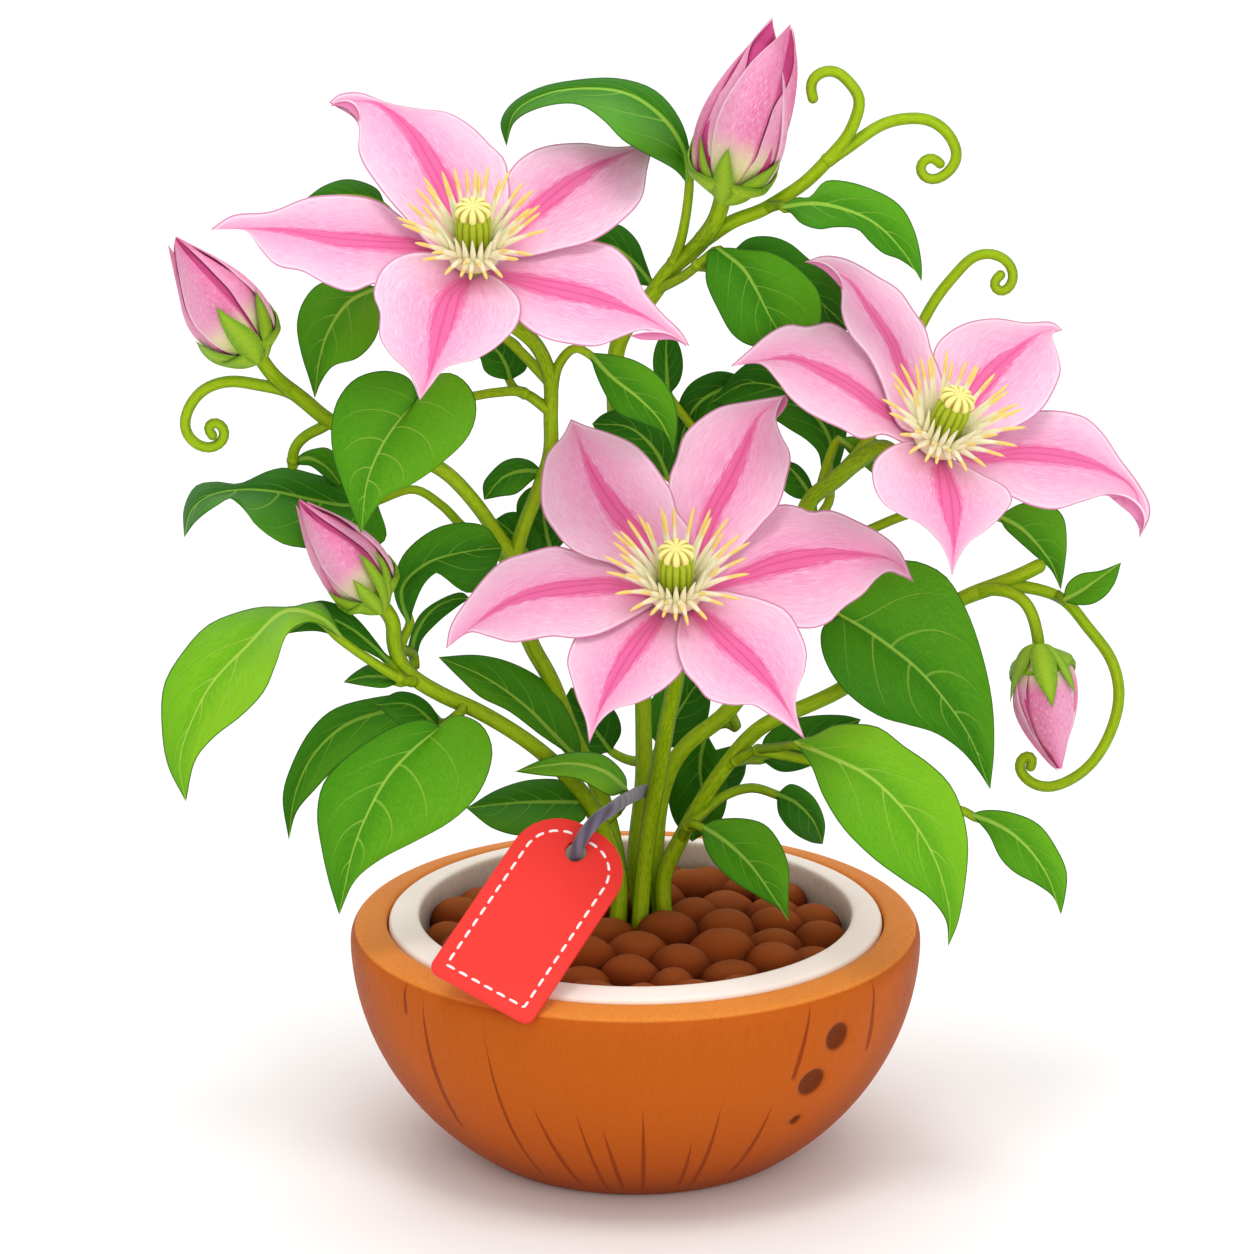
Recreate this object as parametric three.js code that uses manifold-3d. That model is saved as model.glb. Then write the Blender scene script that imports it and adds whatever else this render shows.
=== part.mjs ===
// A potted clematis: three open flowers, four buds, leaves and curling tendrils, growing in clay
// pebbles in half a coconut shell, with a tag tied to its stems. Millimetres, +Z up, the front
// towards -Y, and the origin in the middle of the flat foot that the shell stands on.
import * as THREE from "three";
import { mergeVertices } from "three/addons/utils/BufferGeometryUtils.js";
import Module from "manifold-3d";

const wasm = await Module();
wasm.setup();

// Driving dimensions of the bowl
const BOWL_RADIUS = 70.7; // outside, where the shell is widest
const BOWL_DEPTH = 65.5; // from the widest place down to where the bottom would be without a foot
const WIDEST_HEIGHT = 55; // above the foot, which cuts the bottom off flat
const RIM_HEIGHT = 57.5; // outer edge of the shell's rim
const RIM_RADIUS = 69.6;
const RIM_SLOPE = 0.2; // the cut edges of shell and flesh rise inwards by this much
const SHELL_INNER_RADIUS = 61.5;
const SHELL_INNER_DEPTH = 48.5; // from the widest height down to the inside of the bottom
const FLESH_WALL = 7.8;
const GAP = 0.3; // between pieces that touch

// The bed of pebbles
const BED_EDGE_HEIGHT = 53; // mean height of the pebbles at the wall
const BED_MOUND = 3; // how much higher the middle of the bed is
const PEBBLE_RADIUS = 6.4;
const PEBBLE_COUNT = 58;
const CROWN_X = 1; // the middle of the bare patch that the canes come out of
const CROWN_Y = 11;
const CROWN_RADIUS = 10.5;
const CROWN_HEIGHT = 56.5;

// The plant's stems and blades
const CANE_RADIUS = 2.1;
const SHOOT_RADIUS = 1.7;
const STALK_RADIUS = 1.3;
const TENDRIL_RADIUS = 1.5;
const LEAF_THICKNESS = 0.8;
const PETAL_THICKNESS = 0.7;

// An open flower, along its own axis from the middle of its receptacle
const RECEPTACLE_RADIUS = 3.7;
const RECEPTACLE_TOP = 1.7;
const PETAL_START = 4.1; // a petal starts this far from the axis
const PISTIL_RADIUS = 4.2;
const PISTIL_HEIGHT = 15.5;
const STAMEN_LENGTH = 20;
const STAMEN_RADIUS = 0.6;
const STAMEN_COUNT = 12;

// The tag and its tie
const TAG_WIDTH = 28.5;
const TAG_LENGTH = 52;
const TAG_THICKNESS = 1.6;
const TAG_HOLE_RADIUS = 2.6;
const TIE_RADIUS = 1.6;

// Places on the plant are given as a person standing in front of the pot sees them: millimetres
// right of the pot's axis, millimetres above the middle of its rim, and the depth behind the axis.
const EYE_TILT = THREE.MathUtils.degToRad(17);
const EYE_DISTANCE = 1500;
const EYE_AIM = new THREE.Vector3(-2.1, 21.3, 127.2);
const AIM_ABOVE_RIM = 72.9;

const LOOK = new THREE.Vector3(0, Math.cos(EYE_TILT), -Math.sin(EYE_TILT));
const EYE = EYE_AIM.clone().addScaledVector(LOOK, -EYE_DISTANCE);

function seen(right, up, depth) {
  const aboveAim = up - AIM_ABOVE_RIM;
  const ray = new THREE.Vector3(
    right,
    EYE_AIM.y + aboveAim * Math.sin(EYE_TILT),
    EYE_AIM.z + aboveAim * Math.cos(EYE_TILT),
  ).sub(EYE);
  return EYE.clone().addScaledVector(ray, (depth - EYE.y) / ray.y);
}

// A closed solid from a geometry whose faces point outwards.
function solid(geometry) {
  const bare = geometry.clone();
  bare.deleteAttribute("normal");
  bare.deleteAttribute("uv");
  const merged = mergeVertices(bare, 1e-3);
  const mesh = new wasm.Mesh({
    numProp: 3,
    vertProperties: merged.attributes.position.array,
    triVerts: new Uint32Array(merged.index.array),
  });
  return new wasm.Manifold(mesh);
}

function joined(solids) {
  return solids.reduce((all, next) => all.add(next));
}

// The one body of a cut solid, without any crumbs that the cut left.
function largestBody(body) {
  return body.decompose().reduce((best, next) => (next.volume() > best.volume() ? next : best));
}

const plant = new THREE.Group();

function addNode(name, body, colour, roughness) {
  const { vertProperties, triVerts } = body.getMesh();
  const geometry = new THREE.BufferGeometry();
  geometry.setAttribute("position", new THREE.BufferAttribute(vertProperties, 3));
  geometry.setIndex(new THREE.BufferAttribute(triVerts, 1));
  geometry.computeVertexNormals();
  const material = new THREE.MeshStandardMaterial({ color: colour, roughness, metalness: 0 });
  const mesh = new THREE.Mesh(geometry, material);
  mesh.name = name;
  plant.add(mesh);
}

// A solid turned about +Z. Its profile runs from the axis at the bottom round the outside and back
// to the axis, and may change with the angle.
function turned(profileLength, segments, place) {
  const blank = Array.from({ length: profileLength }, (_, j) => new THREE.Vector2(1, j));
  const geometry = new THREE.LatheGeometry(blank, segments);
  const corners = geometry.attributes.position;
  for (let i = 0; i < corners.count; i++) {
    const turn = Math.floor(i / profileLength) % segments;
    const angle = (2 * Math.PI * turn) / segments;
    const [radius, height] = place(i % profileLength, angle);
    corners.setXYZ(i, -radius * Math.sin(angle), radius * Math.cos(angle), height);
  }
  return geometry;
}

function turnedProfile(profile, segments) {
  return turned(profile.length, segments, (j) => profile[j]);
}

// Part of an upright ellipse's lower half, centred at the shell's widest height.
function bowlArc(halfWidth, depth, fromRadius, steps) {
  const start = Math.asin(fromRadius / halfWidth);
  return Array.from({ length: steps + 1 }, (_, k) => {
    const angle = start + ((Math.PI / 2 - start) * k) / steps;
    return [halfWidth * Math.sin(angle), WIDEST_HEIGHT - depth * Math.cos(angle)];
  });
}

// Coconut shell and flesh
const BOWL_SEGMENTS = 32;
const ARC_STEPS = 5;
const footRadius = BOWL_RADIUS * Math.sqrt(1 - (WIDEST_HEIGHT / BOWL_DEPTH) ** 2);
const rimInnerHeight = RIM_HEIGHT + (RIM_RADIUS - SHELL_INNER_RADIUS) * RIM_SLOPE;
const shellProfile = [
  [0, 0],
  ...bowlArc(BOWL_RADIUS, BOWL_DEPTH, footRadius, ARC_STEPS),
  [RIM_RADIUS, RIM_HEIGHT],
  [SHELL_INNER_RADIUS, rimInnerHeight],
  ...bowlArc(SHELL_INNER_RADIUS, SHELL_INNER_DEPTH, 0, ARC_STEPS).reverse(),
];
addNode("coconut_shell", solid(turnedProfile(shellProfile, BOWL_SEGMENTS)), 0xc9621e, 0.5);

const fleshRadius = SHELL_INNER_RADIUS - GAP;
const fleshDepth = SHELL_INNER_DEPTH - GAP;
const fleshInnerRadius = fleshRadius - FLESH_WALL;
const fleshInnerDepth = fleshDepth - FLESH_WALL;
const fleshProfile = [
  ...bowlArc(fleshRadius, fleshDepth, 0, ARC_STEPS),
  [fleshRadius, rimInnerHeight],
  [fleshInnerRadius, rimInnerHeight + FLESH_WALL * RIM_SLOPE],
  ...bowlArc(fleshInnerRadius, fleshInnerDepth, 0, ARC_STEPS).reverse(),
];
addNode("coconut_flesh", solid(turnedProfile(fleshProfile, BOWL_SEGMENTS)), 0xf9eadb, 0.6);

// Bed of clay pebbles: one lumpy solid, its top the highest of the pebbles at each place. The
// pebbles lie in a spiral that fills the bowl evenly, and leave a flat patch round the canes.
const bedRadius = fleshInnerRadius - GAP;
const bedDepth = fleshInnerDepth - GAP;
const GOLDEN_TURN = Math.PI * (3 - Math.sqrt(5));

function moundHeight(radius) {
  return BED_EDGE_HEIGHT + BED_MOUND * (1 - (radius / bedRadius) ** 2);
}

const pebbles = Array.from({ length: PEBBLE_COUNT }, (_, k) => {
  const radius = (bedRadius - PEBBLE_RADIUS * 0.7) * Math.sqrt((k + 0.5) / PEBBLE_COUNT);
  return { x: radius * Math.cos(k * GOLDEN_TURN), y: radius * Math.sin(k * GOLDEN_TURN), radius };
});

function bedTop(x, y) {
  const fromCrown = Math.hypot(x - CROWN_X, y - CROWN_Y);
  if (fromCrown < CROWN_RADIUS) return CROWN_HEIGHT;
  let height = moundHeight(Math.hypot(x, y)) - 2; // deep between the pebbles
  for (const pebble of pebbles) {
    const off = Math.hypot(x - pebble.x, y - pebble.y);
    if (off > PEBBLE_RADIUS) continue;
    const ball = Math.sqrt(PEBBLE_RADIUS ** 2 - off ** 2) - PEBBLE_RADIUS * 0.7;
    height = Math.max(height, moundHeight(pebble.radius) + ball);
  }
  return Math.min(height, CROWN_HEIGHT + 1.5);
}

const BED_RINGS = 11;
const BED_WALL_HEIGHT = 49.5; // below this the bed follows the flesh, above it are the pebbles
const bedBottom = bowlArc(bedRadius, bedDepth, 0, ARC_STEPS);
const [lastRadius, lastHeight] = bedBottom.pop();
const [wallRadius, wallHeight] = bedBottom.at(-1);
const wallShare = (BED_WALL_HEIGHT - wallHeight) / (lastHeight - wallHeight);
const bedTopRadius = wallRadius + (lastRadius - wallRadius) * wallShare;
bedBottom.push([bedTopRadius, BED_WALL_HEIGHT]);
const bed = turned(bedBottom.length + BED_RINGS + 1, BOWL_SEGMENTS, (j, angle) => {
  if (j < bedBottom.length) return bedBottom[j];
  const radius = bedTopRadius * (1 - (j - bedBottom.length) / BED_RINGS);
  return [radius, bedTop(-radius * Math.sin(angle), radius * Math.cos(angle))];
});
addNode("pebble_bed", solid(bed), 0x7b3818, 0.85);

// Stems. A bough is a tube along a smooth line through hand-placed points.
const TENDRIL_STEP = 4.5;
const ROOT_BELOW = 4; // stems are drawn on below the bed, then cut off level just above it

function root(x, y) {
  return new THREE.Vector3(x, y, CROWN_HEIGHT - ROOT_BELOW);
}

function bough(route, radius, step = 11) {
  const curve = new THREE.CatmullRomCurve3(route, false, "centripetal");
  return { curve, radius, step };
}

function tubeGeometry({ curve, radius, step }, extra, sides) {
  const section = new THREE.Shape();
  for (let k = 0; k < sides; k++) {
    const angle = (2 * Math.PI * k) / sides;
    section.lineTo((radius + extra) * Math.cos(angle), (radius + extra) * Math.sin(angle));
  }
  const steps = Math.max(2, Math.round(curve.getLength() / step));
  return new THREE.ExtrudeGeometry(section, { steps, bevelEnabled: false, extrudePath: curve });
}

function tube(line, extra = 0, sides = 6) {
  return solid(tubeGeometry(line, extra, sides));
}

// The place on a bough's middle line that is nearest to a point.
function nearest(onBough, point) {
  const places = onBough.curve.getPoints(240);
  return places.reduce((best, p) => (p.distanceTo(point) < best.distanceTo(point) ? p : best));
}

function sideBough(parent, route, radius, step) {
  return bough([nearest(parent, route[0]), ...route], radius, step);
}

// Flowers: where each one's middle is and which way it faces
const flowers = {
  left_flower: { centre: seen(-40, 163, -22), axis: new THREE.Vector3(0, -0.5, 0.866) },
  front_flower: { centre: seen(10, 79, -36), axis: new THREE.Vector3(0, -0.5, 0.866) },
  right_flower: { centre: seen(74, 117, -18), axis: new THREE.Vector3(0.3, -0.45, 0.84) },
};
for (const flower of Object.values(flowers)) flower.axis.normalize();

// Buds: the foot and the tip of each, and its greatest width
const buds = {
  top_bud: { base: seen(21.5, 178.5, 4.5), tip: seen(34, 224, -2), width: 22.5 },
  left_bud: { base: seen(-92.5, 139, -8.5), tip: seen(-114, 170, -14), width: 18.5 },
  low_bud: { base: seen(-62.3, 77.5, -14.3), tip: seen(-83, 105, -15), width: 17.5 },
  hanging_bud: { base: seen(100, 69, -2.2), tip: seen(105, 37, -6), width: 16.5 },
};

// A route's last points, straight up to the underside of a flower or a bud
function intoFlower({ centre, axis }) {
  return [centre.clone().addScaledVector(axis, -11), centre.clone().addScaledVector(axis, -3)];
}

function intoBud({ base, tip }) {
  return [base.clone().addScaledVector(tip.clone().sub(base).normalize(), -4), base];
}

const boughs = {};
boughs.left = bough(
  [root(-4.5, 8), seen(-4, 11, 8), seen(-10, 27, 4), seen(-17, 36, 0), seen(-26, 44, -4),
    seen(-39, 52, -8), seen(-48, 56, -10), seen(-57, 62, -12), seen(-60, 69, -13),
    ...intoBud(buds.low_bud)],
  CANE_RADIUS,
);
boughs.middle = bough(
  [root(-4, 14), seen(-4, 12, 14), seen(-8, 30, 17), seen(-15, 45, 17), seen(-21, 60, 14),
    seen(-26, 69, 11), seen(-29, 80, 8), seen(-30, 90, 6)],
  CANE_RADIUS,
);
boughs.middleLeft = bough(
  [seen(-30, 90, 6), seen(-35, 97, 5), seen(-40, 104, 4), seen(-48, 112, 3), seen(-62, 118, 2),
    seen(-76, 124, 0), seen(-82, 129, -2), seen(-86, 132, -4),
    ...intoBud(buds.left_bud)],
  SHOOT_RADIUS,
);
boughs.middleRight = bough(
  [seen(-30, 90, 6), seen(-28, 97, 6), seen(-24, 107, 5), seen(-21, 116, 4), seen(-21, 125, 3),
    seen(-21, 134, 1), seen(-24, 142, -4), seen(-28, 146, -9), ...intoFlower(flowers.left_flower)],
  SHOOT_RADIUS,
);
boughs.hook = sideBough(
  boughs.middleLeft,
  [seen(-76, 123, 0), seen(-81, 121, 2), seen(-85, 117, 4), seen(-85, 113, 5)],
  STALK_RADIUS,
  TENDRIL_STEP,
);
boughs.leftTendril = sideBough(
  boughs.middleLeft,
  [seen(-83, 130, -2), seen(-88, 132, -4), seen(-94, 133, -5), seen(-100, 134, -6), seen(-107, 132, -6),
    seen(-111, 127, -6), seen(-112, 122, -6), seen(-109, 118, -6), seen(-105, 117, -6),
    seen(-102, 119, -6), seen(-101.5, 122, -6), seen(-103.5, 124, -6)],
  TENDRIL_RADIUS,
  TENDRIL_STEP,
);
boughs.front = bough(
  [root(1, 5.5), seen(2, 11, 6), seen(4, 27, 3), seen(6, 38, -1), seen(8, 50, -9), seen(10, 60, -18),
    ...intoFlower(flowers.front_flower)],
  CANE_RADIUS,
);
boughs.top = bough(
  [root(1.5, 16.5), seen(0, 15, 18), seen(2, 35, 21), seen(2, 53, 23), seen(1, 80, 24),
    seen(-3, 109, 24), seen(-5, 129, 22), seen(-4, 144, 20), seen(4, 155, 17), seen(9, 162, 15),
    seen(15, 167, 12), ...intoBud(buds.top_bud)],
  CANE_RADIUS,
);
boughs.topShoot = sideBough(
  boughs.top,
  [seen(17, 169, 10), seen(20, 171, 9), seen(25, 174, 7), seen(31, 176, 6), seen(36, 179, 5),
    seen(42, 183, 5), seen(48, 189, 5), seen(53, 195, 5), seen(55, 200, 5), seen(56, 204, 5),
    seen(53, 208, 5), seen(50, 211, 5), seen(47, 211, 5), seen(44, 209.5, 5), seen(43, 206.5, 5),
    seen(44, 204, 5)],
  TENDRIL_RADIUS,
  TENDRIL_STEP,
);
boughs.topTendril = sideBough(
  boughs.topShoot,
  [seen(48, 189, 5), seen(53, 192, 6), seen(57, 195, 7), seen(62, 198, 8), seen(67, 199, 8),
    seen(72, 199, 8), seen(76, 197, 8), seen(79, 193, 8), seen(80, 189, 8), seen(78, 186, 8),
    seen(74.5, 183.5, 8), seen(71.5, 184, 8), seen(70, 187, 8), seen(71.5, 189, 8)],
  TENDRIL_RADIUS,
  TENDRIL_STEP,
);
boughs.third = bough(
  [root(6.5, 14), seen(5, 15, 15), seen(7, 33, 15), seen(12, 43, 14), seen(23, 52, 15),
    seen(32, 67, 16), seen(38, 85, 16), seen(43, 104, 12), seen(49, 109, 7), seen(55, 114, 1),
    seen(62, 117.5, -6), ...intoFlower(flowers.right_flower)],
  CANE_RADIUS,
);
boughs.rightTendril = sideBough(
  boughs.third,
  [seen(50, 110, 6), seen(56, 117, 14), seen(62, 127, 20), seen(67, 139, 22), seen(71, 148, 22),
    seen(75, 155, 22), seen(80, 161, 22), seen(84, 165, 22), seen(89, 165.5, 22), seen(93, 163, 22),
    seen(94, 159, 22), seen(91.5, 156, 22), seen(89, 157.5, 22)],
  TENDRIL_RADIUS,
  TENDRIL_STEP,
);
boughs.right = bough(
  [root(7.5, 8.5), seen(7, 11, 8.5), seen(11, 20, 7), seen(16, 29, 5), seen(22, 38, 2), seen(31, 48, 0),
    seen(44, 54, 0), seen(52, 58, 1), seen(66, 70, 4), seen(81, 80, 6), seen(89, 83, 6),
    seen(96, 86, 6), seen(100, 88, 6)],
  CANE_RADIUS,
);
boughs.rightCurl = sideBough(
  boughs.right,
  [seen(89, 83, 6), seen(96, 83, 6), seen(106, 80, 6), seen(112, 73, 6), seen(118, 65, 6),
    seen(120, 56, 6), seen(117, 45, 6), seen(111, 37, 6), seen(102, 33, 6), seen(97, 35, 6),
    seen(95, 38.5, 6), seen(97, 41, 6)],
  TENDRIL_RADIUS,
  TENDRIL_STEP,
);
boughs.budStalk = sideBough(
  boughs.right,
  [seen(85, 82, 6), seen(92, 82, 2), seen(97, 79, -1), ...intoBud(buds.hanging_bud)],
  TENDRIL_RADIUS,
  TENDRIL_STEP,
);

// A receptacle: the thickened end of a flower's stem
function receptacle({ centre, axis }) {
  const height = RECEPTACLE_TOP + 5;
  const knob = new THREE.CylinderGeometry(RECEPTACLE_RADIUS, CANE_RADIUS + 0.4, height, 8);
  knob.translate(0, height / 2 - 5, 0);
  const turn = new THREE.Quaternion().setFromUnitVectors(new THREE.Vector3(0, 1, 0), axis);
  knob.applyQuaternion(turn);
  knob.translate(centre.x, centre.y, centre.z);
  return solid(knob);
}

const underground = new THREE.BoxGeometry(60, 60, 20);
underground.translate(CROWN_X, CROWN_Y, CROWN_HEIGHT + GAP - 10);
const groundLevel = solid(underground);

const canes = {
  cane_left: ["left"],
  cane_middle: ["middle", "middleLeft", "middleRight", "hook", "leftTendril"],
  cane_front: ["front"],
  cane_top: ["top", "topShoot", "topTendril"],
  cane_third: ["third", "rightTendril"],
  cane_right: ["right", "rightCurl", "budStalk"],
};
const receptacles = {
  cane_middle: flowers.left_flower,
  cane_front: flowers.front_flower,
  cane_third: flowers.right_flower,
};
for (const [name, parts] of Object.entries(canes)) {
  const tubes = parts.map((part) => tube(boughs[part], 0, boughs[part].step < 11 ? 5 : 6));
  if (receptacles[name]) tubes.push(receptacle(receptacles[name]));
  addNode(name, largestBody(joined(tubes).subtract(groundLevel)), 0x7c9a12, 0.55);
}

// A thin closed sheet over a surface that is given by a place along it, 0 to 1, and across it, -1 to 1
function sheet(rows, columns, thickness, surface) {
  const places = [];
  const faces = [];
  const step = 0.02;
  for (const layer of [1, -1]) {
    for (let i = 0; i <= rows; i++) {
      for (let j = 0; j <= columns; j++) {
        const s = i / rows;
        const t = (2 * j) / columns - 1;
        const along = surface(Math.min(s + step, 1), t).sub(surface(Math.max(s - step, 0), t));
        const across = surface(s, t + step).sub(surface(s, t - step));
        const normal = across.cross(along).normalize();
        places.push(...surface(s, t).addScaledVector(normal, (layer * thickness) / 2));
      }
    }
  }
  const width = columns + 1;
  const lower = (rows + 1) * width;
  const quad = (a, b, c, d) => faces.push(a, b, c, a, c, d);
  for (let i = 0; i < rows; i++) {
    for (let j = 0; j < columns; j++) {
      const corner = i * width + j;
      quad(corner, corner + 1, corner + width + 1, corner + width);
      quad(lower + corner, lower + corner + width, lower + corner + width + 1, lower + corner + 1);
    }
    quad(i * width, (i + 1) * width, lower + (i + 1) * width, lower + i * width);
    const end = i * width + columns;
    quad(end, lower + end, lower + end + width, end + width);
  }
  for (let j = 0; j < columns; j++) {
    quad(j, lower + j, lower + j + 1, j + 1);
    const end = rows * width + j;
    quad(end, end + 1, lower + end + 1, lower + end);
  }
  const geometry = new THREE.BufferGeometry();
  geometry.setAttribute("position", new THREE.BufferAttribute(new Float32Array(places), 3));
  geometry.setIndex(faces);
  return solid(geometry);
}

// Outlines: the share of the full width at a place along a blade
function leafOutline(s) {
  return Math.sin(Math.PI * s ** 0.68) ** 0.8 + 0.04;
}

function heartOutline(s) {
  return Math.sin(Math.PI * (0.12 + 0.88 * s) ** 0.74) ** 0.75 + 0.04;
}

function petalOutline(s) {
  return Math.sin(Math.PI * (0.05 + 0.95 * s) ** 0.95) ** 0.85 + 0.03;
}

// A blade along a bent midrib. Its upper side turns from one direction at the base to another at
// the tip, and its halves are folded up from the midrib.
function bladeSurface({ base, middle, tip, width, from, to = from, fold = 12, outline = leafOutline }) {
  const knee = middle.clone().multiplyScalar(2).addScaledVector(base, -0.5).addScaledVector(tip, -0.5);
  const midrib = new THREE.QuadraticBezierCurve3(base, knee, tip);
  const start = new THREE.Vector3(...from);
  const end = new THREE.Vector3(...to);
  const lift = Math.tan(THREE.MathUtils.degToRad(fold));
  return (s, t) => {
    const along = midrib.getTangent(Math.min(Math.max(s, 0), 1));
    const face = start.clone().lerp(end, s);
    face.addScaledVector(along, -face.dot(along)).normalize();
    const side = along.clone().cross(face);
    const off = (t * width * outline(Math.min(Math.max(s, 0), 1))) / 2;
    return midrib.getPoint(s).addScaledVector(side, off).addScaledVector(face, Math.abs(off) * lift);
  };
}

// A leaf: stalks with a blade on the end of each, the first stalk growing from a bough
const LEAF_ROWS = 5;
const LEAF_COLUMNS = 2;

function leaf(name, parent, blades) {
  const solids = [];
  let first = null;
  for (const blade of blades) {
    const surface = bladeSurface(blade);
    const grip = surface(0.12, 0);
    const start = nearest(first ?? parent, blade.stalk[0]);
    const stalk = bough([start, ...blade.stalk.slice(1), blade.base, grip], STALK_RADIUS, 8);
    solids.push(tube(stalk, 0, 5), sheet(LEAF_ROWS, LEAF_COLUMNS, LEAF_THICKNESS, surface));
    first = first ?? stalk;
  }
  addNode(name, largestBody(joined(solids).subtract(tube(parent, GAP))), 0x4f9a22, 0.5);
}

const HEART = { outline: heartOutline };

leaf("leaf_top_arch", boughs.top, [
  { stalk: [seen(7, 161, 15), seen(10, 165, 13), seen(12, 172, 11)],
    base: seen(13, 182, 10), middle: seen(-6, 206, 10), tip: seen(-32, 191, 14),
    width: 24, from: [-0.2, -0.2, 0.9], to: [0, -0.3, 1], fold: 20 },
  { stalk: [seen(9, 164, 13), seen(8, 163, 20)],
    base: seen(6, 163, 24), middle: seen(0, 169, 29), tip: seen(-10, 174, 32),
    width: 18, from: [0.2, -0.9, 0.4] },
]);
leaf("leaf_top_right", boughs.topShoot, [
  { stalk: [seen(33, 177, 6), seen(36, 177.5, 1)],
    base: seen(39, 178, -2), middle: seen(56, 177, -7), tip: seen(71, 158, -10),
    width: 19, from: [-0.1, -0.5, 0.85], to: [0.5, -0.7, 0.5] },
]);
leaf("leaf_round_pair", boughs.top, [
  { stalk: [seen(5, 156, 16), seen(12, 160, 9), seen(17, 164, 4)],
    base: seen(20, 166.5, 3), middle: seen(29, 156, 2), tip: seen(38, 141, 6),
    width: 27, from: [-0.3, -0.9, 0.4], to: [0.1, -0.9, 0.4], ...HEART },
  { stalk: [seen(16, 163, 5), seen(22, 162, 10)],
    base: seen(28, 163, 13), middle: seen(42, 162, 17), tip: seen(53, 148, 18),
    width: 22, from: [0, -0.8, 0.6] },
]);
leaf("leaf_left_pair", boughs.middleRight, [
  { stalk: [seen(-21, 134, 1), seen(-34, 146, 6), seen(-50, 156, 9)],
    base: seen(-64, 160, 8), middle: seen(-75, 145, 2), tip: seen(-79, 130, -2),
    width: 23, from: [-0.3, -0.9, 0.3], fold: 8 },
  { stalk: [seen(-52, 157, 9), seen(-56, 168, 13)],
    base: seen(-61, 176, 15), middle: seen(-72, 182, 16), tip: seen(-84, 179, 16),
    width: 16, from: [0, -0.6, 0.8] },
]);
leaf("leaf_heart_left", boughs.middleRight, [
  { stalk: [seen(-21, 126, 3), seen(-28, 131, 0), seen(-35, 131, -6), seen(-41, 130, -11)],
    base: seen(-50, 130, -15), middle: seen(-61, 116, -20), tip: seen(-68, 96, -25),
    width: 37, from: [-0.1, -0.9, 0.35], to: [0.1, -0.95, 0.2], ...HEART, fold: 8 },
  { stalk: [seen(-28, 131, 0), seen(-30, 132, 6)],
    base: seen(-31, 134, 9), middle: seen(-34, 141, 11), tip: seen(-42, 147, 12),
    width: 13, from: [0.3, -0.8, 0.3] },
]);
leaf("leaf_twisted_left", boughs.middle, [
  { stalk: [seen(-30, 86, 7), seen(-36, 93, 12), seen(-43, 98, 11), seen(-48, 103, 9), seen(-55, 107, 7)],
    base: seen(-62, 104, 6), middle: seen(-86, 105, 3), tip: seen(-112, 95, 0),
    width: 24, from: [0, -0.9, 0.4], to: [0, 0.2, 1], fold: 6 },
]);
leaf("leaf_middle", boughs.middleRight, [
  { stalk: [seen(-21, 128, 2), seen(-19, 138, -1), seen(-15, 142, -3)],
    base: seen(-11, 141, -4), middle: seen(0, 133, -6), tip: seen(10, 116, -4),
    width: 19, from: [0.2, -0.9, 0.4] },
]);
leaf("leaf_dark_pair", boughs.third, [
  { stalk: [seen(39, 88, 16), seen(44, 100, 21), seen(46, 108, 23)],
    base: seen(46, 113, 24), middle: seen(41, 124, 26), tip: seen(30, 132, 28),
    width: 18, from: [0.4, -0.8, 0.4] },
  { stalk: [seen(42, 96, 19), seen(30, 104, 26)],
    base: seen(20, 112, 29), middle: seen(24, 124, 31), tip: seen(36, 135, 32),
    width: 22, from: [0, -0.9, 0.4] },
]);
leaf("leaf_left_arch", boughs.left, [
  { stalk: [seen(-59, 65, -12), seen(-58, 69, -9)],
    base: seen(-56, 73, -8), middle: seen(-53, 91, -6), tip: seen(-35, 93, -3),
    width: 17, from: [-0.5, -0.7, 0.5], to: [0, -0.8, 0.6] },
  { stalk: [seen(-58, 68, -10), seen(-55, 66, -4)],
    base: seen(-54, 67, -2), middle: seen(-51, 77, 0), tip: seen(-39, 82, 1),
    width: 13, from: [-0.5, -0.7, 0.5], to: [0, -0.8, 0.6] },
]);
leaf("leaf_left_large", boughs.left, [
  { stalk: [seen(-54, 59, -11), seen(-58, 60, -16)],
    base: seen(-63, 65, -19), middle: seen(-93, 73, -24), tip: seen(-111, 30, -28),
    width: 33, from: [0, 0.3, 0.95], to: [-0.4, -0.9, 0.2], fold: 8 },
  { stalk: [seen(-58, 60, -16), seen(-60, 58, -15)],
    base: seen(-62, 58, -15), middle: seen(-67, 59, -14), tip: seen(-73, 59, -14),
    width: 7, from: [0, -0.5, 0.9] },
]);
leaf("leaf_heart_low", boughs.left, [
  { stalk: [seen(-43, 54, -9), seen(-44, 51, -14)],
    base: seen(-46, 46, -21), middle: seen(-61, 32, -27), tip: seen(-73, 2, -32),
    width: 39, from: [-0.2, -0.95, 0.3], to: [0, -0.95, 0.2], ...HEART, fold: 8 },
  { stalk: [seen(-44, 51, -14), seen(-48, 49, -6)],
    base: seen(-53, 49, 5), middle: seen(-75, 46, 12), tip: seen(-86, 21, 7),
    width: 20, from: [-0.2, -0.7, 0.7], to: [-0.2, -0.9, 0.3] },
]);
leaf("leaf_low_left", boughs.middle, [
  { stalk: [seen(-7, 26, 16), seen(-4, 28, 12)],
    base: seen(-4, 32, -1), middle: seen(-13, 40, -8), tip: seen(-30, 38, -13),
    width: 15, from: [0.2, -0.5, 0.85], to: [-0.1, -0.4, 0.9] },
  { stalk: [seen(-5, 28, 14), seen(-9, 24, 11)],
    base: seen(-15, 25, 10), middle: seen(-28, 31, 5), tip: seen(-42, 28, -3),
    width: 20, from: [0, -0.6, 0.8] },
]);
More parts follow.
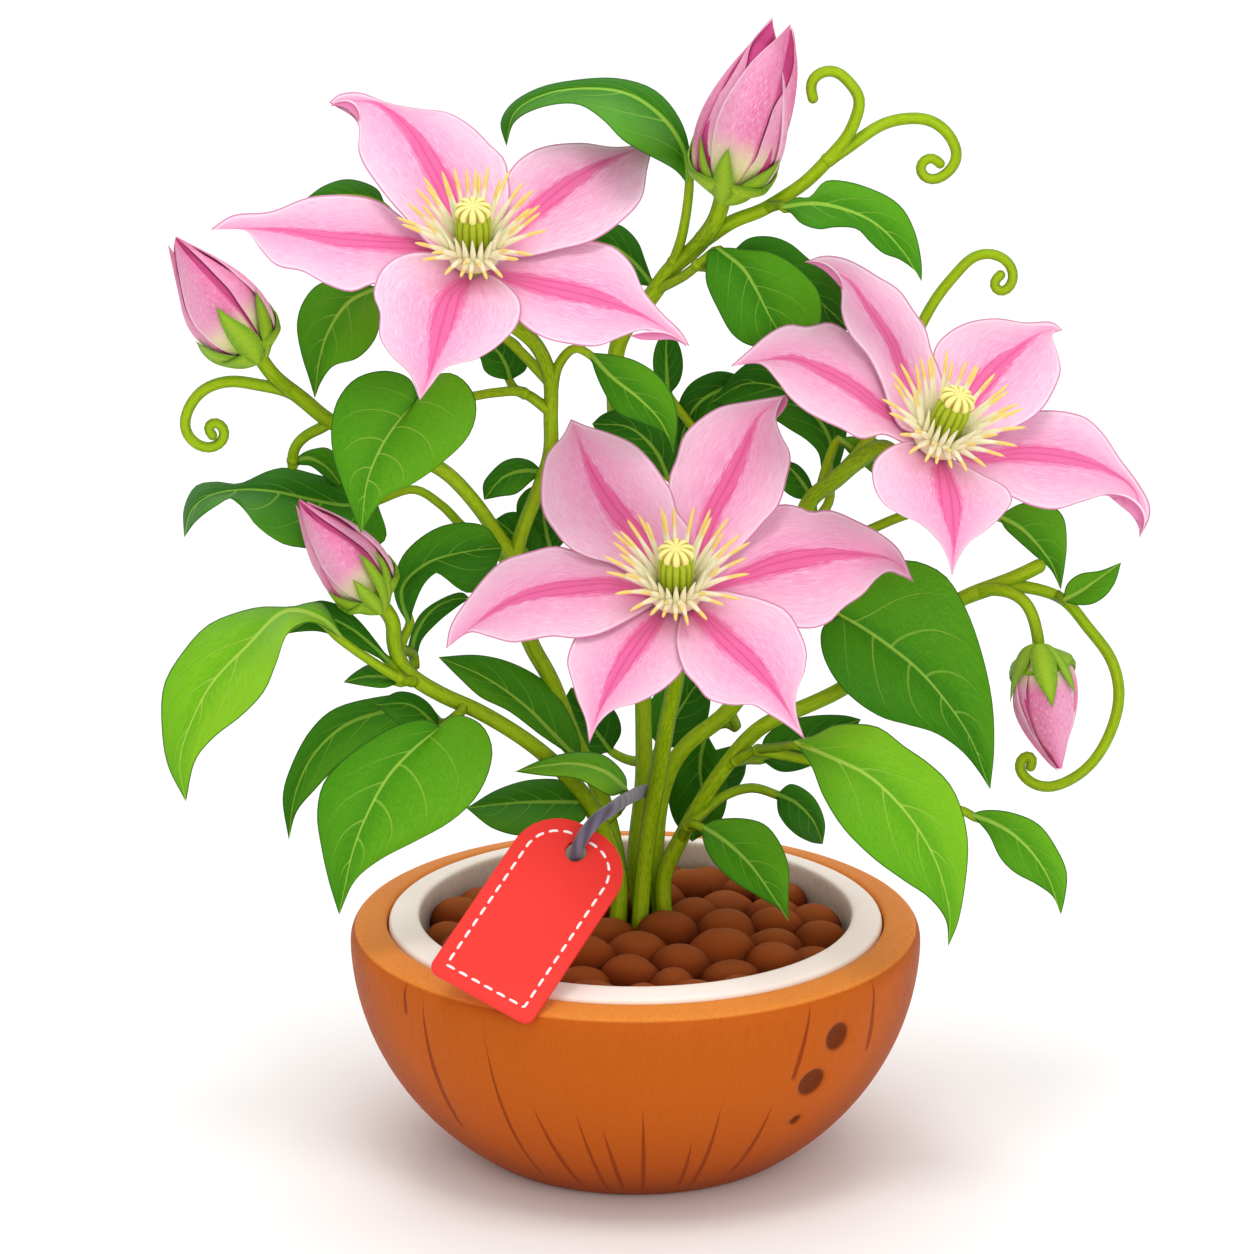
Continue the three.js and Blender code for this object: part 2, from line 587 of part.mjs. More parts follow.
leaf("leaf_low_upper", boughs.middle, [
  { stalk: [seen(-11, 36, 17), seen(-10, 40, 12)],
    base: seen(-13, 43, 11), middle: seen(-27, 57, 8), tip: seen(-49, 66, 2),
    width: 20, from: [0.3, -0.7, 0.6], to: [0, -0.7, 0.7] },
]);
leaf("leaf_right_large", boughs.third, [
  { stalk: [seen(36, 78, 16), seen(42, 80, 6), seen(46, 79, -4)],
    base: seen(49, 77, -6), middle: seen(71, 64, -9), tip: seen(88, 33, -12),
    width: 42, from: [0.1, -0.85, 0.5], to: [0.2, -0.95, 0.2], ...HEART, fold: 8 },
]);
leaf("leaf_right_low", boughs.right, [
  { stalk: [seen(22, 38, 2), seen(29, 42, -5), seen(35, 43, -16)],
    base: seen(41, 43, -25), middle: seen(65, 30, -42), tip: seen(78, -6, -49),
    width: 32, from: [0.2, -0.6, 0.8], to: [0.3, -0.95, 0.1], ...HEART, fold: 8 },
  { stalk: [seen(25, 40, -1), seen(28, 40, 5)],
    base: seen(31, 40, 9), middle: seen(43, 45, 13), tip: seen(56, 50, 15),
    width: 15, from: [0, -0.8, 0.6] },
  { stalk: [seen(31, 43, -6), seen(50, 38, -6), seen(70, 30, -10), seen(82, 27, -12)],
    base: seen(86, 26, -13), middle: seen(99, 19, -15), tip: seen(105, 2, -17),
    width: 17, from: [0.1, -0.7, 0.7], to: [0.4, -0.9, 0.2] },
]);
leaf("leaf_front_low", boughs.right, [
  { stalk: [seen(11, 20, 7), seen(14, 24, 0)],
    base: seen(17, 25, -4), middle: seen(29, 19, -14), tip: seen(38, 1, -19),
    width: 19, from: [0.1, -0.7, 0.7], to: [0.2, -0.95, 0.3] },
  { stalk: [seen(13, 23, 2), seen(22, 31, 8), seen(29, 33, 12)],
    base: seen(35, 32, 14), middle: seen(43, 28, 16), tip: seen(46, 18, 18),
    width: 12, from: [0.3, -0.8, 0.4] },
]);
leaf("leaf_right_tip", boughs.third, [
  { stalk: [seen(40, 90, 16), seen(51, 94, 15), seen(58, 97, 14), seen(68, 101, 12), seen(79, 103, 12)],
    base: seen(90, 101, 13), middle: seen(100, 94, 13), tip: seen(107, 82, 14),
    width: 15, from: [0.1, -0.9, 0.5] },
]);
leaf("leaf_tendril_small", boughs.rightCurl, [
  { stalk: [seen(105, 80, 6), seen(106, 80, 3)],
    base: seen(107, 80, 1), middle: seen(113, 82, -1), tip: seen(121, 89, -3),
    width: 9, from: [0, -0.8, 0.6] },
]);
leaf("leaf_back", boughs.top, [
  { stalk: [seen(2, 38, 21), seen(4, 40, 27)],
    base: seen(6, 43, 31), middle: seen(12, 54, 36), tip: seen(18, 62, 38),
    width: 17, from: [0, -0.9, 0.3] },
  { stalk: [seen(3, 39, 25), seen(-2, 40, 30)],
    base: seen(-6, 42, 33), middle: seen(-12, 50, 37), tip: seen(-16, 58, 38),
    width: 16, from: [0, -0.9, 0.3] },
  { stalk: [seen(3, 39, 25), seen(10, 34, 29)],
    base: seen(15, 34, 32), middle: seen(22, 38, 36), tip: seen(27, 44, 38),
    width: 14, from: [0.2, -0.9, 0.3] },
]);

// Petals stand round a flower's axis. Each is given by its direction in degrees, counted from the
// right towards the back, its reach and width, how high its tip and its middle lie above its
// foot, its layer from the top, and how far its tip sweeps round in degrees.
const LAYER = 1.1;
const PETAL_ROWS = 6;
const PETAL_COLUMNS = 2;

function petalSurface({ centre, axis }, { angle, reach, width, rise, crown, layer, sweep }) {
  const back = new THREE.Vector3(0, 1, 0).addScaledVector(axis, -axis.y).normalize();
  const right = back.clone().cross(axis);
  const at = (turn, radius, height) => {
    const rad = THREE.MathUtils.degToRad(turn);
    const place = centre.clone().addScaledVector(axis, height);
    place.addScaledVector(right, radius * Math.cos(rad));
    return place.addScaledVector(back, radius * Math.sin(rad));
  };
  const foot = 1 - layer * LAYER;
  const faces = [axis.x, axis.y, axis.z];
  return bladeSurface({
    base: at(angle, PETAL_START, foot),
    middle: at(angle, reach / 2, foot + crown),
    tip: at(angle + sweep, reach, foot + rise),
    width,
    from: faces,
    fold: 4,
    outline: petalOutline,
  });
}

const petals = {
  left_flower: [
    { angle: 122, reach: 60, width: 32, rise: 9, crown: 6, layer: 0, sweep: 6 },
    { angle: 40, reach: 58, width: 31, rise: 5, crown: 4, layer: 1, sweep: 2 },
    { angle: -24, reach: 57, width: 30, rise: -2, crown: 2, layer: 2, sweep: -4 },
    { angle: -104, reach: 46, width: 33, rise: -2, crown: 2, layer: 1, sweep: -2 },
    { angle: 172, reach: 64, width: 28, rise: 0, crown: 2, layer: 2, sweep: -3 },
  ],
  front_flower: [
    { angle: 118, reach: 59, width: 31, rise: 10, crown: 5, layer: 0, sweep: -2 },
    { angle: 62, reach: 62, width: 31, rise: 15, crown: 5, layer: 1, sweep: 2 },
    { angle: 7, reach: 57, width: 32, rise: 1, crown: 1, layer: 2, sweep: -3 },
    { angle: -53, reach: 51, width: 31, rise: -2, crown: 3, layer: 1, sweep: 0 },
    { angle: -116, reach: 48, width: 31, rise: -2, crown: 2, layer: 2, sweep: 1 },
    { angle: 192, reach: 57, width: 28, rise: 0, crown: 3, layer: 1, sweep: 5 },
  ],
  right_flower: [
    { angle: 180, reach: 53, width: 29, rise: 2, crown: 3, layer: 1, sweep: -3 },
    { angle: 136, reach: 55, width: 27, rise: 13, crown: 5, layer: 0, sweep: 4 },
    { angle: 66, reach: 60, width: 34, rise: 5, crown: 4, layer: 1, sweep: -2 },
    { angle: 10, reach: 58, width: 30, rise: -11, crown: -1, layer: 2, sweep: -3 },
    { angle: -76, reach: 41, width: 34, rise: -2, crown: 2, layer: 1, sweep: 0 },
  ],
};

// Turns a solid that stands on the origin along +Z to stand on a base along an axis.
function standing(geometry, base, axis) {
  const turn = new THREE.Quaternion().setFromUnitVectors(new THREE.Vector3(0, 0, 1), axis);
  geometry.applyQuaternion(turn);
  geometry.translate(base.x, base.y, base.z);
  return geometry;
}

const pistilProfile = [
  [0, 0], [PISTIL_RADIUS * 0.75, 0], [PISTIL_RADIUS * 0.95, 3], [PISTIL_RADIUS, 8],
  [PISTIL_RADIUS * 0.9, 10.5], [PISTIL_RADIUS * 1.07, 11.5], [PISTIL_RADIUS * 1.05, 13.5],
  [PISTIL_RADIUS * 0.7, PISTIL_HEIGHT], [0, PISTIL_HEIGHT + 0.4],
];

// Stamens: a ring of foot round the pistil with curved filaments that spread from it
const RING_INNER = PISTIL_RADIUS + GAP;
const RING_OUTER = RING_INNER + 1.5;
const RING_HEIGHT = 1.3;

function stamens({ centre, axis }) {
  const profile = [
    [RING_INNER, 0], [RING_OUTER, 0], [RING_OUTER, RING_HEIGHT],
    [RING_INNER, RING_HEIGHT], [RING_INNER, 0],
  ];
  const seat = centre.clone().addScaledVector(axis, RECEPTACLE_TOP + GAP);
  const solids = [solid(standing(turnedProfile(profile, 12), seat, axis))];
  for (let k = 0; k < STAMEN_COUNT; k++) {
    const angle = (2 * Math.PI * (k + 0.5)) / STAMEN_COUNT;
    const spread = THREE.MathUtils.degToRad(k % 2 ? 28 : 56);
    const at = (share) => {
      const out = RING_INNER + 0.8 + STAMEN_LENGTH * share * Math.sin(spread) * (0.8 + 0.2 * share);
      const up = RING_HEIGHT / 2 + STAMEN_LENGTH * share * Math.cos(spread * (0.7 + 0.3 * share));
      return new THREE.Vector3(out * Math.cos(angle), out * Math.sin(angle), up);
    };
    const filament = bough([at(0), at(0.5), at(1)], STAMEN_RADIUS, STAMEN_LENGTH / 2);
    solids.push(solid(standing(tubeGeometry(filament, 0, 3), seat, axis)));
  }
  return largestBody(joined(solids));
}

for (const [name, flower] of Object.entries(flowers)) {
  petals[name].forEach((petal, k) => {
    const blade = sheet(PETAL_ROWS, PETAL_COLUMNS, PETAL_THICKNESS, petalSurface(flower, petal));
    addNode(`${name}_petal_${k + 1}`, blade, 0xf8bbd9, 0.6);
  });
  addNode(`${name}_stamens`, stamens(flower), 0xf8f0c0, 0.6);
  const seat = flower.centre.clone().addScaledVector(flower.axis, RECEPTACLE_TOP + GAP);
  const pistil = solid(standing(turnedProfile(pistilProfile, 10), seat, flower.axis));
  addNode(`${name}_pistil`, pistil, 0x9db020, 0.5);
}

// A bud: folded petals in a cup of four pointed sepals. Both follow the same rows up to the cup's
// edge, which rises to a point over each sepal.
const SEPAL_THICKNESS = 0.9;
const BUD_SEGMENTS = 12;
const CUP_ROWS = 3;
const FREE_ROWS = 4;

function budRadius(share, width) {
  return (width / 2) * Math.sin(Math.PI * Math.min(1, 0.06 + 0.94 * share) ** 0.72) ** 0.85;
}

function cupEdge(angle) {
  return 0.3 + 0.26 * Math.abs(Math.cos(2 * angle)) ** 1.5;
}

for (const [name, { base, tip, width }] of Object.entries(buds)) {
  const axis = tip.clone().sub(base).normalize();
  const length = tip.distanceTo(base);
  const foot = SEPAL_THICKNESS + 2 * GAP;
  const core = length - foot;
  const rows = CUP_ROWS + FREE_ROWS;
  const body = turned(rows + 1, BUD_SEGMENTS, (j, angle) => {
    if (j === 0) return [0, 0];
    if (j === rows) return [0, core];
    const edge = cupEdge(angle);
    const above = (j - CUP_ROWS) / FREE_ROWS;
    const share = j <= CUP_ROWS ? (edge * j) / CUP_ROWS : edge + (1 - edge) * above;
    return [budRadius(share, width), share * core];
  });
  const seat = base.clone().addScaledVector(axis, foot);
  addNode(`${name}_petals`, solid(standing(body, seat, axis)), 0xf48fc0, 0.6);

  const cup = turned(2 * CUP_ROWS + 2, BUD_SEGMENTS, (j, angle) => {
    const inner = j > CUP_ROWS;
    const row = inner ? 2 * CUP_ROWS + 1 - j : j;
    const share = (cupEdge(angle) * row) / CUP_ROWS;
    const clear = inner ? 3 * GAP : 3 * GAP + SEPAL_THICKNESS;
    if (row === 0) return [0, inner ? foot - GAP : GAP];
    return [budRadius(share, width) + clear, foot + share * core];
  });
  addNode(`${name}_sepals`, solid(standing(cup, base, axis)), 0x86b82a, 0.55);
}

// The tag leans on the bowl's rim at the left of the front, its hole towards the stems
const TAG_LEAN = THREE.MathUtils.degToRad(45);
const TAG_TURN = THREE.MathUtils.degToRad(31);
const tagFace = new THREE.Vector3(0, -Math.sin(TAG_LEAN), Math.cos(TAG_LEAN));
const tagUp = new THREE.Vector3(0, Math.cos(TAG_LEAN), Math.sin(TAG_LEAN));
const tagAlong = tagUp.clone().multiplyScalar(Math.cos(TAG_TURN));
tagAlong.x += Math.sin(TAG_TURN);
const tagAcross = tagAlong.clone().cross(tagFace);
const TAG_CLEAR = 4;
const tagFoot = seen(-39, -21, -61).addScaledVector(tagFace, TAG_CLEAR);
const HOLE_FROM_TOP = 7;

const tagShape = new THREE.Shape();
const cornerRadius = 2.5;
const endRadius = 12;
const half = TAG_WIDTH / 2;
tagShape.moveTo(-half + cornerRadius, 0);
tagShape.lineTo(half - cornerRadius, 0);
tagShape.absarc(half - cornerRadius, cornerRadius, cornerRadius, -Math.PI / 2, 0);
tagShape.absarc(half - endRadius, TAG_LENGTH - endRadius, endRadius, 0, Math.PI / 2);
tagShape.absarc(-half + endRadius, TAG_LENGTH - endRadius, endRadius, Math.PI / 2, Math.PI);
tagShape.absarc(-half + cornerRadius, cornerRadius, cornerRadius, Math.PI, 1.5 * Math.PI);
const hole = new THREE.Path();
hole.absarc(0, TAG_LENGTH - HOLE_FROM_TOP, TAG_HOLE_RADIUS, 0, 2 * Math.PI, true);
tagShape.holes.push(hole);
const tagCut = { depth: TAG_THICKNESS, bevelEnabled: false, curveSegments: 5 };
const tag = new THREE.ExtrudeGeometry(tagShape, tagCut);
tag.translate(0, 0, -TAG_THICKNESS / 2);
const tagPlace = new THREE.Matrix4().makeBasis(tagAcross, tagAlong, tagFace).setPosition(tagFoot);
tag.applyMatrix4(tagPlace);
addNode("hang_tag", solid(tag), 0xfb4f45, 0.5);

// The tie: a cord out of the tag's hole, back to the front cane and past it on its left, its end
// hidden behind the cane
const holeCentre = new THREE.Vector3(0, TAG_LENGTH - HOLE_FROM_TOP, 0).applyMatrix4(tagPlace);
const besideHole = (forward, onward) =>
  holeCentre.clone().addScaledVector(tagFace, forward).addScaledVector(tagAlong, onward);
const tieRoute = [
  besideHole(-0.8, -0.42),
  besideHole(0.8, 0.42),
  seen(-13.2, 20.6, -37.4),
  seen(-11.1, 23.6, -36.5),
  seen(-8.8, 25.9, -34.4),
  seen(-6.6, 27.3, -31.6),
  seen(-3.9, 29.3, -21.5),
  seen(-2.1, 30.3, -12),
  seen(-0.8, 31, -4.5),
  seen(0.1, 31.5, 0.4),
  seen(1.15, 31.9, 4.2),
  seen(3, 32.3, 7.6),
  seen(5.5, 32.6, 10.3),
];
addNode("tag_tie", tube(bough(tieRoute, TIE_RADIUS, 4), 0, 8), 0x6b6476, 0.6);

export default plant;
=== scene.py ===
"""A clematis with pink star flowers, growing among clay pebbles in half a coconut shell.

The plant comes first as it grows out of the bowl, then the tag that is tied to it. Every piece
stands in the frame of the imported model, in metres, and takes the place of its plain CAD solid.
"""

import math

import bpy
import numpy as np
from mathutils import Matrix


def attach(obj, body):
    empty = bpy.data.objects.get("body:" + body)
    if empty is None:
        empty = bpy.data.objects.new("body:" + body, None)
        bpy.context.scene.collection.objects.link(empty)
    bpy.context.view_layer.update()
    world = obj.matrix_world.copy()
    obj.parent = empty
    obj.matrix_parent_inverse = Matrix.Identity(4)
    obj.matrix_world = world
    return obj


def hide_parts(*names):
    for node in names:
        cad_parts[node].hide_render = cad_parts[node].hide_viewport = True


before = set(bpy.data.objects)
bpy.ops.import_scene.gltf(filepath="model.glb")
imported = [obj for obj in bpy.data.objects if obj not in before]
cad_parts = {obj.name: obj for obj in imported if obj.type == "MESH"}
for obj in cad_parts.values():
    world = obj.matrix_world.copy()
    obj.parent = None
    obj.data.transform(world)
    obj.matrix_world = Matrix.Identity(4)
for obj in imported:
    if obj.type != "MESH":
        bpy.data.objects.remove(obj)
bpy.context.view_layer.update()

# The viewer
# The plant is looked at from straight in front and a little above. Places on it are given as
# that viewer sees them, in millimetres right of the bowl's axis and above the middle of its rim.
EYE_TILT = math.radians(17)
EYE_DISTANCE = 1.5
EYE_AIM = np.array([-0.0021, 0.0213, 0.1272])
AIM_ABOVE_RIM = 0.0729
VIEW_WIDTH = 0.311  # of the picture, where the viewer aims
LOOK = np.array([0, math.cos(EYE_TILT), -math.sin(EYE_TILT)])
EYE = EYE_AIM - LOOK * EYE_DISTANCE


def sight(places):
    """The rays from the eye through places (right, up) of the picture, as far as the aim."""
    right, up = np.moveaxis(np.asarray(places, dtype=float) / 1000, -1, 0)
    above = up - AIM_ABOVE_RIM
    on_picture = [right, EYE_AIM[1] + above * math.sin(EYE_TILT), EYE_AIM[2] + above * math.cos(EYE_TILT)]
    return np.stack(on_picture, -1) - EYE


def seen(places):
    """The points seen at places (right, up, depth): each on a ray, that depth behind the axis."""
    places = np.asarray(places, dtype=float)
    rays = sight(places[..., :2])
    return EYE + rays * ((places[..., 2:] / 1000 - EYE[1]) / rays[..., 1:2])


camera = bpy.data.objects.new("camera", bpy.data.cameras.new("camera"))
camera.data.sensor_width = 36
camera.data.lens = 36 * EYE_DISTANCE / VIEW_WIDTH
camera.data.clip_end = 30
camera.location = EYE
camera.rotation_euler = (math.pi / 2 - EYE_TILT, 0, 0)
bpy.context.collection.objects.link(camera)
bpy.context.scene.camera = camera


# The tag's tie
# A short grey cord of three twisted strands. It starts behind the tag's hole, comes out of it to
# the front, and goes back past the front cane, where its end is out of sight.
def unit(vectors):
    """Vectors shortened or stretched to length one."""
    return vectors / np.linalg.norm(vectors, axis=-1, keepdims=True)


def smooth_line(route, shares):
    """Places on a smooth line through the points of a route, at shares of its length.

    A whole number instead of shares asks for that many evenly spaced places.

    Each span is a cubic. Its slope at a point weighs the spans on both sides by the square roots
    of their lengths, so that the line swings wide round no point.
    """
    route = np.asarray(route, dtype=float)
    points = np.vstack([2 * route[0] - route[1], route, 2 * route[-1] - route[-2]])
    steps = np.diff(points, axis=0)
    weights = np.sqrt(np.linalg.norm(steps, axis=1))[:, None]
    slopes = steps / weights
    slopes = slopes[:-1] + slopes[1:] - (points[2:] - points[:-2]) / (weights[:-1] + weights[1:])
    leave = (slopes[:-1] * weights[1:-1])[:, None]
    arrive = (slopes[1:] * weights[1:-1])[:, None]
    u = np.linspace(0, 1, 32, endpoint=False)[None, :, None]
    spans = (
        points[1:-2, None] * (2 * u**3 - 3 * u**2 + 1)
        + leave * (u**3 - 2 * u**2 + u)
        + points[2:-1, None] * (3 * u**2 - 2 * u**3)
        + arrive * (u**3 - u**2)
    )
    line = np.vstack([spans.reshape(-1, route.shape[1]), route[-1]])
    length = np.concatenate([[0], np.cumsum(np.linalg.norm(np.diff(line, axis=0), axis=1))])
    shares = np.linspace(0, 1, shares) if isinstance(shares, int) else shares
    return np.stack([np.interp(shares * length[-1], length, column) for column in line.T], 1)


def skin(grid, along, across, look=0, ring=False, **marks):
    """Faces over a grid of points whose columns go once round.

    There is a face between each four neighbours. The first and last rows are closed by a fan
    about their middle, or joined to each other on a ring. `along` and `across` are what the UV
    map reads at each row and column, and `marks` are numbers stored with the points.
    """
    rows, columns = grid.shape[:2]
    r, c = (index.ravel() for index in np.indices((rows if ring else rows - 1, columns)))
    low, high, beside = r * columns, (r + 1) % rows * columns, (c + 1) % columns
    faces = np.stack([low + c, low + beside, high + beside, high + c], 1).tolist()
    corners = [along[r], across[c], along[r], across[c + 1]]
    corners += [along[r + 1], across[c + 1], along[r + 1], across[c]]
    uv = [np.stack(corners, 1).ravel()]
    points = grid.reshape(-1, 3)
    values = {name: np.broadcast_to(value, (rows, columns)) for name, value in marks.items()}
    if not ring:
        c = np.arange(columns)
        beside = (c + 1) % columns
        points = np.vstack([points, grid[0].mean(0), grid[-1].mean(0)])
        pole = np.full(columns, rows * columns)
        last = (rows - 1) * columns
        faces += np.stack([pole, beside, c], 1).tolist()
        faces += np.stack([pole + 1, last + c, last + beside], 1).tolist()
        middle = (across[c] + across[c + 1]) / 2
        for end, first, second in ((along[0], c + 1, c), (along[rows - 1], c, c + 1)):
            ends = np.full(columns, end)
            fan = [ends, middle, ends, across[first], ends, across[second]]
            uv.append(np.stack(fan, 1).ravel())
        values = {
            name: np.concatenate([value.ravel(), [value[0].mean(), value[-1].mean()]])
            for name, value in values.items()
        }
    else:
        values = {name: value.ravel() for name, value in values.items()}
    return {"points": points, "faces": faces, "uv": np.concatenate(uv), "marks": values, "look": look}


def piece(name, skins, materials, slot, *nodes):
    """One object out of closed skins, which stands for CAD nodes and rides on the plant."""
    faces, looks, start = [], [], 0
    for part in skins:
        faces += [[corner + start for corner in face] for face in part["faces"]]
        looks += [part["look"]] * len(part["faces"])
        start += len(part["points"])
    mesh = bpy.data.meshes.new(name)
    mesh.from_pydata(np.concatenate([part["points"] for part in skins]).tolist(), [], faces)
    uv_map = mesh.uv_layers.new(name="UVMap")
    uv_map.data.foreach_set("uv", np.concatenate([part["uv"] for part in skins]))
    for mark in sorted({mark for part in skins for mark in part["marks"]}):
        none = [np.zeros(len(part["points"])) for part in skins]
        values = [part["marks"].get(mark, zero) for part, zero in zip(skins, none)]
        layer = mesh.attributes.new(mark, "FLOAT", "POINT")
        layer.data.foreach_set("value", np.concatenate(values))
    mesh.polygons.foreach_set("use_smooth", np.ones(len(faces), dtype=bool))
    mesh.polygons.foreach_set("material_index", looks)
    for material in materials:
        mesh.materials.append(material)
    made = bpy.data.objects.new(name, mesh)
    bpy.context.collection.objects.link(made)
    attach(made, "root")
    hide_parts(*nodes)
    return made


def rod(line, radius, sides=12, ridges=0, relief=0.0, look=0, **marks):
    """A round rod along a line, with half a ball at both ends.

    At each place a ring of points stands at right angles to the line, at the radius there, which
    swells and shrinks by the share `relief` on a number of ridges. The rings are carried along
    without turning. The UV map reads centimetres along and turns around.
    """
    radius = np.broadcast_to(radius, len(line)).astype(float)
    heading = unit(np.gradient(line, axis=0))
    side = np.empty_like(line)
    side[0] = unit(np.cross(heading[0], np.eye(3)[np.argmin(np.abs(heading[0]))]))
    for k in range(1, len(line)):
        side[k] = unit(side[k - 1] - heading[k] * (side[k - 1] @ heading[k]))
    lift = np.sin(np.radians([70, 45, 20]))[:, None]
    slim = np.cos(np.radians([70, 45, 20]))
    line = np.vstack([
        line[0] - heading[0] * lift * radius[0],
        line,
        line[-1] + heading[-1] * lift[::-1] * radius[-1],
    ])
    radius = np.concatenate([slim * radius[0], radius, slim[::-1] * radius[-1]])
    heading = np.vstack([heading[:1]] * 3 + [heading] + [heading[-1:]] * 3)
    side = np.vstack([side[:1]] * 3 + [side] + [side[-1:]] * 3)
    turns = np.linspace(0, 1, sides + 1)
    angle = 2 * np.pi * turns[:-1]
    ribbed = radius[:, None] * (1 + relief * np.cos(ridges * angle))
    over = np.cross(heading, side)
    ring = side[:, None] * np.cos(angle)[:, None] + over[:, None] * np.sin(angle)[:, None]
    grid = line[:, None] + ring * ribbed[..., None]
    length = np.concatenate([[0], np.cumsum(np.linalg.norm(np.diff(line, axis=0), axis=1))])
    return skin(grid, length * 100, turns, look, **marks)


def paint(code):
    """A colour as a shader takes it, from its six-digit web code."""
    shares = [int(code[i : i + 2], 16) / 255 for i in (0, 2, 4)]
    linear = [s / 12.92 if s <= 0.04045 else ((s + 0.055) / 1.055) ** 2.4 for s in shares]
    return (*linear, 1.0)


def add(tree, kind, *inputs, **options):
    """A shader node with its options, and its inputs in order: values, or other nodes' outputs.

    None leaves an input as it is. A node given as an input stands for its first output in use.
    """
    made = tree.nodes.new("ShaderNode" + kind)
    for name, value in options.items():
        setattr(made, name, value)
    for socket, value in zip([s for s in made.inputs if s.enabled], inputs):
        if isinstance(value, bpy.types.Node):
            value = next(output for output in value.outputs if output.enabled)
        if isinstance(value, bpy.types.NodeSocket):
            tree.links.new(value, socket)
        elif value is not None:
            socket.default_value = value
    return made


def work_out(tree, operation, *inputs):
    """A number from one, two or three others."""
    return add(tree, "Math", *inputs, operation=operation)


def mixed(tree, share, first, second, how="MIX"):
    """A colour between two others."""
    return add(tree, "Mix", share, first, second, data_type="RGBA", blend_type=how)


def from_to(tree, value, low, high, at_low=0.0, at_high=1.0):
    """A number that goes smoothly from one value to another while `value` goes from low to high."""
    return add(tree, "MapRange", value, low, high, at_low, at_high, interpolation_type="SMOOTHSTEP")


def surface(name, roughness, **sockets):
    """A new material with its shader's constant sockets set: the material, its tree and shader."""
    material = bpy.data.materials.new(name)
    material.use_nodes = True
    tree = material.node_tree
    shader = tree.nodes["Principled BSDF"]
    shader.inputs["Roughness"].default_value = roughness
    for socket, value in {"Specular_IOR_Level": 0.3, "IOR": 1.35, **sockets}.items():
        shader.inputs[socket.replace("_", " ")].default_value = value
    return material, tree, shader


def relief(tree, shader, height, distance, strength=1.0):
    """Raises the surface by a height from 0 to 1, times a distance in metres."""
    bump = add(tree, "Bump", strength, distance, None, height)
    tree.links.new(bump.outputs[0], shader.inputs["Normal"])


TAG_LENGTH = 0.052
TAG_LEAN = math.radians(45)
TAG_TURN = math.radians(31)
TAG_CLEAR = 0.004
HOLE_FROM_TOP = 0.007
tag_face = np.array([0, -math.sin(TAG_LEAN), math.cos(TAG_LEAN)])
tag_along = np.array([0, math.cos(TAG_LEAN), math.sin(TAG_LEAN)]) * math.cos(TAG_TURN)
tag_along[0] = math.sin(TAG_TURN)
tag_across = np.cross(tag_along, tag_face)
tag_foot = seen([-39, -21, -61]) + tag_face * TAG_CLEAR
hole_centre = tag_foot + tag_along * (TAG_LENGTH - HOLE_FROM_TOP)

TIE_RADIUS = 0.0016
from_hole = np.array([[-0.8, -0.42], [0.8, 0.42]]) / 1000
tie_route = np.vstack([
    hole_centre + from_hole[:, :1] * tag_face + from_hole[:, 1:] * tag_along,
    seen([(-13.2, 20.6, -37.4), (-11.1, 23.6, -36.5), (-8.8, 25.9, -34.4), (-6.6, 27.3, -31.6),
          (-3.9, 29.3, -21.5), (-2.1, 30.3, -12), (-0.8, 31, -4.5), (0.1, 31.5, 0.4),
          (1.15, 31.9, 4.2), (3, 32.3, 7.6), (5.5, 32.6, 10.3)]),
])
tie_line = smooth_line(tie_route, 90)

tie_cord, tree, shader = surface("twisted_cord", 0.6, Sheen_Weight=0.3, Sheen_Roughness=0.5)
place = add(tree, "SeparateXYZ", add(tree, "UVMap", uv_map="UVMap"))
twist = work_out(tree, "MULTIPLY_ADD", place.outputs["X"], 0.5, place.outputs["Y"])
strand = work_out(tree, "SINE", work_out(tree, "MULTIPLY", twist, 6 * math.pi))
strand = from_to(tree, strand, -1.0, 0.9)
fuzz = add(tree, "TexNoise", add(tree, "TexCoord").outputs["Object"], None, 4000.0)
# Painted shade: each strand is lighter on its crown and darker in the grooves between strands
colour = mixed(tree, strand, paint("4C4656"), paint("6B6477"))
colour = mixed(tree, from_to(tree, fuzz, 0.35, 0.7, 0, 0.25), colour, paint("7F7889"))
tree.links.new(colour.outputs[2], shader.inputs["Base Color"])
relief(tree, shader, strand, 0.00015, 0.4)
tie = piece(
    "tag_tie_cord", [rod(tie_line, TIE_RADIUS, 20, 3, 0.03)], [tie_cord], "tie", "tag_tie"
)


# The coconut shell
# Half a coconut: a brown woody shell about 9 mm thick, sawn through and sanded smooth outside, so
# that dark fibre streaks and the nut's three eyes show. A flat foot is ground on its bottom.
BOWL_RADIUS = 0.0707
BOWL_DEPTH = 0.0655
WIDEST_HEIGHT = 0.055
RIM_HEIGHT = 0.0575
RIM_RADIUS = 0.0696
RIM_SLOPE = 0.2
SHELL_INNER_RADIUS = 0.0615
SHELL_INNER_DEPTH = 0.0485
SHELL_COLUMNS = 264
SHELL_ROWS = 260
EYES = {(50.2, -28.8): 0.0034, (43.8, -40.2): 0.0037, (39.8, -49.6): 0.0017}


def arc(half_width, depth, from_radius, count):
    """Radii and heights on an upright ellipse's lower half, centred at the widest height."""
    angle = np.linspace(math.asin(from_radius / half_width), math.pi / 2, count)
    return np.stack([half_width * np.sin(angle), WIDEST_HEIGHT - depth * np.cos(angle)], 1)


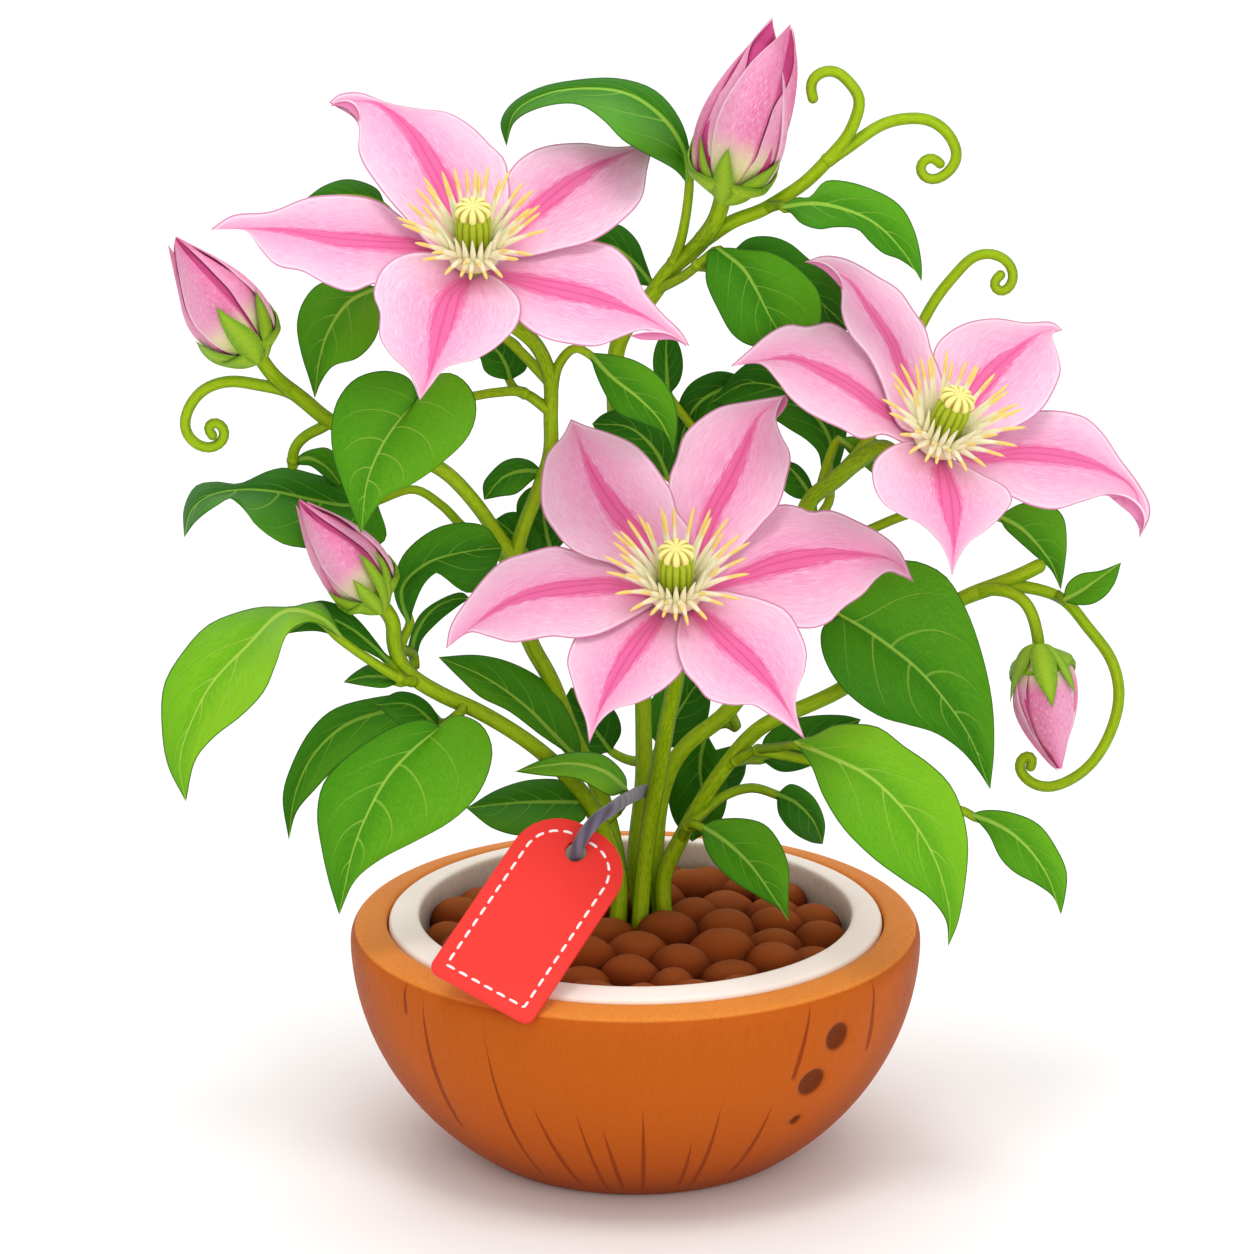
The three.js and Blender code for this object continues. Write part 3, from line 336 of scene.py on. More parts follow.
def softened(profile, count, passes):
    """A profile at even steps, its corners rounded: each pass moves a place to its neighbours'."""
    length = np.concatenate([[0], np.cumsum(np.linalg.norm(np.diff(profile, axis=0), axis=1))])
    even = np.linspace(0, length[-1], count)
    profile = np.stack([np.interp(even, length, column) for column in profile.T], 1)
    for _ in range(passes):
        profile[1:-1] = (profile[:-2] + 2 * profile[1:-1] + profile[2:]) / 4
    return profile


def turned(profile, columns):
    """The points of a profile of radii and heights, turned once round the upright axis."""
    angle = np.linspace(0, 2 * np.pi, columns, endpoint=False)
    radius, height = profile[:, :1], profile[:, 1:]
    across = [radius * np.cos(angle), radius * np.sin(angle), height + 0 * angle]
    return np.stack(across, -1)


def on_bowl(place):
    """The point of the bowl's outside that is seen at this (right, up), where the ray enters it."""
    to_ball = np.array([1, 1, BOWL_RADIUS / BOWL_DEPTH])  # stretched upright, the bowl is a ball
    ray = unit(sight(place) * to_ball)
    from_middle = (EYE - [0, 0, WIDEST_HEIGHT]) * to_ball
    nearest = -(from_middle @ ray)
    inside = BOWL_RADIUS**2 - from_middle @ from_middle + nearest**2
    return EYE + ray * (nearest - math.sqrt(inside)) / to_ball


def streak_marks():
    """A group for one dark streak up the shell, which tapers to its upper end.

    Its middle goes from a turn at its foot to a turn at its top. It puts out 1 on the streak.
    """
    group = bpy.data.node_groups.new("fibre_streak", "ShaderNodeTree")
    for name in ("Turn", "Height", "Top turn", "Top", "Foot turn", "Foot", "Width"):
        group.interface.new_socket(name, in_out="INPUT", socket_type="NodeSocketFloat")
    group.interface.new_socket("Streak", in_out="OUTPUT", socket_type="NodeSocketFloat")
    given = group.nodes.new("NodeGroupInput").outputs
    share = add(group, "MapRange", given["Height"], given["Foot"], given["Top"])
    middle = add(group, "MapRange", share, 0.0, 1.0, given["Foot turn"], given["Top turn"])
    off = work_out(group, "ABSOLUTE", work_out(group, "SUBTRACT", given["Turn"], middle))
    wide = work_out(group, "MULTIPLY", given["Width"], from_to(group, share, 0.2, 1, 1, 0.15))
    mark = from_to(group, off, work_out(group, "MULTIPLY", wide, 0.5), wide, 1, 0)
    mark = work_out(group, "MULTIPLY", mark, from_to(group, share, 1.0, 0.7))
    under_foot = work_out(group, "SUBTRACT", given["Foot"], given["Height"])
    mark = work_out(group, "MULTIPLY", mark, from_to(group, under_foot, 0.002, 0))
    put_out = group.nodes.new("NodeGroupOutput")
    group.links.new(mark.outputs[0], put_out.inputs["Streak"])
    return group


def grouped(tree, group, *inputs):
    """A node group placed in a material, with its inputs in order."""
    made = tree.nodes.new("ShaderNodeGroup")
    made.node_tree = group
    for socket, value in zip(made.inputs, inputs):
        if isinstance(value, bpy.types.Node):
            value = next(output for output in value.outputs if output.enabled)
        if isinstance(value, bpy.types.NodeSocket):
            tree.links.new(value, socket)
        else:
            socket.default_value = value
    return made


foot_radius = BOWL_RADIUS * math.sqrt(1 - (WIDEST_HEIGHT / BOWL_DEPTH) ** 2)
rim_inner_height = RIM_HEIGHT + (RIM_RADIUS - SHELL_INNER_RADIUS) * RIM_SLOPE
shell_profile = softened(
    np.vstack([
        [0.0005, 0],
        arc(BOWL_RADIUS, BOWL_DEPTH, foot_radius, 60),
        [RIM_RADIUS, RIM_HEIGHT],
        [SHELL_INNER_RADIUS, rim_inner_height],
        arc(SHELL_INNER_RADIUS, SHELL_INNER_DEPTH, 0.0005, 40)[::-1],
    ]),
    SHELL_ROWS, 4,
)
shell_grid = turned(shell_profile, SHELL_COLUMNS)
eye_points = [on_bowl(np.array(place)) for place in EYES]
for eye, size in zip(eye_points, EYES.values()):
    off = np.linalg.norm(shell_grid - eye, axis=-1, keepdims=True) / size
    shell_grid -= unit(eye - [0, 0, WIDEST_HEIGHT]) * 0.0011 * np.exp(-(off**4))

def from_axis(tree, part):
    """How far a place is from the bowl's upright axis. `part` is its separate coordinates."""
    level = add(tree, "CombineXYZ", part.outputs["X"], part.outputs["Y"])
    return add(tree, "VectorMath", level, operation="LENGTH").outputs["Value"]


fibre_streak = streak_marks()
shell_skin, tree, shader = surface("polished_coconut_shell", 0.5, IOR=1.2)
place = add(tree, "TexCoord").outputs["Object"]
part = add(tree, "SeparateXYZ", place)
height = part.outputs["Z"]
# Dark streaks run up the bowl. Those in front are measured by their upper and lower ends
wander = add(tree, "TexNoise", place, None, 60.0)
to_front = work_out(tree, "MULTIPLY", part.outputs["Y"], -1.0)
turn = work_out(tree, "ARCTAN2", part.outputs["X"], to_front)
turn = work_out(tree, "MULTIPLY_ADD", wander, 0.03, work_out(tree, "SUBTRACT", turn, 0.015))
ends = [((-53, -15), (-43.5, -50)), ((-38, -23.5), (-23, -62.5)), ((-26.5, -43.5), (-13.5, -65)),
        ((-15.5, -45), (-7, -66)), ((-8.5, -50), (-3, -66)), ((2, -44.5), (2, -66)),
        ((14.5, -53.5), (11, -65)), ((22, -43.5), (14, -65)), ((35, -43.5), (24, -62)),
        ((44, -18), (39.5, -38.5)), ((-57.5, -14), (-57, -22)), ((59, -12), (57.5, -31))]
ends = [tuple(on_bowl(np.array(end)) for end in pair) for pair in ends]
ends = [(math.atan2(up[0], -up[1]), up[2], math.atan2(low[0], -low[1]), low[2]) for up, low in ends]
chance = np.random.default_rng(5)
at_back = np.concatenate([chance.uniform(1.3, 3.1, 7), chance.uniform(-3.1, -1.3, 7)])
ends += [(a, chance.uniform(0.018, 0.05), a, 0.002) for a in at_back]
streaks = None
for ending in ends:
    streak = grouped(tree, fibre_streak, turn, height, *ending, chance.uniform(0.011, 0.018))
    streaks = streak if streaks is None else work_out(tree, "MAXIMUM", streaks, streak)
fibres = add(tree, "Mapping", place, None, None, (260.0, 260.0, 22.0))
fibres = add(tree, "TexNoise", fibres, None, 1.0, 4.0)
clouds = add(tree, "TexNoise", place, None, 22.0, 3.0)
colour = mixed(tree, from_to(tree, clouds, 0.3, 0.7), paint("B5530F"), paint("C05F18"))
colour = mixed(tree, from_to(tree, fibres, 0.45, 0.75, 0, 0.22), colour, paint("A9490F"))
# Painted shade: the bowl darkens towards its foot
colour = mixed(tree, from_to(tree, height, 0.0, 0.04, 0.6, 0), colour, paint("9A410D"))
# Painted shade: darker where the shell turns away from the viewer, towards its outline
edge_on_shade = from_to(tree, add(tree, "LayerWeight", 0.5).outputs["Facing"], 0.55, 0.85, 0, 0.6)
colour = mixed(tree, edge_on_shade, colour, paint("93400F"))
colour = mixed(tree, work_out(tree, "MULTIPLY", streaks, 0.9), colour, paint("8A350A"))
for eye, size in zip(eye_points, EYES.values()):
    off = add(tree, "VectorMath", place, tuple(eye), operation="DISTANCE").outputs["Value"]
    ragged = work_out(tree, "SUBTRACT", add(tree, "TexNoise", place, None, 500.0), 0.5)
    ragged = work_out(tree, "MULTIPLY_ADD", ragged, 0.0016, off)
    inside = from_to(tree, ragged, size * 0.95, size * 1.25, 1, 0)
    ring = from_to(tree, ragged, size * 1.05, size * 1.6, 0.5, 0)
    colour = mixed(tree, ring, colour, paint("A94F1A"))
    colour = mixed(tree, inside, colour, paint("6B2D0A"))
radius = from_axis(tree, part)
rim_height = from_to(tree, height, 0.0567, 0.0573)
on_rim = work_out(tree, "MULTIPLY", rim_height, from_to(tree, radius, 0.0712, 0.0695))
rim_wood = mixed(tree, from_to(tree, fibres, 0.35, 0.7), paint("E48C3C"), paint("DC802D"))
colour = mixed(tree, on_rim, colour, rim_wood)
tree.links.new(colour.outputs[2], shader.inputs["Base Color"])
tree.links.new(from_to(tree, fibres, 0.3, 0.8, 0.45, 0.6).outputs[0], shader.inputs["Roughness"])
relief(tree, shader, work_out(tree, "SUBTRACT", fibres, streaks), 0.0002, 0.5)
rows, turns = np.linspace(0, 1, SHELL_ROWS), np.linspace(0, 1, SHELL_COLUMNS + 1)
piece("coconut_bowl", [skin(shell_grid, rows, turns)], [shell_skin], "shell", "coconut_shell")

# The coconut flesh
# The nut's white flesh, left in the shell as a lining 8 mm thick. Its sawn edge is smooth and
# pale, and its inner wall is rougher, with painted shade that greys it and darkens it lower down.
FLESH_GAP = 0.0003
FLESH_WALL = 0.0078
FLESH_COLUMNS = 170
FLESH_ROWS = 230

flesh_radius = SHELL_INNER_RADIUS - FLESH_GAP
flesh_depth = SHELL_INNER_DEPTH - FLESH_GAP
flesh_profile = softened(
    np.vstack([
        arc(flesh_radius, flesh_depth, 0.0005, 40),
        [flesh_radius, rim_inner_height],
        [flesh_radius - FLESH_WALL, rim_inner_height + FLESH_WALL * RIM_SLOPE],
        arc(flesh_radius - FLESH_WALL, flesh_depth - FLESH_WALL, 0.0005, 40)[::-1],
    ]),
    FLESH_ROWS, 4,
)
flesh, tree, shader = surface("coconut_flesh_cut", 0.5, Subsurface_Weight=0.15)
shader.inputs["Subsurface Scale"].default_value = 0.003
place = add(tree, "TexCoord").outputs["Object"]
part = add(tree, "SeparateXYZ", place)
radius = from_axis(tree, part)
clouds = add(tree, "TexNoise", place, None, 60.0, 3.0)
fibres = add(tree, "Mapping", place, None, None, (300.0, 300.0, 60.0))
fibres = add(tree, "TexNoise", fibres, None, 1.0, 4.0)
colour = mixed(tree, from_to(tree, clouds, 0.3, 0.7), paint("FFF3EA"), paint("FDECE0"))
# Painted shade on the inner wall: greyer than the sawn edge, and darker lower down
wall = mixed(tree, from_to(tree, fibres, 0.3, 0.7), paint("EBDDD2"), paint("DFD0C5"))
wall = mixed(tree, from_to(tree, part.outputs["Z"], 0.0595, 0.0515, 0, 0.5), wall, paint("B8A598"))
colour = mixed(tree, from_to(tree, radius, 0.0541, 0.0534), colour, wall)
colour = mixed(tree, from_to(tree, radius, 0.0602, 0.0612, 0, 0.5), colour, paint("E9C9A8"))
tree.links.new(colour.outputs[2], shader.inputs["Base Color"])
relief(tree, shader, fibres, 0.0002, 0.4)
flesh_grid = turned(flesh_profile, FLESH_COLUMNS)
rows, turns = np.linspace(0, 1, FLESH_ROWS), np.linspace(0, 1, FLESH_COLUMNS + 1)
piece("coconut_lining", [skin(flesh_grid, rows, turns)], [flesh], "flesh", "coconut_flesh")

# The pebbles
# Round brown clay pebbles, 12 to 18 mm across, poured in up to just under the flesh's edge and
# heaped a little in the middle, where the canes stand between them.
BED_EDGE_HEIGHT = 0.053
BED_MOUND = 0.003
BED_RADIUS = flesh_radius - FLESH_WALL - FLESH_GAP
CROWN = np.array([0.001, 0.011])
CROWN_RADIUS = 0.0075
TOP_PEBBLES = 51
UNDER_PEBBLES = 70
UNDER_RADIUS = 0.0064
BED_ROWS = 40
BED_COLUMNS = 60

chance = np.random.default_rng(7)
spin = np.arange(TOP_PEBBLES) * math.pi * (3 - math.sqrt(5))
spread = (BED_RADIUS - 0.004) * np.sqrt((np.arange(TOP_PEBBLES) + 0.5) / TOP_PEBBLES)
pebble_radii = 0.0085 - 0.0017 * (spread / BED_RADIUS) ** 2 + chance.uniform(-0.0011, 0.0008, TOP_PEBBLES)
spots = spread[:, None] * np.stack([np.cos(spin), np.sin(spin)], 1)
# Pebbles that lie too close push each other apart, away from the canes and in from the wall
for _ in range(160):
    gaps = spots[:, None] - spots[None]
    distance = np.linalg.norm(gaps, axis=-1) + np.eye(TOP_PEBBLES)
    overlap = np.maximum(0.86 * (pebble_radii[:, None] + pebble_radii) - distance, 0)
    overlap[np.diag_indices(TOP_PEBBLES)] = 0
    spots += (gaps / distance[..., None] * overlap[..., None]).sum(1) * 0.35
    off = np.linalg.norm(spots - CROWN, axis=1)
    clear = np.maximum(CROWN_RADIUS + 0.7 * pebble_radii - off, 0)
    spots += (spots - CROWN) / off[:, None] * clear[:, None]
    out = np.linalg.norm(spots, axis=1)
    spots *= np.minimum(1, (BED_RADIUS - 0.93 * pebble_radii) / out)[:, None]

mound = BED_EDGE_HEIGHT + BED_MOUND * (1 - (np.linalg.norm(spots, axis=1) / BED_RADIUS) ** 2)
tops = mound + 0.0034 + chance.uniform(-0.0015, 0.0015, TOP_PEBBLES)
balls = [(*spot, top - radius * 0.94, radius) for spot, top, radius in zip(spots, tops, pebble_radii)]
spin = np.arange(UNDER_PEBBLES) * math.pi * (3 - math.sqrt(5)) + 1
spread = (BED_RADIUS - 0.006) * np.sqrt((np.arange(UNDER_PEBBLES) + 0.5) / UNDER_PEBBLES)
under_height = BED_EDGE_HEIGHT - 0.0085 + BED_MOUND * (1 - (spread / BED_RADIUS) ** 2)
balls += [
    (r * math.cos(a), r * math.sin(a), h, UNDER_RADIUS)
    for r, a, h in zip(spread, spin, under_height)
]


def pebble(x, y, z, radius):
    """A ball with a low broad unevenness, a little flatter than it is wide.

    A place on it swells by three waves, each over a direction of its own.
    """
    polar = np.linspace(0, np.pi, 15)[1:-1, None]
    turns = np.linspace(0, 1, 23)
    turn = 2 * np.pi * turns[None, :-1]
    upright = -np.cos(polar) + 0 * turn
    out = np.stack([np.sin(polar) * np.cos(turn), np.sin(polar) * np.sin(turn), upright], -1)
    waves = unit(chance.normal(size=(3, 3)))
    swell = 1 + 0.035 * np.sin(3.1 * (out @ waves.T) + chance.uniform(0, 6, 3)).sum(-1)
    grid = out * (swell * radius)[..., None] * [1, 1, 0.94] + [x, y, z]
    return skin(grid, polar[:, 0], turns, tone=chance.uniform(0, 1))


bed_body = softened(
    np.vstack([
        arc(BED_RADIUS, flesh_depth - FLESH_WALL - FLESH_GAP, 0.0005, 20)[:-1],
        [BED_RADIUS - 0.0005, BED_EDGE_HEIGHT - 0.006],
        [0.0005, BED_EDGE_HEIGHT - 0.004],
    ]),
    BED_ROWS, 1,
)
clay, tree, shader = surface("fired_clay", 0.75, IOR=1.2)
place = add(tree, "TexCoord").outputs["Object"]
tone = add(tree, "Attribute", attribute_name="tone").outputs["Fac"]
blotches = add(tree, "TexNoise", place, None, 190.0, 4.0)
grit = add(tree, "TexNoise", place, None, 1500.0, 2.0)
up = add(tree, "SeparateXYZ", add(tree, "NewGeometry").outputs["Normal"]).outputs["Z"]
colour = mixed(tree, tone, paint("7A3510"), paint("964519"))
colour = mixed(tree, from_to(tree, blotches, 0.4, 0.75, 0, 0.4), colour, paint("A55421"))
# Painted light and shade: a pebble is lighter where it faces up, dark on its sides and underneath
colour = mixed(tree, from_to(tree, up, 0.55, 1.0, 0, 0.5), colour, paint("B8652F"))
colour = mixed(tree, from_to(tree, up, 0.72, 0.05, 0, 0.85), colour, paint("4A1806"))
colour = mixed(tree, from_to(tree, grit, 0.5, 0.75, 0, 0.3), colour, paint("5A2711"))
tree.links.new(colour.outputs[2], shader.inputs["Base Color"])
relief(tree, shader, grit, 0.0003, 0.5)
rows, turns = np.linspace(0, 1, BED_ROWS), np.linspace(0, 1, BED_COLUMNS + 1)
bed_skin = skin(turned(bed_body, BED_COLUMNS), rows, turns)
piece("clay_pebbles", [bed_skin] + [pebble(*ball) for ball in balls], [clay], "pebbles", "pebble_bed")

# The canes
# Six green canes, each grown in one piece with its side shoots and its tendrils. They are about
# 4 mm thick, finely ribbed, and a little thicker where they fork.
CANE_RADIUS = 0.0021
SHOOT_RADIUS = 0.0018
STALK_RADIUS = 0.0013
TENDRIL_RADIUS = 0.0015
CANE_FOOT = 0.0525

flowers = {
    "left_flower": (seen((-40, 163, -22)), unit(np.array([0, -0.5, 0.866]))),
    "front_flower": (seen((10, 79, -36)), unit(np.array([0, -0.5, 0.866]))),
    "right_flower": (seen((74, 117, -18)), unit(np.array([0.3, -0.45, 0.84]))),
}
buds = {
    "top_bud": (seen((21.5, 178.5, 4.5)), seen((34, 224, -2)), 0.0225),
    "left_bud": (seen((-92.5, 139, -8.5)), seen((-114, 170, -14)), 0.0185),
    "low_bud": (seen((-62.3, 77.5, -14.3)), seen((-83, 105, -15)), 0.0175),
    "hanging_bud": (seen((100, 69, -2.2)), seen((105, 37, -6)), 0.0165),
}


def into_flower(name):
    """The last two places of a stem, straight up to the underside of a flower."""
    centre, axis = flowers[name]
    return [centre - axis * 0.011, centre - axis * 0.003]


def into_bud(name):
    """The last two places of a stem, straight up to the foot of a bud."""
    base, tip, _ = buds[name]
    return [base - unit(tip - base) * 0.004, base]


def nearest(line, place):
    """The place of a line that is nearest to a point."""
    return line[np.argmin(np.linalg.norm(line - place, axis=1))]


lines, thickness = {}, {}


def bough(name, places, radius, end=(), foot=None, side_of=None, taper=1.0):
    """Keeps a stem's middle line and its thickness.

    It starts at a foot among the pebbles or at the nearest place of the stem that it grows from,
    where it is thicker, and thins evenly to `taper` of its radius.
    """
    route = [*seen(places), *end]
    if foot:
        route = [np.array([*foot, CANE_FOOT]), *route]
    if side_of:
        route = [nearest(lines[side_of], route[0]), *route]
    rough = float(np.linalg.norm(np.diff(route, axis=0), axis=1).sum())
    line = smooth_line(route, round(rough / 0.0013))
    for _ in range(5):
        line[1:-1] = (line[:-2] + 2 * line[1:-1] + line[2:]) / 4
    lines[name] = line
    along = np.linspace(0, 1, len(line))
    thickness[name] = radius * (1 - (1 - taper) * along)
    thickness[name] *= 1 + 0.015 * np.sin(along * rough * 150 + len(lines))
    if side_of:
        thickness[name] *= 1 + 0.25 * np.exp(-(along * rough / 0.004))
        joint = np.linalg.norm(lines[side_of] - lines[name][0], axis=1)
        thickness[side_of] *= 1 + 0.06 * np.exp(-((joint / 0.005) ** 2))


bough("left", [(-4, 11, 8), (-10, 27, 4), (-17, 36, 0), (-26, 44, -4), (-39, 52, -8),
               (-48, 56, -10), (-57, 62, -12), (-60, 69, -13)],
      CANE_RADIUS, into_bud("low_bud"), foot=(-0.0045, 0.008), taper=0.9)
bough("middle", [(-4, 12, 14), (-8, 30, 17), (-15, 45, 17), (-21, 60, 14), (-26, 69, 11),
                 (-29, 80, 8), (-30, 90, 6)],
      CANE_RADIUS, foot=(-0.004, 0.014))
bough("middleLeft", [(-35, 97, 5), (-40, 104, 4), (-48, 112, 3), (-62, 118, 2),
                     (-76, 124, 0), (-82, 129, -2), (-86, 132, -4)],
      SHOOT_RADIUS, into_bud("left_bud"), side_of="middle")
bough("middleRight", [(-28, 97, 6), (-24, 107, 5), (-21, 116, 4), (-21, 125, 3),
                      (-21, 134, 1), (-24, 142, -4), (-28, 146, -9)],
      SHOOT_RADIUS, into_flower("left_flower"), side_of="middle")
bough("hook", [(-76, 123, 0), (-81, 121, 2), (-85, 117, 4), (-85, 113, 5)],
      STALK_RADIUS, side_of="middleLeft")
bough("leftTendril", [(-83, 130, -2), (-88, 132, -4), (-94, 133, -5), (-100, 134, -6),
                      (-107, 132, -6), (-111, 127, -6), (-112, 122, -6), (-109, 118, -6),
                      (-105, 117, -6), (-102, 119, -6), (-101.5, 122, -6), (-103.5, 124, -6),
                      (-106, 123.8, -6), (-106.6, 121.4, -6), (-104.9, 120.4, -6)],
      TENDRIL_RADIUS, side_of="middleLeft", taper=0.8)
bough("front", [(2, 11, 6), (4, 27, 3), (6, 38, -1), (8, 50, -9), (10, 60, -18)],
      CANE_RADIUS, into_flower("front_flower"), foot=(0.001, 0.0055))
bough("top", [(0, 15, 18), (2, 35, 21), (2, 53, 23), (1, 80, 24), (-3, 109, 24), (-5, 129, 22),
              (-4, 144, 20), (4, 155, 17), (9, 162, 15), (15, 167, 12)],
      CANE_RADIUS, into_bud("top_bud"), foot=(0.0015, 0.0165))
bough("topShoot", [(17, 169, 10), (20, 171, 9), (25, 174, 7), (31, 176, 6), (36, 179, 5),
                   (42, 183, 5), (48, 189, 5), (53, 195, 5), (55, 200, 5), (56, 204, 5),
                   (53, 208, 5), (50, 211, 5), (47, 211, 5), (44, 209.5, 5), (43, 206.5, 5),
                   (44, 204, 5)],
      SHOOT_RADIUS, side_of="top", taper=0.7)
bough("topTendril", [(48, 189, 5), (53, 192, 6), (57, 195, 7), (62, 198, 8), (67, 199, 8),
                     (72, 199, 8), (76, 197, 8), (79, 193, 8), (80, 189, 8), (78, 186, 8),
                     (74.5, 183.5, 8), (71.5, 184, 8), (70, 187, 8), (71.5, 189, 8),
                     (74, 190, 8), (75.5, 187.8, 8)],
      TENDRIL_RADIUS, side_of="topShoot", taper=0.8)
bough("third", [(5, 15, 15), (7, 33, 15), (12, 43, 14), (23, 52, 15), (32, 67, 16),
                (38, 85, 16), (43, 104, 12), (49, 109, 7), (55, 114, 1), (62, 117.5, -6)],
      CANE_RADIUS, into_flower("right_flower"), foot=(0.0065, 0.014))
bough("rightTendril", [(50, 110, 6), (56, 117, 14), (62, 127, 20), (67, 139, 22), (71, 148, 22),
                       (75, 155, 22), (80, 161, 22), (84, 165, 22), (89, 165.5, 22),
                       (93, 163, 22), (94, 159, 22), (91, 155.3, 22), (88.6, 156.9, 22),
                       (88.5, 159.2, 22), (90.5, 160.2, 22)],
      TENDRIL_RADIUS, side_of="third", taper=0.8)
bough("right", [(7, 11, 8.5), (11, 20, 7), (16, 29, 5), (22, 38, 2), (31, 48, 0), (44, 54, 0),
                (52, 58, 1), (66, 70, 4), (81, 80, 6), (89, 83, 6), (96, 86, 6), (100, 88, 6)],
      CANE_RADIUS, foot=(0.0075, 0.0085), taper=0.85)
bough("rightCurl", [(89, 83, 6), (96, 83, 6), (106, 80, 6), (112, 73, 6), (118, 65, 6),
                    (120, 56, 6), (117, 45, 6), (111, 37, 6), (102, 33, 6), (97, 35, 6),
                    (94.8, 38, 6), (96, 41.2, 6), (98.4, 41.5, 6), (99.2, 39.6, 6), (98, 38.3, 6)],
      TENDRIL_RADIUS, side_of="right", taper=0.85)
bough("budStalk", [(85, 82, 6), (92, 82, 2), (97, 79, -1)],
      TENDRIL_RADIUS, into_bud("hanging_bud"), side_of="right")


def grain_group():
    """A group for lengthwise grain on a stem.

    It puts out noise on a rod that is stretched along it, from the rod's centimetres along and
    its turns around. The noise has no seam, because it is read on a ring.
    """
    group = bpy.data.node_groups.new("stem_grain", "ShaderNodeTree")
    for name in ("Along", "Turns", "Fineness", "Length"):
        group.interface.new_socket(name, in_out="INPUT", socket_type="NodeSocketFloat")
    group.interface.new_socket("Grain", in_out="OUTPUT", socket_type="NodeSocketFloat")
    given = group.nodes.new("NodeGroupInput").outputs
    angle = work_out(group, "MULTIPLY", given["Turns"], 2 * math.pi)
    ring_x = work_out(group, "MULTIPLY", work_out(group, "COSINE", angle), given["Fineness"])
    ring_y = work_out(group, "MULTIPLY", work_out(group, "SINE", angle), given["Fineness"])
    along = work_out(group, "DIVIDE", given["Along"], given["Length"])
    grain = add(group, "TexNoise", add(group, "CombineXYZ", ring_x, ring_y, along), None, 1.0, 3.0)
    put_out = group.nodes.new("NodeGroupOutput")
    group.links.new(grain.outputs[0], put_out.inputs["Grain"])
    return group


stem_grain = grain_group()
bark, tree, shader = surface("green_bark", 0.46, IOR=1.25)
rod_place = add(tree, "SeparateXYZ", add(tree, "UVMap", uv_map="UVMap"))
fine = grouped(tree, stem_grain, rod_place.outputs["X"], rod_place.outputs["Y"], 2.6, 1.6)
broad = grouped(tree, stem_grain, rod_place.outputs["X"], rod_place.outputs["Y"], 0.9, 2.5)
patches = add(tree, "TexNoise", add(tree, "TexCoord").outputs["Object"], None, 35.0)
colour = mixed(tree, from_to(tree, broad, 0.35, 0.65), paint("7DA006"), paint("98B90E"))
colour = mixed(tree, from_to(tree, fine, 0.55, 0.75, 0, 0.6), colour, paint("AEC62A"))
colour = mixed(tree, from_to(tree, fine, 0.46, 0.3, 0, 0.7), colour, paint("567A05"))
colour = mixed(tree, from_to(tree, patches, 0.5, 0.7, 0, 0.15), colour, paint("5E8410"))
# Painted shade and highlight: darker towards a stem's outline, lighter along its middle that faces the
# viewer
facing = add(tree, "LayerWeight", 0.5).outputs["Facing"]
colour = mixed(tree, from_to(tree, facing, 0.38, 0.85, 0, 0.85), colour, paint("4A6C04"))
colour = mixed(tree, from_to(tree, facing, 0.25, 0.03, 0, 0.45), colour, paint("B2CE20"))
tree.links.new(colour.outputs[2], shader.inputs["Base Color"])
relief(tree, shader, fine, 0.0002, 0.5)

cane_parts = {
    "cane_left": ["left"],
    "cane_middle": ["middle", "middleLeft", "middleRight", "hook", "leftTendril"],
    "cane_front": ["front"],
    "cane_top": ["top", "topShoot", "topTendril"],
    "cane_third": ["third", "rightTendril"],
    "cane_right": ["right", "rightCurl", "budStalk"],
}
knobs = {"cane_middle": "left_flower", "cane_front": "front_flower", "cane_third": "right_flower"}
for name, parts in cane_parts.items():
    rods = [rod(lines[part], thickness[part], 20, 5, 0.03) for part in parts]
    if name in knobs:
        # The flower's receptacle: the stem widens into a knob that carries petals and stamens
        centre, axis = flowers[knobs[name]]
        rise = np.linspace(-0.008, 0.0012, 16)
        flare = CANE_RADIUS + 0.0014 * np.clip((rise + 0.007) / 0.006, 0, 1) ** 2
        rods.append(rod(centre + axis * rise[:, None], flare, 20))
    piece(name.replace("cane", "stem"), rods, [bark], "stem", name)

# The leaves
# Nineteen leaves, each of one to five thin green blades on one stalk. A blade is folded up along
# its midrib, arched between the veins, and the stalk runs on under it.
LEAF_THICKNESS = 0.0008
LEAF_ROWS = 46
LEAF_COLUMNS = 44


def blade_net(rows, columns):
    """Places on a thin blade: shares of its length, then places across it and on its two sides.

    The rows lie closer near both ends. The columns go round the blade's edges as round a circle:
    from -1 to 1 across on the upper side (side above 0), and back on the lower one.
    """
    along = (1 - np.cos(np.pi * (np.arange(rows) + 0.5) / rows)) / 2
    turn = 2 * np.pi * np.arange(columns + 1) / columns
    return along, -np.cos(turn), np.sin(turn)


def lifted(places, foot, face, height):
    """The points seen at places (right, up) that lie at a height above a plane.

    The plane goes through `foot`, square to `face`. The ray to each place meets it there.
    """
    rays = sight(places)
    reach = ((foot - EYE) * face).sum(-1) + height
    return EYE + rays * (reach / (rays * face).sum(-1))[..., None]


def through(shares, first, middle, last):
    """Values on the parabola that has these three at the start, at half way and at the end."""
    s = shares
    return first * (1 - s) * (1 - 2 * s) + middle * 4 * s * (1 - s) + last * s * (2 * s - 1)


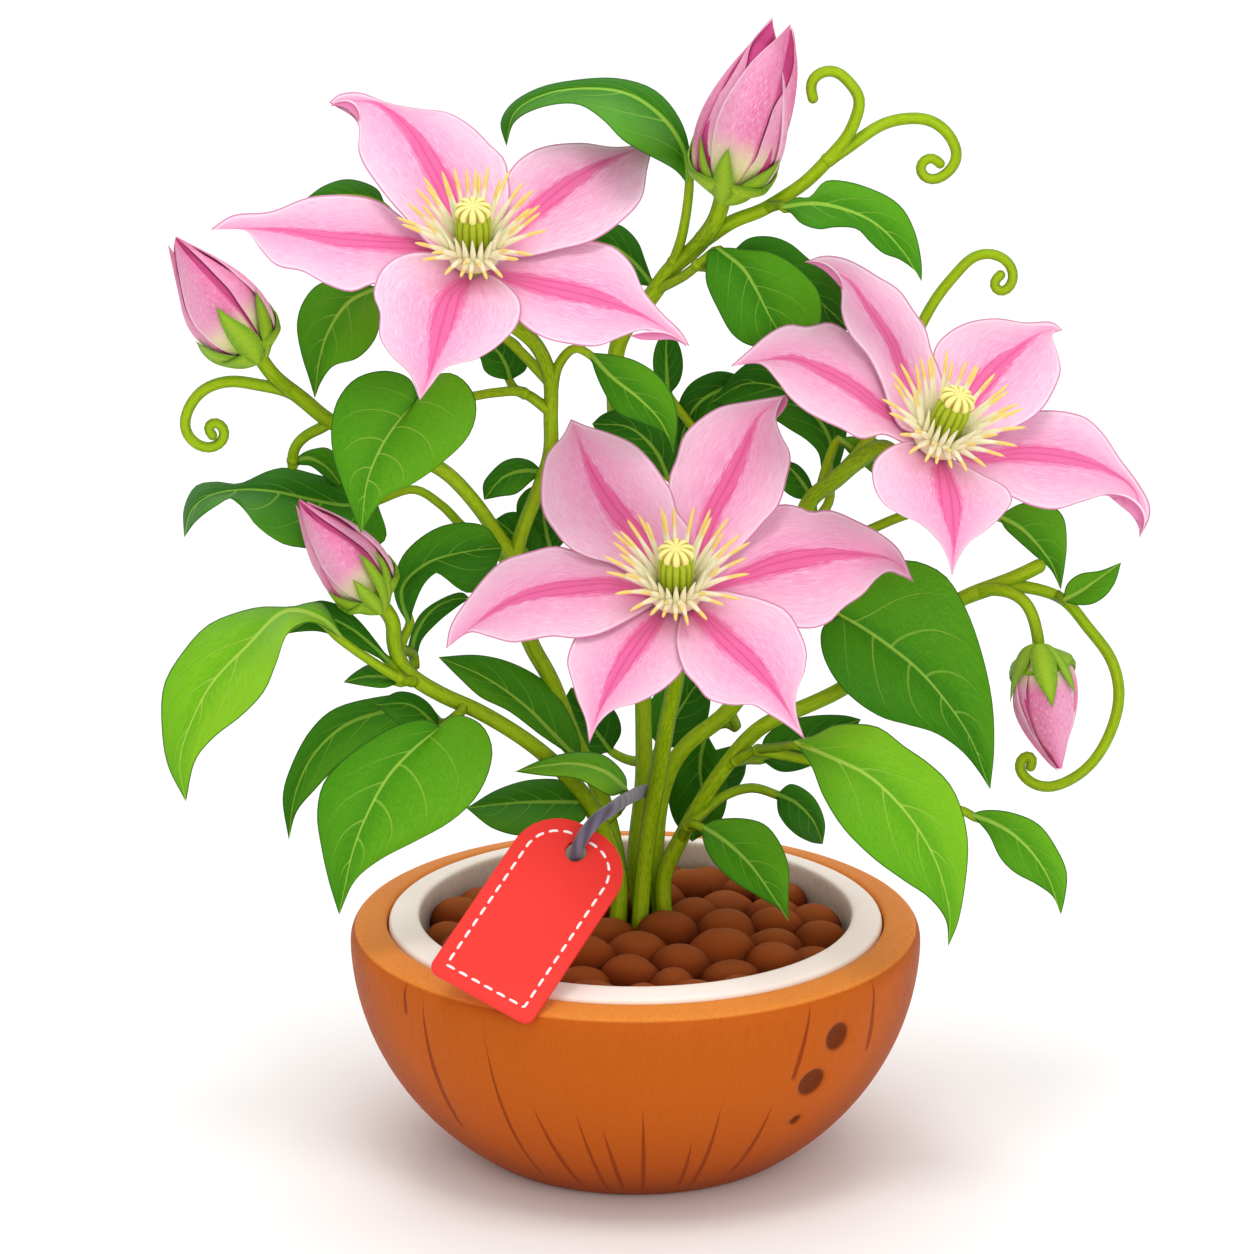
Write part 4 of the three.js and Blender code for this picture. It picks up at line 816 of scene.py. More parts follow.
def leaf_blade(rib, left, right, depths, faces, fold, tone, arch=0.09, ruffle=0.0, phase=0.0):
    """A leaf's blade, and the line of its midrib.

    Midrib and edges are drawn as the viewer sees them, and each row runs straight from one edge
    to the midrib to the other edge. The midrib's depth is a parabola through `depths`. A row lies
    in a plane whose direction turns from the first of `faces` to the second, is raised towards
    its edges by the fold, arched in between by a half wave and waved along its edges.
    """
    along, across, side = blade_net(LEAF_ROWS, LEAF_COLUMNS)
    rib, left, right = (smooth_line(line, along) for line in (rib, left, right))
    middle = seen(np.column_stack([rib, through(along, *depths)]))
    face = unit(np.asarray(faces[0]) + np.subtract(faces[1], faces[0]) * along[:, None])
    heading = unit(np.gradient(middle, axis=0))
    face = unit(face - heading * (face * heading).sum(-1, keepdims=True))
    # A row never turns its edge to the viewer
    face = unit(face - LOOK * np.maximum(0.4 + face @ LOOK, 0)[:, None])
    t, s = across[None, :-1], along[:, None]
    half = np.where(t[..., None] < 0, (left - rib)[:, None], (right - rib)[:, None])
    places = rib[:, None] + np.abs(t)[..., None] * half
    width = np.linalg.norm(half, axis=-1) / 1000
    height = np.abs(t) * width * math.tan(math.radians(fold))
    height = height + arch * width * np.sin(np.pi * np.abs(t))
    wave = np.sin(2 * np.pi * (3.2 * s + 0.5 * (t > 0) + phase)) * np.sin(np.pi * s)
    height = height + ruffle * t**2 * wave
    lens = np.sign(side[:-1]) * np.abs(side[:-1]) ** 0.6 * LEAF_THICKNESS / 2
    grid = lifted(places, middle[:, None], face[:, None], height + lens)
    marks = {"tone": tone, "mm": t * width * 1000, "under": 1.0 * (side[None, :-1] < 0)}
    return skin(grid, along, across, **marks), middle, face


def plain_outline(base, middle, tip, width):
    """A plain blade's midrib and two edges, as the viewer sees them, to the half millimetre.

    The midrib is a curve from the base through the middle to the tip. The edges stand off it by
    a sine arch that is fullest below the middle, 0.43 of the width on either side.
    """
    base, middle, tip = (np.array(place, dtype=float) for place in (base, middle, tip))
    pull = 2 * middle - 0.5 * base - 0.5 * tip
    share = np.linspace(0, 1, 9)[:, None]
    midrib = (1 - share) ** 2 * base + 2 * share * (1 - share) * pull + share**2 * tip
    heading = unit(2 * (1 - share) * (pull - base) + 2 * share * (tip - pull))
    aside = np.column_stack([-heading[:, 1], heading[:, 0]])
    aside *= np.sin(np.pi * share**0.68) ** 0.8 * width * 0.43
    at_edges = [0, 1, 3, 5, 7, 8]
    outline = midrib[::2], (midrib + aside)[at_edges], (midrib - aside)[at_edges]
    return dict(zip(("rib", "left", "right"), (np.round(line * 2) / 2 for line in outline)))


def leaf(name, parent, blades):
    """A leaf that grows from a stem: stalks with a blade on each.

    The first stalk grows from the parent, the others from the first or from the stem `on`.
    """
    skins, first = [], None
    for k, given in enumerate(blades):
        stalk = seen(given["stalk"])
        shape = {key: value for key, value in given.items() if key not in ("stalk", "on")}
        blade, rib, face = leaf_blade(phase=0.37 * k + 0.11 * len(name), **shape)
        start = nearest(lines[given.get("on", parent)] if k == 0 or "on" in given else first, stalk[0])
        under = rib[4:-10:5] - face[4:-10:5] * STALK_RADIUS * 0.55
        route = np.vstack([start, stalk[1:], under])
        rough = float(np.linalg.norm(np.diff(route, axis=0), axis=1).sum())
        line = smooth_line(route, round(rough / 0.0014))
        reached = np.linspace(0, 1, len(line))
        under_blade = float(np.linalg.norm(np.diff(under, axis=0), axis=1).sum()) / rough
        taper = np.interp(reached, [0, 1 - under_blade, 1], [1, 0.85, 0.2])
        taper *= 1 + 0.2 * np.exp(-reached * rough / 0.003)
        skins += [blade, rod(line, STALK_RADIUS * taper, 10, 4, 0.05, look=1)]
        first = line if first is None else first
    piece(f"{name}_blades", skins, [leaf_green, bark], "leaf", name)


leaf_green, tree, shader = surface("leaf_green", 0.42, IOR=1.25)
blade_place = add(tree, "SeparateXYZ", add(tree, "UVMap", uv_map="UVMap"))
along, across = blade_place.outputs["X"], blade_place.outputs["Y"]
place = add(tree, "TexCoord").outputs["Object"]
tone, under, across_mm = (
    add(tree, "Attribute", attribute_name=name).outputs["Fac"] for name in ("tone", "under", "mm")
)
out = work_out(tree, "ABSOLUTE", across)
out_mm = work_out(tree, "ABSOLUTE", across_mm)
# The side veins leave the midrib at even steps and bend forwards towards the tip
bend = work_out(tree, "POWER", out, 1.35)
veins = None
for half, shift in ((-1, 0.15), (1, 0.6)):
    step = work_out(tree, "MULTIPLY_ADD", bend, -0.42, along)
    step = work_out(tree, "MULTIPLY_ADD", step, 5.2, shift)
    off = work_out(tree, "ABSOLUTE", work_out(tree, "SUBTRACT", work_out(tree, "FRACT", step), 0.5))
    thin = from_to(tree, out, 0.0, 0.9, 0.055, 0.02)
    vein = from_to(tree, off, work_out(tree, "MULTIPLY", thin, 0.35), thin, 1, 0)
    on_half = work_out(tree, "GREATER_THAN", work_out(tree, "MULTIPLY", across, half), 0.0)
    vein = work_out(tree, "MULTIPLY", vein, on_half)
    veins = vein if veins is None else work_out(tree, "MAXIMUM", veins, vein)
veins = work_out(tree, "MULTIPLY", veins, from_to(tree, out, 0.98, 0.6))
veins = work_out(tree, "MULTIPLY", veins, from_to(tree, along, 0.97, 0.85))
rib_width = from_to(tree, along, 0.0, 1.0, 0.75, 0.16)
midrib = from_to(tree, out_mm, work_out(tree, "MULTIPLY", rib_width, 0.5), rib_width, 1, 0)
mottle = add(tree, "TexNoise", place, None, 55.0, 3.0)
forwards = work_out(tree, "MULTIPLY_ADD", bend, -14.0, work_out(tree, "MULTIPLY", along, 34.0))
sideways = work_out(tree, "MULTIPLY", across_mm, 0.25)
fine_lines = add(tree, "CombineXYZ", forwards, sideways, tone)
fine_lines = add(tree, "TexNoise", fine_lines, None, 1.0, 2.0)
# Painted light and shade: one half of each blade is lighter than the other, and the tone is partly a
# leaf's own green and partly painted shade, darker for leaves that lie further back
shade = work_out(tree, "MULTIPLY_ADD", across, -0.1, work_out(tree, "MULTIPLY_ADD", tone, 0.84, 0.15))
shade = work_out(tree, "ADD", shade, from_to(tree, mottle, 0.3, 0.7, -0.12, 0.12))
shade = work_out(tree, "ADD", shade, from_to(tree, fine_lines, 0.3, 0.7, -0.07, 0.07))
shade = work_out(tree, "ADD", shade, from_to(tree, out_mm, 5.0, 0.0, 0, -0.1))
leaf_colours = add(tree, "ValToRGB", shade)
stops = leaf_colours.color_ramp.elements
stops[0].color, stops[1].color = paint("1B5608"), paint("8FC91F")
for position, code in ((0.35, "367F0C"), (0.7, "63A917")):
    stop = stops.new(position)
    stop.color = paint(code)
lightness = work_out(tree, "MULTIPLY_ADD", tone, 0.6, 0.35)
line_colour = mixed(tree, lightness, paint("4F9A1C"), paint("B4DB55"))
edge_mm = work_out(tree, "SUBTRACT", work_out(tree, "DIVIDE", out_mm, out), out_mm)
colour = mixed(tree, from_to(tree, edge_mm, 0.45, 0.2, 0, 0.8), leaf_colours, paint("245C0C"))
lower = mixed(tree, 0.4, colour, paint("5C9430"))
colour = mixed(tree, work_out(tree, "MULTIPLY", veins, 0.5), colour, line_colour)
colour = mixed(tree, work_out(tree, "MULTIPLY", midrib, 0.85), colour, line_colour)
colour = mixed(tree, under, colour, lower)
tree.links.new(colour.outputs[2], shader.inputs["Base Color"])
raised = work_out(tree, "MAXIMUM", veins, midrib)
raised = work_out(tree, "MULTIPLY_ADD", fine_lines, 0.35, work_out(tree, "MULTIPLY", raised, -0.8))
relief(tree, shader, raised, 0.0005, 0.6)

# A blade's tone is partly its own green and partly painted shade: blades further back are darker
leaf("leaf_top_arch", "top", [
    dict(stalk=[(7, 161, 15), (10, 165, 13), (12, 172, 11)],
         rib=[(13, 182.5), (12, 191), (7, 199), (-1.5, 205), (-11.5, 206.5), (-22.5, 205),
              (-30, 200.5), (-32, 192)],
         left=[(13, 182.5), (10, 186), (3, 190), (-3, 193.5), (-8.5, 199), (-14.5, 202.5),
               (-24, 201.5), (-30, 198), (-32, 192)],
         right=[(13, 182.5), (13.5, 191), (11, 199), (5, 206), (-4, 209), (-16, 208.5),
                (-24.5, 206.5), (-31, 202.5), (-33.5, 198), (-32, 192)],
         depths=(10, 10, 14), faces=((-0.2, -0.2, 0.9), (0, -0.3, 1)), fold=20, tone=0.3),
    dict(stalk=[(9, 164, 13), (6.5, 159, 20)],
         rib=[(4.8, 157.2), (-0.5, 163.5), (-6, 167.5), (-14, 168)],
         left=[(4.8, 157.2), (0, 158), (-6, 160), (-11, 163), (-14, 168)],
         right=[(4.8, 157.2), (2.4, 164), (0.9, 168), (-1.5, 171), (-4.5, 172.8), (-9, 171.5),
                (-14, 168)],
         depths=(24, 29, 32), faces=((0.2, -0.9, 0.4), (0.2, -0.9, 0.4)), fold=12, tone=0.1),
])
leaf("leaf_top_right", "topShoot", [
    dict(stalk=[(33, 177, 6), (36, 177.5, 1)],
         rib=[(36, 177), (44, 178), (52, 176.5), (59.5, 173), (66, 166.5), (71, 158.5)],
         left=[(36, 177), (40, 179.5), (43, 179.5), (47, 183.5), (52, 183.5), (57.5, 182),
               (63, 179.5), (66.5, 176.5), (69.5, 170.5), (71, 163), (71, 158.5)],
         right=[(36, 177), (38.5, 175.5), (41, 173), (45.5, 171.5), (49.5, 172), (55, 171.5),
                (58, 168.5), (61.5, 165.5), (65.5, 164), (69.5, 161), (71, 158.5)],
         depths=(-2, -7, -10), faces=((-0.1, -0.5, 0.85), (0.5, -0.7, 0.5)), fold=12, tone=0.4),
])
leaf("leaf_round_pair", "top", [
    dict(stalk=[(5, 156, 16), (12, 160, 9), (17, 164, 4)],
         rib=[(20, 167), (26.5, 162), (30, 156.5), (33, 150.5), (37.5, 143)],
         left=[(20, 167), (23.5, 167), (28, 166.5), (33, 166), (38.3, 163.5), (42.5, 160),
               (45.5, 156), (46.2, 150), (44, 145), (37.5, 143)],
         right=[(20, 167), (18, 166), (17.5, 162.5), (17.5, 158.5), (20.5, 151.5), (24, 145.5),
                (27.5, 143), (32.5, 142), (37.5, 143)],
         depths=(3, 2, 6), faces=((-0.3, -0.9, 0.4), (0.1, -0.9, 0.4)), fold=12, tone=0.35),
    dict(stalk=[(16, 163, 5), (22, 162, 10)],
         rib=[(24, 166), (34, 161), (44, 155), (53.2, 146.6)],
         left=[(24, 166), (28, 169.3), (33.4, 169.8), (38.3, 168.1), (43, 164.2), (49, 159.5),
               (51.5, 156), (52.7, 151.5), (53.2, 146.6)],
         right=[(24, 166), (28, 158), (35, 150), (43, 145), (53.2, 146.6)],
         depths=(9, 12, 14), faces=((0, -0.8, 0.6), (0, -0.8, 0.6)), fold=10, tone=0.12),
])
leaf("leaf_left_pair", "middleRight", [
    dict(stalk=[(-21, 134, 1), (-34, 146, 6), (-50, 156, 9)],
         rib=[(-64, 157), (-71, 153.5), (-76, 146.5), (-78.5, 138.5), (-79.5, 129.5)],
         left=[(-64, 157), (-63.5, 153), (-63.5, 147.5), (-65, 143.5), (-69, 139.5), (-75, 137.5),
               (-78, 133.5), (-79.5, 129.5)],
         right=[(-64, 157), (-69.5, 159), (-78.5, 158), (-82.5, 153.5), (-84, 148), (-83, 141),
                (-81, 134.5), (-79.5, 129.5)],
         depths=(8, 2, -2), faces=((-0.3, -0.9, 0.3), (-0.3, -0.9, 0.3)), fold=8, tone=0.5),
    dict(stalk=[(-52, 157, 9), (-56, 168, 13)],
         rib=[(-62, 177.5), (-67, 179.5), (-73.5, 180), (-78, 179.5), (-82, 179)],
         left=[(-62, 177.5), (-64.5, 176), (-72, 176.5), (-77.5, 177.5), (-82, 179)],
         right=[(-62, 177.5), (-64, 181.5), (-71, 184), (-77, 182.5), (-82, 179)],
         depths=(15, 16, 16), faces=((0, -0.6, 0.8), (0, -0.6, 0.8)), fold=12, tone=0.3),
])
leaf("leaf_heart_left", "middleRight", [
    dict(stalk=[(-21, 126, 3), (-28, 131, 0), (-35, 131, -6), (-41, 130, -11)],
         rib=[(-53.5, 129), (-58.5, 124), (-63, 117.5), (-66.5, 109), (-68, 96)],
         left=[(-53.5, 129), (-51, 134.5), (-46.5, 136), (-43, 134.5), (-40, 130.5),
               (-39.5, 125.5), (-41.5, 120), (-48, 113.5), (-55, 108.5), (-62, 105), (-66.5, 99),
               (-68, 96)],
         right=[(-53.5, 129), (-56, 134.5), (-62, 136.5), (-69.5, 134.5), (-74, 129),
                (-75.5, 122), (-75, 115.5), (-72.5, 107.5), (-69.5, 99.5), (-68, 96)],
         depths=(-15, -20, -25), faces=((-0.1, -0.9, 0.35), (0.1, -0.95, 0.2)), fold=8, tone=0.5),
    dict(stalk=[(-28, 131, 0), (-30, 132, 6)],
         **plain_outline((-31, 134), (-34, 141), (-42, 147), 13),
         depths=(9, 11, 12), faces=((0.3, -0.8, 0.3), (0.3, -0.8, 0.3)), fold=12, tone=0.1),
])
leaf("leaf_twisted_left", "middle", [
    dict(stalk=[(-30, 86, 7), (-36, 93, 12), (-43, 98, 11), (-48, 103, 9), (-55, 107, 7)],
         rib=[(-64, 104), (-72, 103), (-80.5, 104.5), (-89.5, 106.5), (-98, 107), (-105.5, 105.5),
              (-110, 102), (-112, 95)],
         left=[(-64, 104), (-62, 94.5), (-72, 91.5), (-82.5, 92.5), (-87.5, 93.5), (-94.5, 98.5),
               (-99, 105), (-104.5, 102.5), (-109, 99), (-112, 95)],
         right=[(-64, 104), (-67.5, 107), (-73.5, 109.5), (-78, 110.5), (-87, 112.5),
                (-91.5, 111.5), (-98.5, 108.5), (-104, 109), (-109, 108), (-112, 102.5),
                (-112, 95)],
         depths=(6, 3, 0), faces=((0, -0.9, 0.4), (0, 0.2, 1)), fold=6, tone=0.2),
    dict(stalk=[(-32, 89, 10), (-26, 88, 14)],
         rib=[(-20.7, 90.5), (-22.4, 98.2), (-23.7, 108.4)],
         left=[(-20.7, 90.5), (-25.7, 93.2), (-28.9, 98.5), (-29.4, 103.7), (-27.2, 106.9),
               (-23.7, 108.4)],
         right=[(-20.7, 90.5), (-15.7, 97), (-15.3, 103.2), (-18.2, 106.9), (-23.7, 108.4)],
         depths=(14, 16, 17), faces=((0, -0.9, 0.4), (0, -0.9, 0.4)), fold=12, tone=0.08),
    dict(stalk=[(-32, 89, 10), (-28, 87, 11)],
         rib=[(-24.5, 88), (-29.4, 95), (-34.6, 99.7)],
         left=[(-24.5, 88), (-30, 90.5), (-33.4, 94.5), (-34.6, 99.7)],
         right=[(-24.5, 88), (-23.2, 94.5), (-25.7, 99.4), (-29.1, 101.4), (-32.1, 101.2),
                (-34.6, 99.7)],
         depths=(11, 12, 13), faces=((0, -0.9, 0.4), (0, -0.9, 0.4)), fold=12, tone=0.2),
    dict(on="hook", stalk=[(-85.2, 114.5, 5), (-85.4, 113.8, 5)],
         rib=[(-84.9, 114), (-81.2, 114.8), (-77, 112.8), (-72, 106.9)],
         left=[(-84.9, 114), (-82.5, 116.1), (-79.5, 117.2), (-76.3, 117.3), (-72.8, 113.8),
               (-72, 106.9)],
         right=[(-84.9, 114), (-83.2, 113.1), (-80.7, 112.8), (-77.7, 110.6), (-75.3, 108.4),
                (-72, 106.9)],
         depths=(5, 6, 8), faces=((0, -0.8, 0.6), (0, -0.8, 0.6)), fold=12, tone=0.4),
])
leaf("leaf_middle", "middleRight", [
    dict(stalk=[(-21, 128, 2), (-19, 138, -1), (-15, 142, -3)],
         rib=[(-11.5, 141), (-6, 135), (1, 129.5), (6.5, 123.5), (9.5, 116)],
         left=[(-11.5, 141), (-6, 140.5), (0, 139), (6, 135), (9.5, 129.5), (10.5, 123.5),
               (9.5, 116)],
         right=[(-11.5, 141), (-10, 136), (-7.5, 130.5), (-4.5, 126), (1.5, 123.5), (8, 120),
                (9.5, 116)],
         depths=(-4, -6, -4), faces=((0.2, -0.9, 0.4), (0.2, -0.9, 0.4)), fold=12, tone=0.4),
    dict(on="middleRight", stalk=[(-21, 116, 4), (-21.5, 112, 6)],
         rib=[(-22.9, 111.4), (-28.1, 111.6), (-32.9, 109.9), (-37.6, 104.4)],
         left=[(-22.9, 111.4), (-25.9, 108.9), (-29.6, 105.9), (-33.6, 105.2), (-37.6, 104.4)],
         right=[(-22.9, 111.4), (-25.9, 114.1), (-29.4, 114.9), (-32.6, 114.1), (-35.6, 111.6),
                (-37.8, 108.4), (-37.6, 104.4)],
         depths=(7, 8, 9), faces=((0, -0.8, 0.6), (0, -0.8, 0.6)), fold=12, tone=0.25),
])
leaf("leaf_dark_pair", "third", [
    dict(stalk=[(39, 88, 16), (44, 98, 20), (48, 104, 22)],
         rib=[(48.5, 107.9), (48.5, 113.1), (48.2, 119.3), (43.8, 126.2), (35.8, 132.2),
              (27.2, 133.2), (19, 128.7)],
         left=[(48.5, 107.9), (46.3, 111.4), (45.3, 116.1), (42.3, 119.3), (38.3, 121.8),
               (33.9, 124.5), (27.2, 126.2), (19, 128.7)],
         right=[(48.5, 107.9), (50.7, 113.1), (52.2, 119.3), (52.2, 126.7), (45.8, 135.4),
                (38.3, 140.4), (30.9, 139.9), (25.4, 136.6), (19, 128.7)],
         depths=(23, 26, 28), faces=((0.2, -0.9, 0.4), (0.2, -0.9, 0.4)), fold=10, tone=0.1),
    dict(stalk=[(40, 130, 27), (33, 135, 30)],
         rib=[(27.9, 132.9), (21, 131.7), (15.3, 128), (12, 121.8), (10.3, 111.4)],
         left=[(27.9, 132.9), (24.7, 128), (19, 124.2), (15.3, 119.3), (10.3, 111.4)],
         right=[(27.9, 132.9), (25.2, 135.4), (21, 136.4), (17, 135.4), (13.5, 133.2),
                (11.3, 130), (10, 125.5), (9.3, 119.3), (10.3, 111.4)],
         depths=(31, 31, 32), faces=((0, -0.9, 0.4), (0, -0.9, 0.4)), fold=12, tone=0.05),
    dict(stalk=[(42, 96, 19), (26, 108, 26), (13, 124, 29)],
         rib=[(8.1, 130.2), (7.8, 135.4), (7.6, 141.6), (7.6, 147.1)],
         left=[(8.1, 130.2), (5.3, 133.7), (4.3, 137.9), (4.8, 142.1), (6.3, 145.3), (7.6, 147.1)],
         right=[(8.1, 130.2), (10.8, 133.4), (11.8, 137.1), (11.3, 141.6), (9.5, 145.3),
                (7.6, 147.1)],
         depths=(30, 31, 32), faces=((0, -0.9, 0.4), (0, -0.9, 0.4)), fold=12, tone=0.1),
    dict(stalk=[(42, 96, 19), (26, 104, 22), (13, 107, 20)],
         rib=[(8.1, 109.9), (4.8, 116.8), (-1.4, 122.3), (-10.8, 123.3)],
         left=[(8.1, 109.9), (2.4, 111.8), (-3.8, 116.8), (-8.8, 120.3), (-10.8, 123.3)],
         right=[(8.1, 109.9), (10.8, 115.6), (9.1, 121.3), (3.6, 125.7), (-3.3, 127),
                (-8.1, 125.7), (-10.8, 123.3)],
         depths=(19, 16, 14), faces=((0, -0.9, 0.4), (0, -0.9, 0.4)), fold=12, tone=0.12),
    dict(stalk=[(42, 96, 19), (44, 100, 21)],
         rib=[(43.8, 104.4), (41.8, 108.1), (38.8, 111.8), (34.6, 114.8)],
         left=[(43.8, 104.4), (39.6, 104.9), (36.3, 107.4), (34.6, 114.8)],
         right=[(43.8, 104.4), (44, 106.9), (42.8, 110.4), (40.1, 113.3), (34.6, 114.8)],
         depths=(21, 22, 22), faces=((0, -0.9, 0.4), (0, -0.9, 0.4)), fold=12, tone=0.15),
])
leaf("leaf_left_arch", "left", [
    dict(stalk=[(-59, 65, -12), (-58, 69, -9)],
         rib=[(-56, 73), (-58, 82), (-52, 88.5), (-42.5, 91.5), (-33, 92.5)],
         left=[(-56, 73), (-59, 78), (-60, 83), (-57.5, 91), (-48, 98), (-37.5, 98), (-33, 92.5)],
         right=[(-56, 73), (-55, 77.5), (-52, 84), (-48.5, 86.5), (-45.5, 83.5), (-41, 81.3),
                (-36, 85), (-33, 92.5)],
         depths=(-8, -6, -3), faces=((-0.5, -0.7, 0.5), (0, -0.8, 0.6)), fold=12, tone=0.25),
    dict(stalk=[(-58, 68, -10), (-55, 66, -4)],
         rib=[(-55, 62), (-55, 69.5), (-51, 76.5), (-46, 79.5), (-41, 80)],
         left=[(-55, 62), (-56.5, 66), (-56, 70), (-53.5, 76), (-48, 80), (-43, 81.5), (-41, 80)],
         right=[(-55, 62), (-54, 66), (-53, 69.5), (-49, 74), (-44, 78), (-41, 80)],
         depths=(-2, 0, 1), faces=((-0.5, -0.7, 0.5), (0, -0.8, 0.6)), fold=12, tone=0.25),
])
leaf("leaf_left_large", "left", [
    dict(stalk=[(-54, 59, -11), (-58, 60, -16)],
         rib=[(-72, 69.5), (-78, 75), (-86.5, 77), (-96.5, 68), (-105, 59), (-110.5, 48.5),
              (-113, 39.5), (-111.5, 29.5)],
         left=[(-72, 69.5), (-80.5, 74), (-86, 71.5), (-89, 64), (-92, 57), (-97.5, 51),
               (-104.5, 45.5), (-109, 40), (-111.5, 29.5)],
         right=[(-72, 69.5), (-78, 79), (-85.5, 78), (-92.5, 78), (-97.5, 77), (-106, 73.5),
                (-112.5, 66.5), (-117, 58.5), (-117.5, 47.5), (-116, 38.5), (-111.5, 29.5)],
         depths=(-19, -24, -28), faces=((0, 0.3, 0.95), (-0.4, -0.9, 0.2)), fold=8, tone=0.85),
    dict(stalk=[(-56, 60, -13), (-57, 59.6, -14)],
         rib=[(-58, 59.5), (-62.5, 60.5), (-67, 60.5), (-72.5, 59.2)],
         left=[(-58, 59.5), (-62, 57.8), (-67, 58.2), (-72.5, 59.2)],
         right=[(-58, 59.5), (-61, 63), (-65.5, 63.8), (-69.5, 61.8), (-72.5, 59.2)],
         depths=(-14, -14, -14), faces=((0, -0.5, 0.9), (0, -0.5, 0.9)), fold=12, tone=0.3),
    dict(stalk=[(-58, 60, -16), (-58.8, 61, -15)],
         rib=[(-59.4, 62.7), (-65.3, 68.4), (-72, 73.4), (-78.7, 75.4), (-86.4, 71.2)],
         left=[(-59.4, 62.7), (-65.3, 66), (-71.8, 69.4), (-78.2, 71.7), (-83.2, 71.7),
               (-86.4, 71.2)],
         right=[(-59.4, 62.7), (-63.9, 68.9), (-69.1, 75.1), (-74, 78.6), (-79.2, 79.4),
                (-83.2, 76.6), (-86.4, 71.2)],
         depths=(-14, -12, -12), faces=((0, -0.8, 0.6), (0, -0.8, 0.6)), fold=8, tone=0.15),
])
leaf("leaf_heart_low", "left", [
    dict(stalk=[(-43, 54, -9), (-44, 51, -14)],
         rib=[(-48, 48), (-55.5, 42), (-61.5, 35.5), (-66.5, 26.5), (-70, 17.5), (-73.5, 1.5)],
         left=[(-48, 48), (-46, 50.5), (-43, 51), (-38, 48.5), (-35.5, 43), (-36.5, 36.5),
               (-40, 30), (-46, 24.5), (-54, 20), (-63.5, 15), (-69.5, 10), (-73.5, 1.5)],
         right=[(-48, 48), (-52, 50), (-60.5, 48), (-72.5, 40), (-77.5, 34), (-79, 26.5),
                (-78, 18.5), (-76, 9.5), (-73.5, 1.5)],
         depths=(-21, -27, -32), faces=((-0.2, -0.95, 0.3), (0, -0.95, 0.2)), fold=8, tone=0.48),
    dict(stalk=[(-44, 51, -14), (-48, 49, -6)],
         rib=[(-52, 53.5), (-62, 52), (-72, 48.5), (-80, 41), (-84.5, 31), (-86, 20)],
         left=[(-52, 53.5), (-53.5, 49.5), (-63.5, 44.5), (-72, 40), (-79.5, 32.5), (-84, 27),
               (-86, 20)],
         right=[(-52, 53.5), (-57, 56), (-64.5, 55.5), (-75, 52.5), (-80.5, 47.5), (-85, 39.5),
                (-87.5, 31), (-86, 20)],
         depths=(5, 12, 7), faces=((-0.2, -0.7, 0.7), (-0.2, -0.9, 0.3)), fold=12, tone=0.4),
    dict(stalk=[(-44, 51, -14), (-44, 46, -10)],
         rib=[(-46.5, 42.9), (-50.5, 49.4), (-55.9, 53.6), (-64.4, 53.6)],
         left=[(-46.5, 42.9), (-53.4, 45.4), (-59.6, 49.4), (-64.4, 53.6)],
         right=[(-46.5, 42.9), (-48.2, 48.9), (-51, 53.8), (-55.2, 56.5), (-59.4, 56.8),
                (-64.4, 53.6)],
         depths=(-8, -5, -2), faces=((0, -0.8, 0.6), (0, -0.8, 0.6)), fold=12, tone=0.3),
])
leaf("leaf_low_left", "middle", [
    dict(stalk=[(-7, 26, 16), (-4, 28, 12)],
         rib=[(-2, 32.5), (-7.5, 37), (-15, 39), (-22.5, 38.5), (-30, 37)],
         left=[(-2, 32.5), (-6, 31), (-14, 35), (-23, 36), (-30, 37)],
         right=[(-2, 32.5), (-2.5, 36), (-7.5, 41), (-14, 42), (-22, 40.5), (-30, 37)],
         depths=(-1, -8, -13), faces=((0.2, -0.5, 0.85), (-0.1, -0.4, 0.9)), fold=12, tone=0.7),
    dict(stalk=[(-5, 28, 14), (-9, 24, 11)],
         rib=[(-12.5, 29.5), (-18.5, 29.5), (-26, 29.5), (-33.5, 29), (-42, 28)],
         left=[(-12.5, 29.5), (-12.5, 25.5), (-20.5, 21.5), (-28, 21), (-35.5, 23), (-42, 28)],
         right=[(-12.5, 29.5), (-14, 33.5), (-18, 35), (-26.5, 35), (-34.5, 32.5), (-42, 28)],
         depths=(10, 5, -3), faces=((0, -0.6, 0.8), (0, -0.6, 0.8)), fold=12, tone=0.3),
])
leaf("leaf_low_upper", "middle", [
    dict(stalk=[(-11, 36, 17), (-10, 40, 12)],
         rib=[(-14, 40), (-20, 46), (-27.5, 53.5), (-37.5, 60.5), (-49, 65.5)],
         left=[(-14, 40), (-17.5, 42), (-23.5, 46), (-31.5, 52), (-38.5, 55.5), (-43.5, 60),
               (-49, 65.5)],
         right=[(-14, 40), (-13.5, 43.5), (-16.5, 51.5), (-22, 59), (-30.5, 64), (-39, 66),
                (-49, 65.5)],
         depths=(11, 8, 2), faces=((0.3, -0.7, 0.6), (0, -0.7, 0.7)), fold=12, tone=0.4),
])
leaf("leaf_right_large", "third", [
    dict(stalk=[(36, 78, 16), (42, 80, 6), (46, 79, -4)],
         rib=[(50.5, 76), (57.5, 72), (64.5, 67), (70.5, 62), (77, 54.5), (83, 45.5), (88, 32.5)],
         left=[(50.5, 76), (53, 82), (60.5, 87.5), (67, 89.5), (72, 88.5), (77, 85.5),
               (81.5, 78.5), (85.5, 68), (88.5, 54.5), (89, 42.5), (88, 32.5)],
         right=[(50.5, 76), (46.5, 73), (46, 68), (48.5, 61.5), (53.5, 55.5), (61, 50.5),
                (68, 48.5), (74.5, 46.5), (81, 42), (85.5, 36.5), (88, 32.5)],
         depths=(-6, -9, -12), faces=((0.1, -0.85, 0.5), (0.2, -0.95, 0.2)), fold=8, tone=0.35),
])
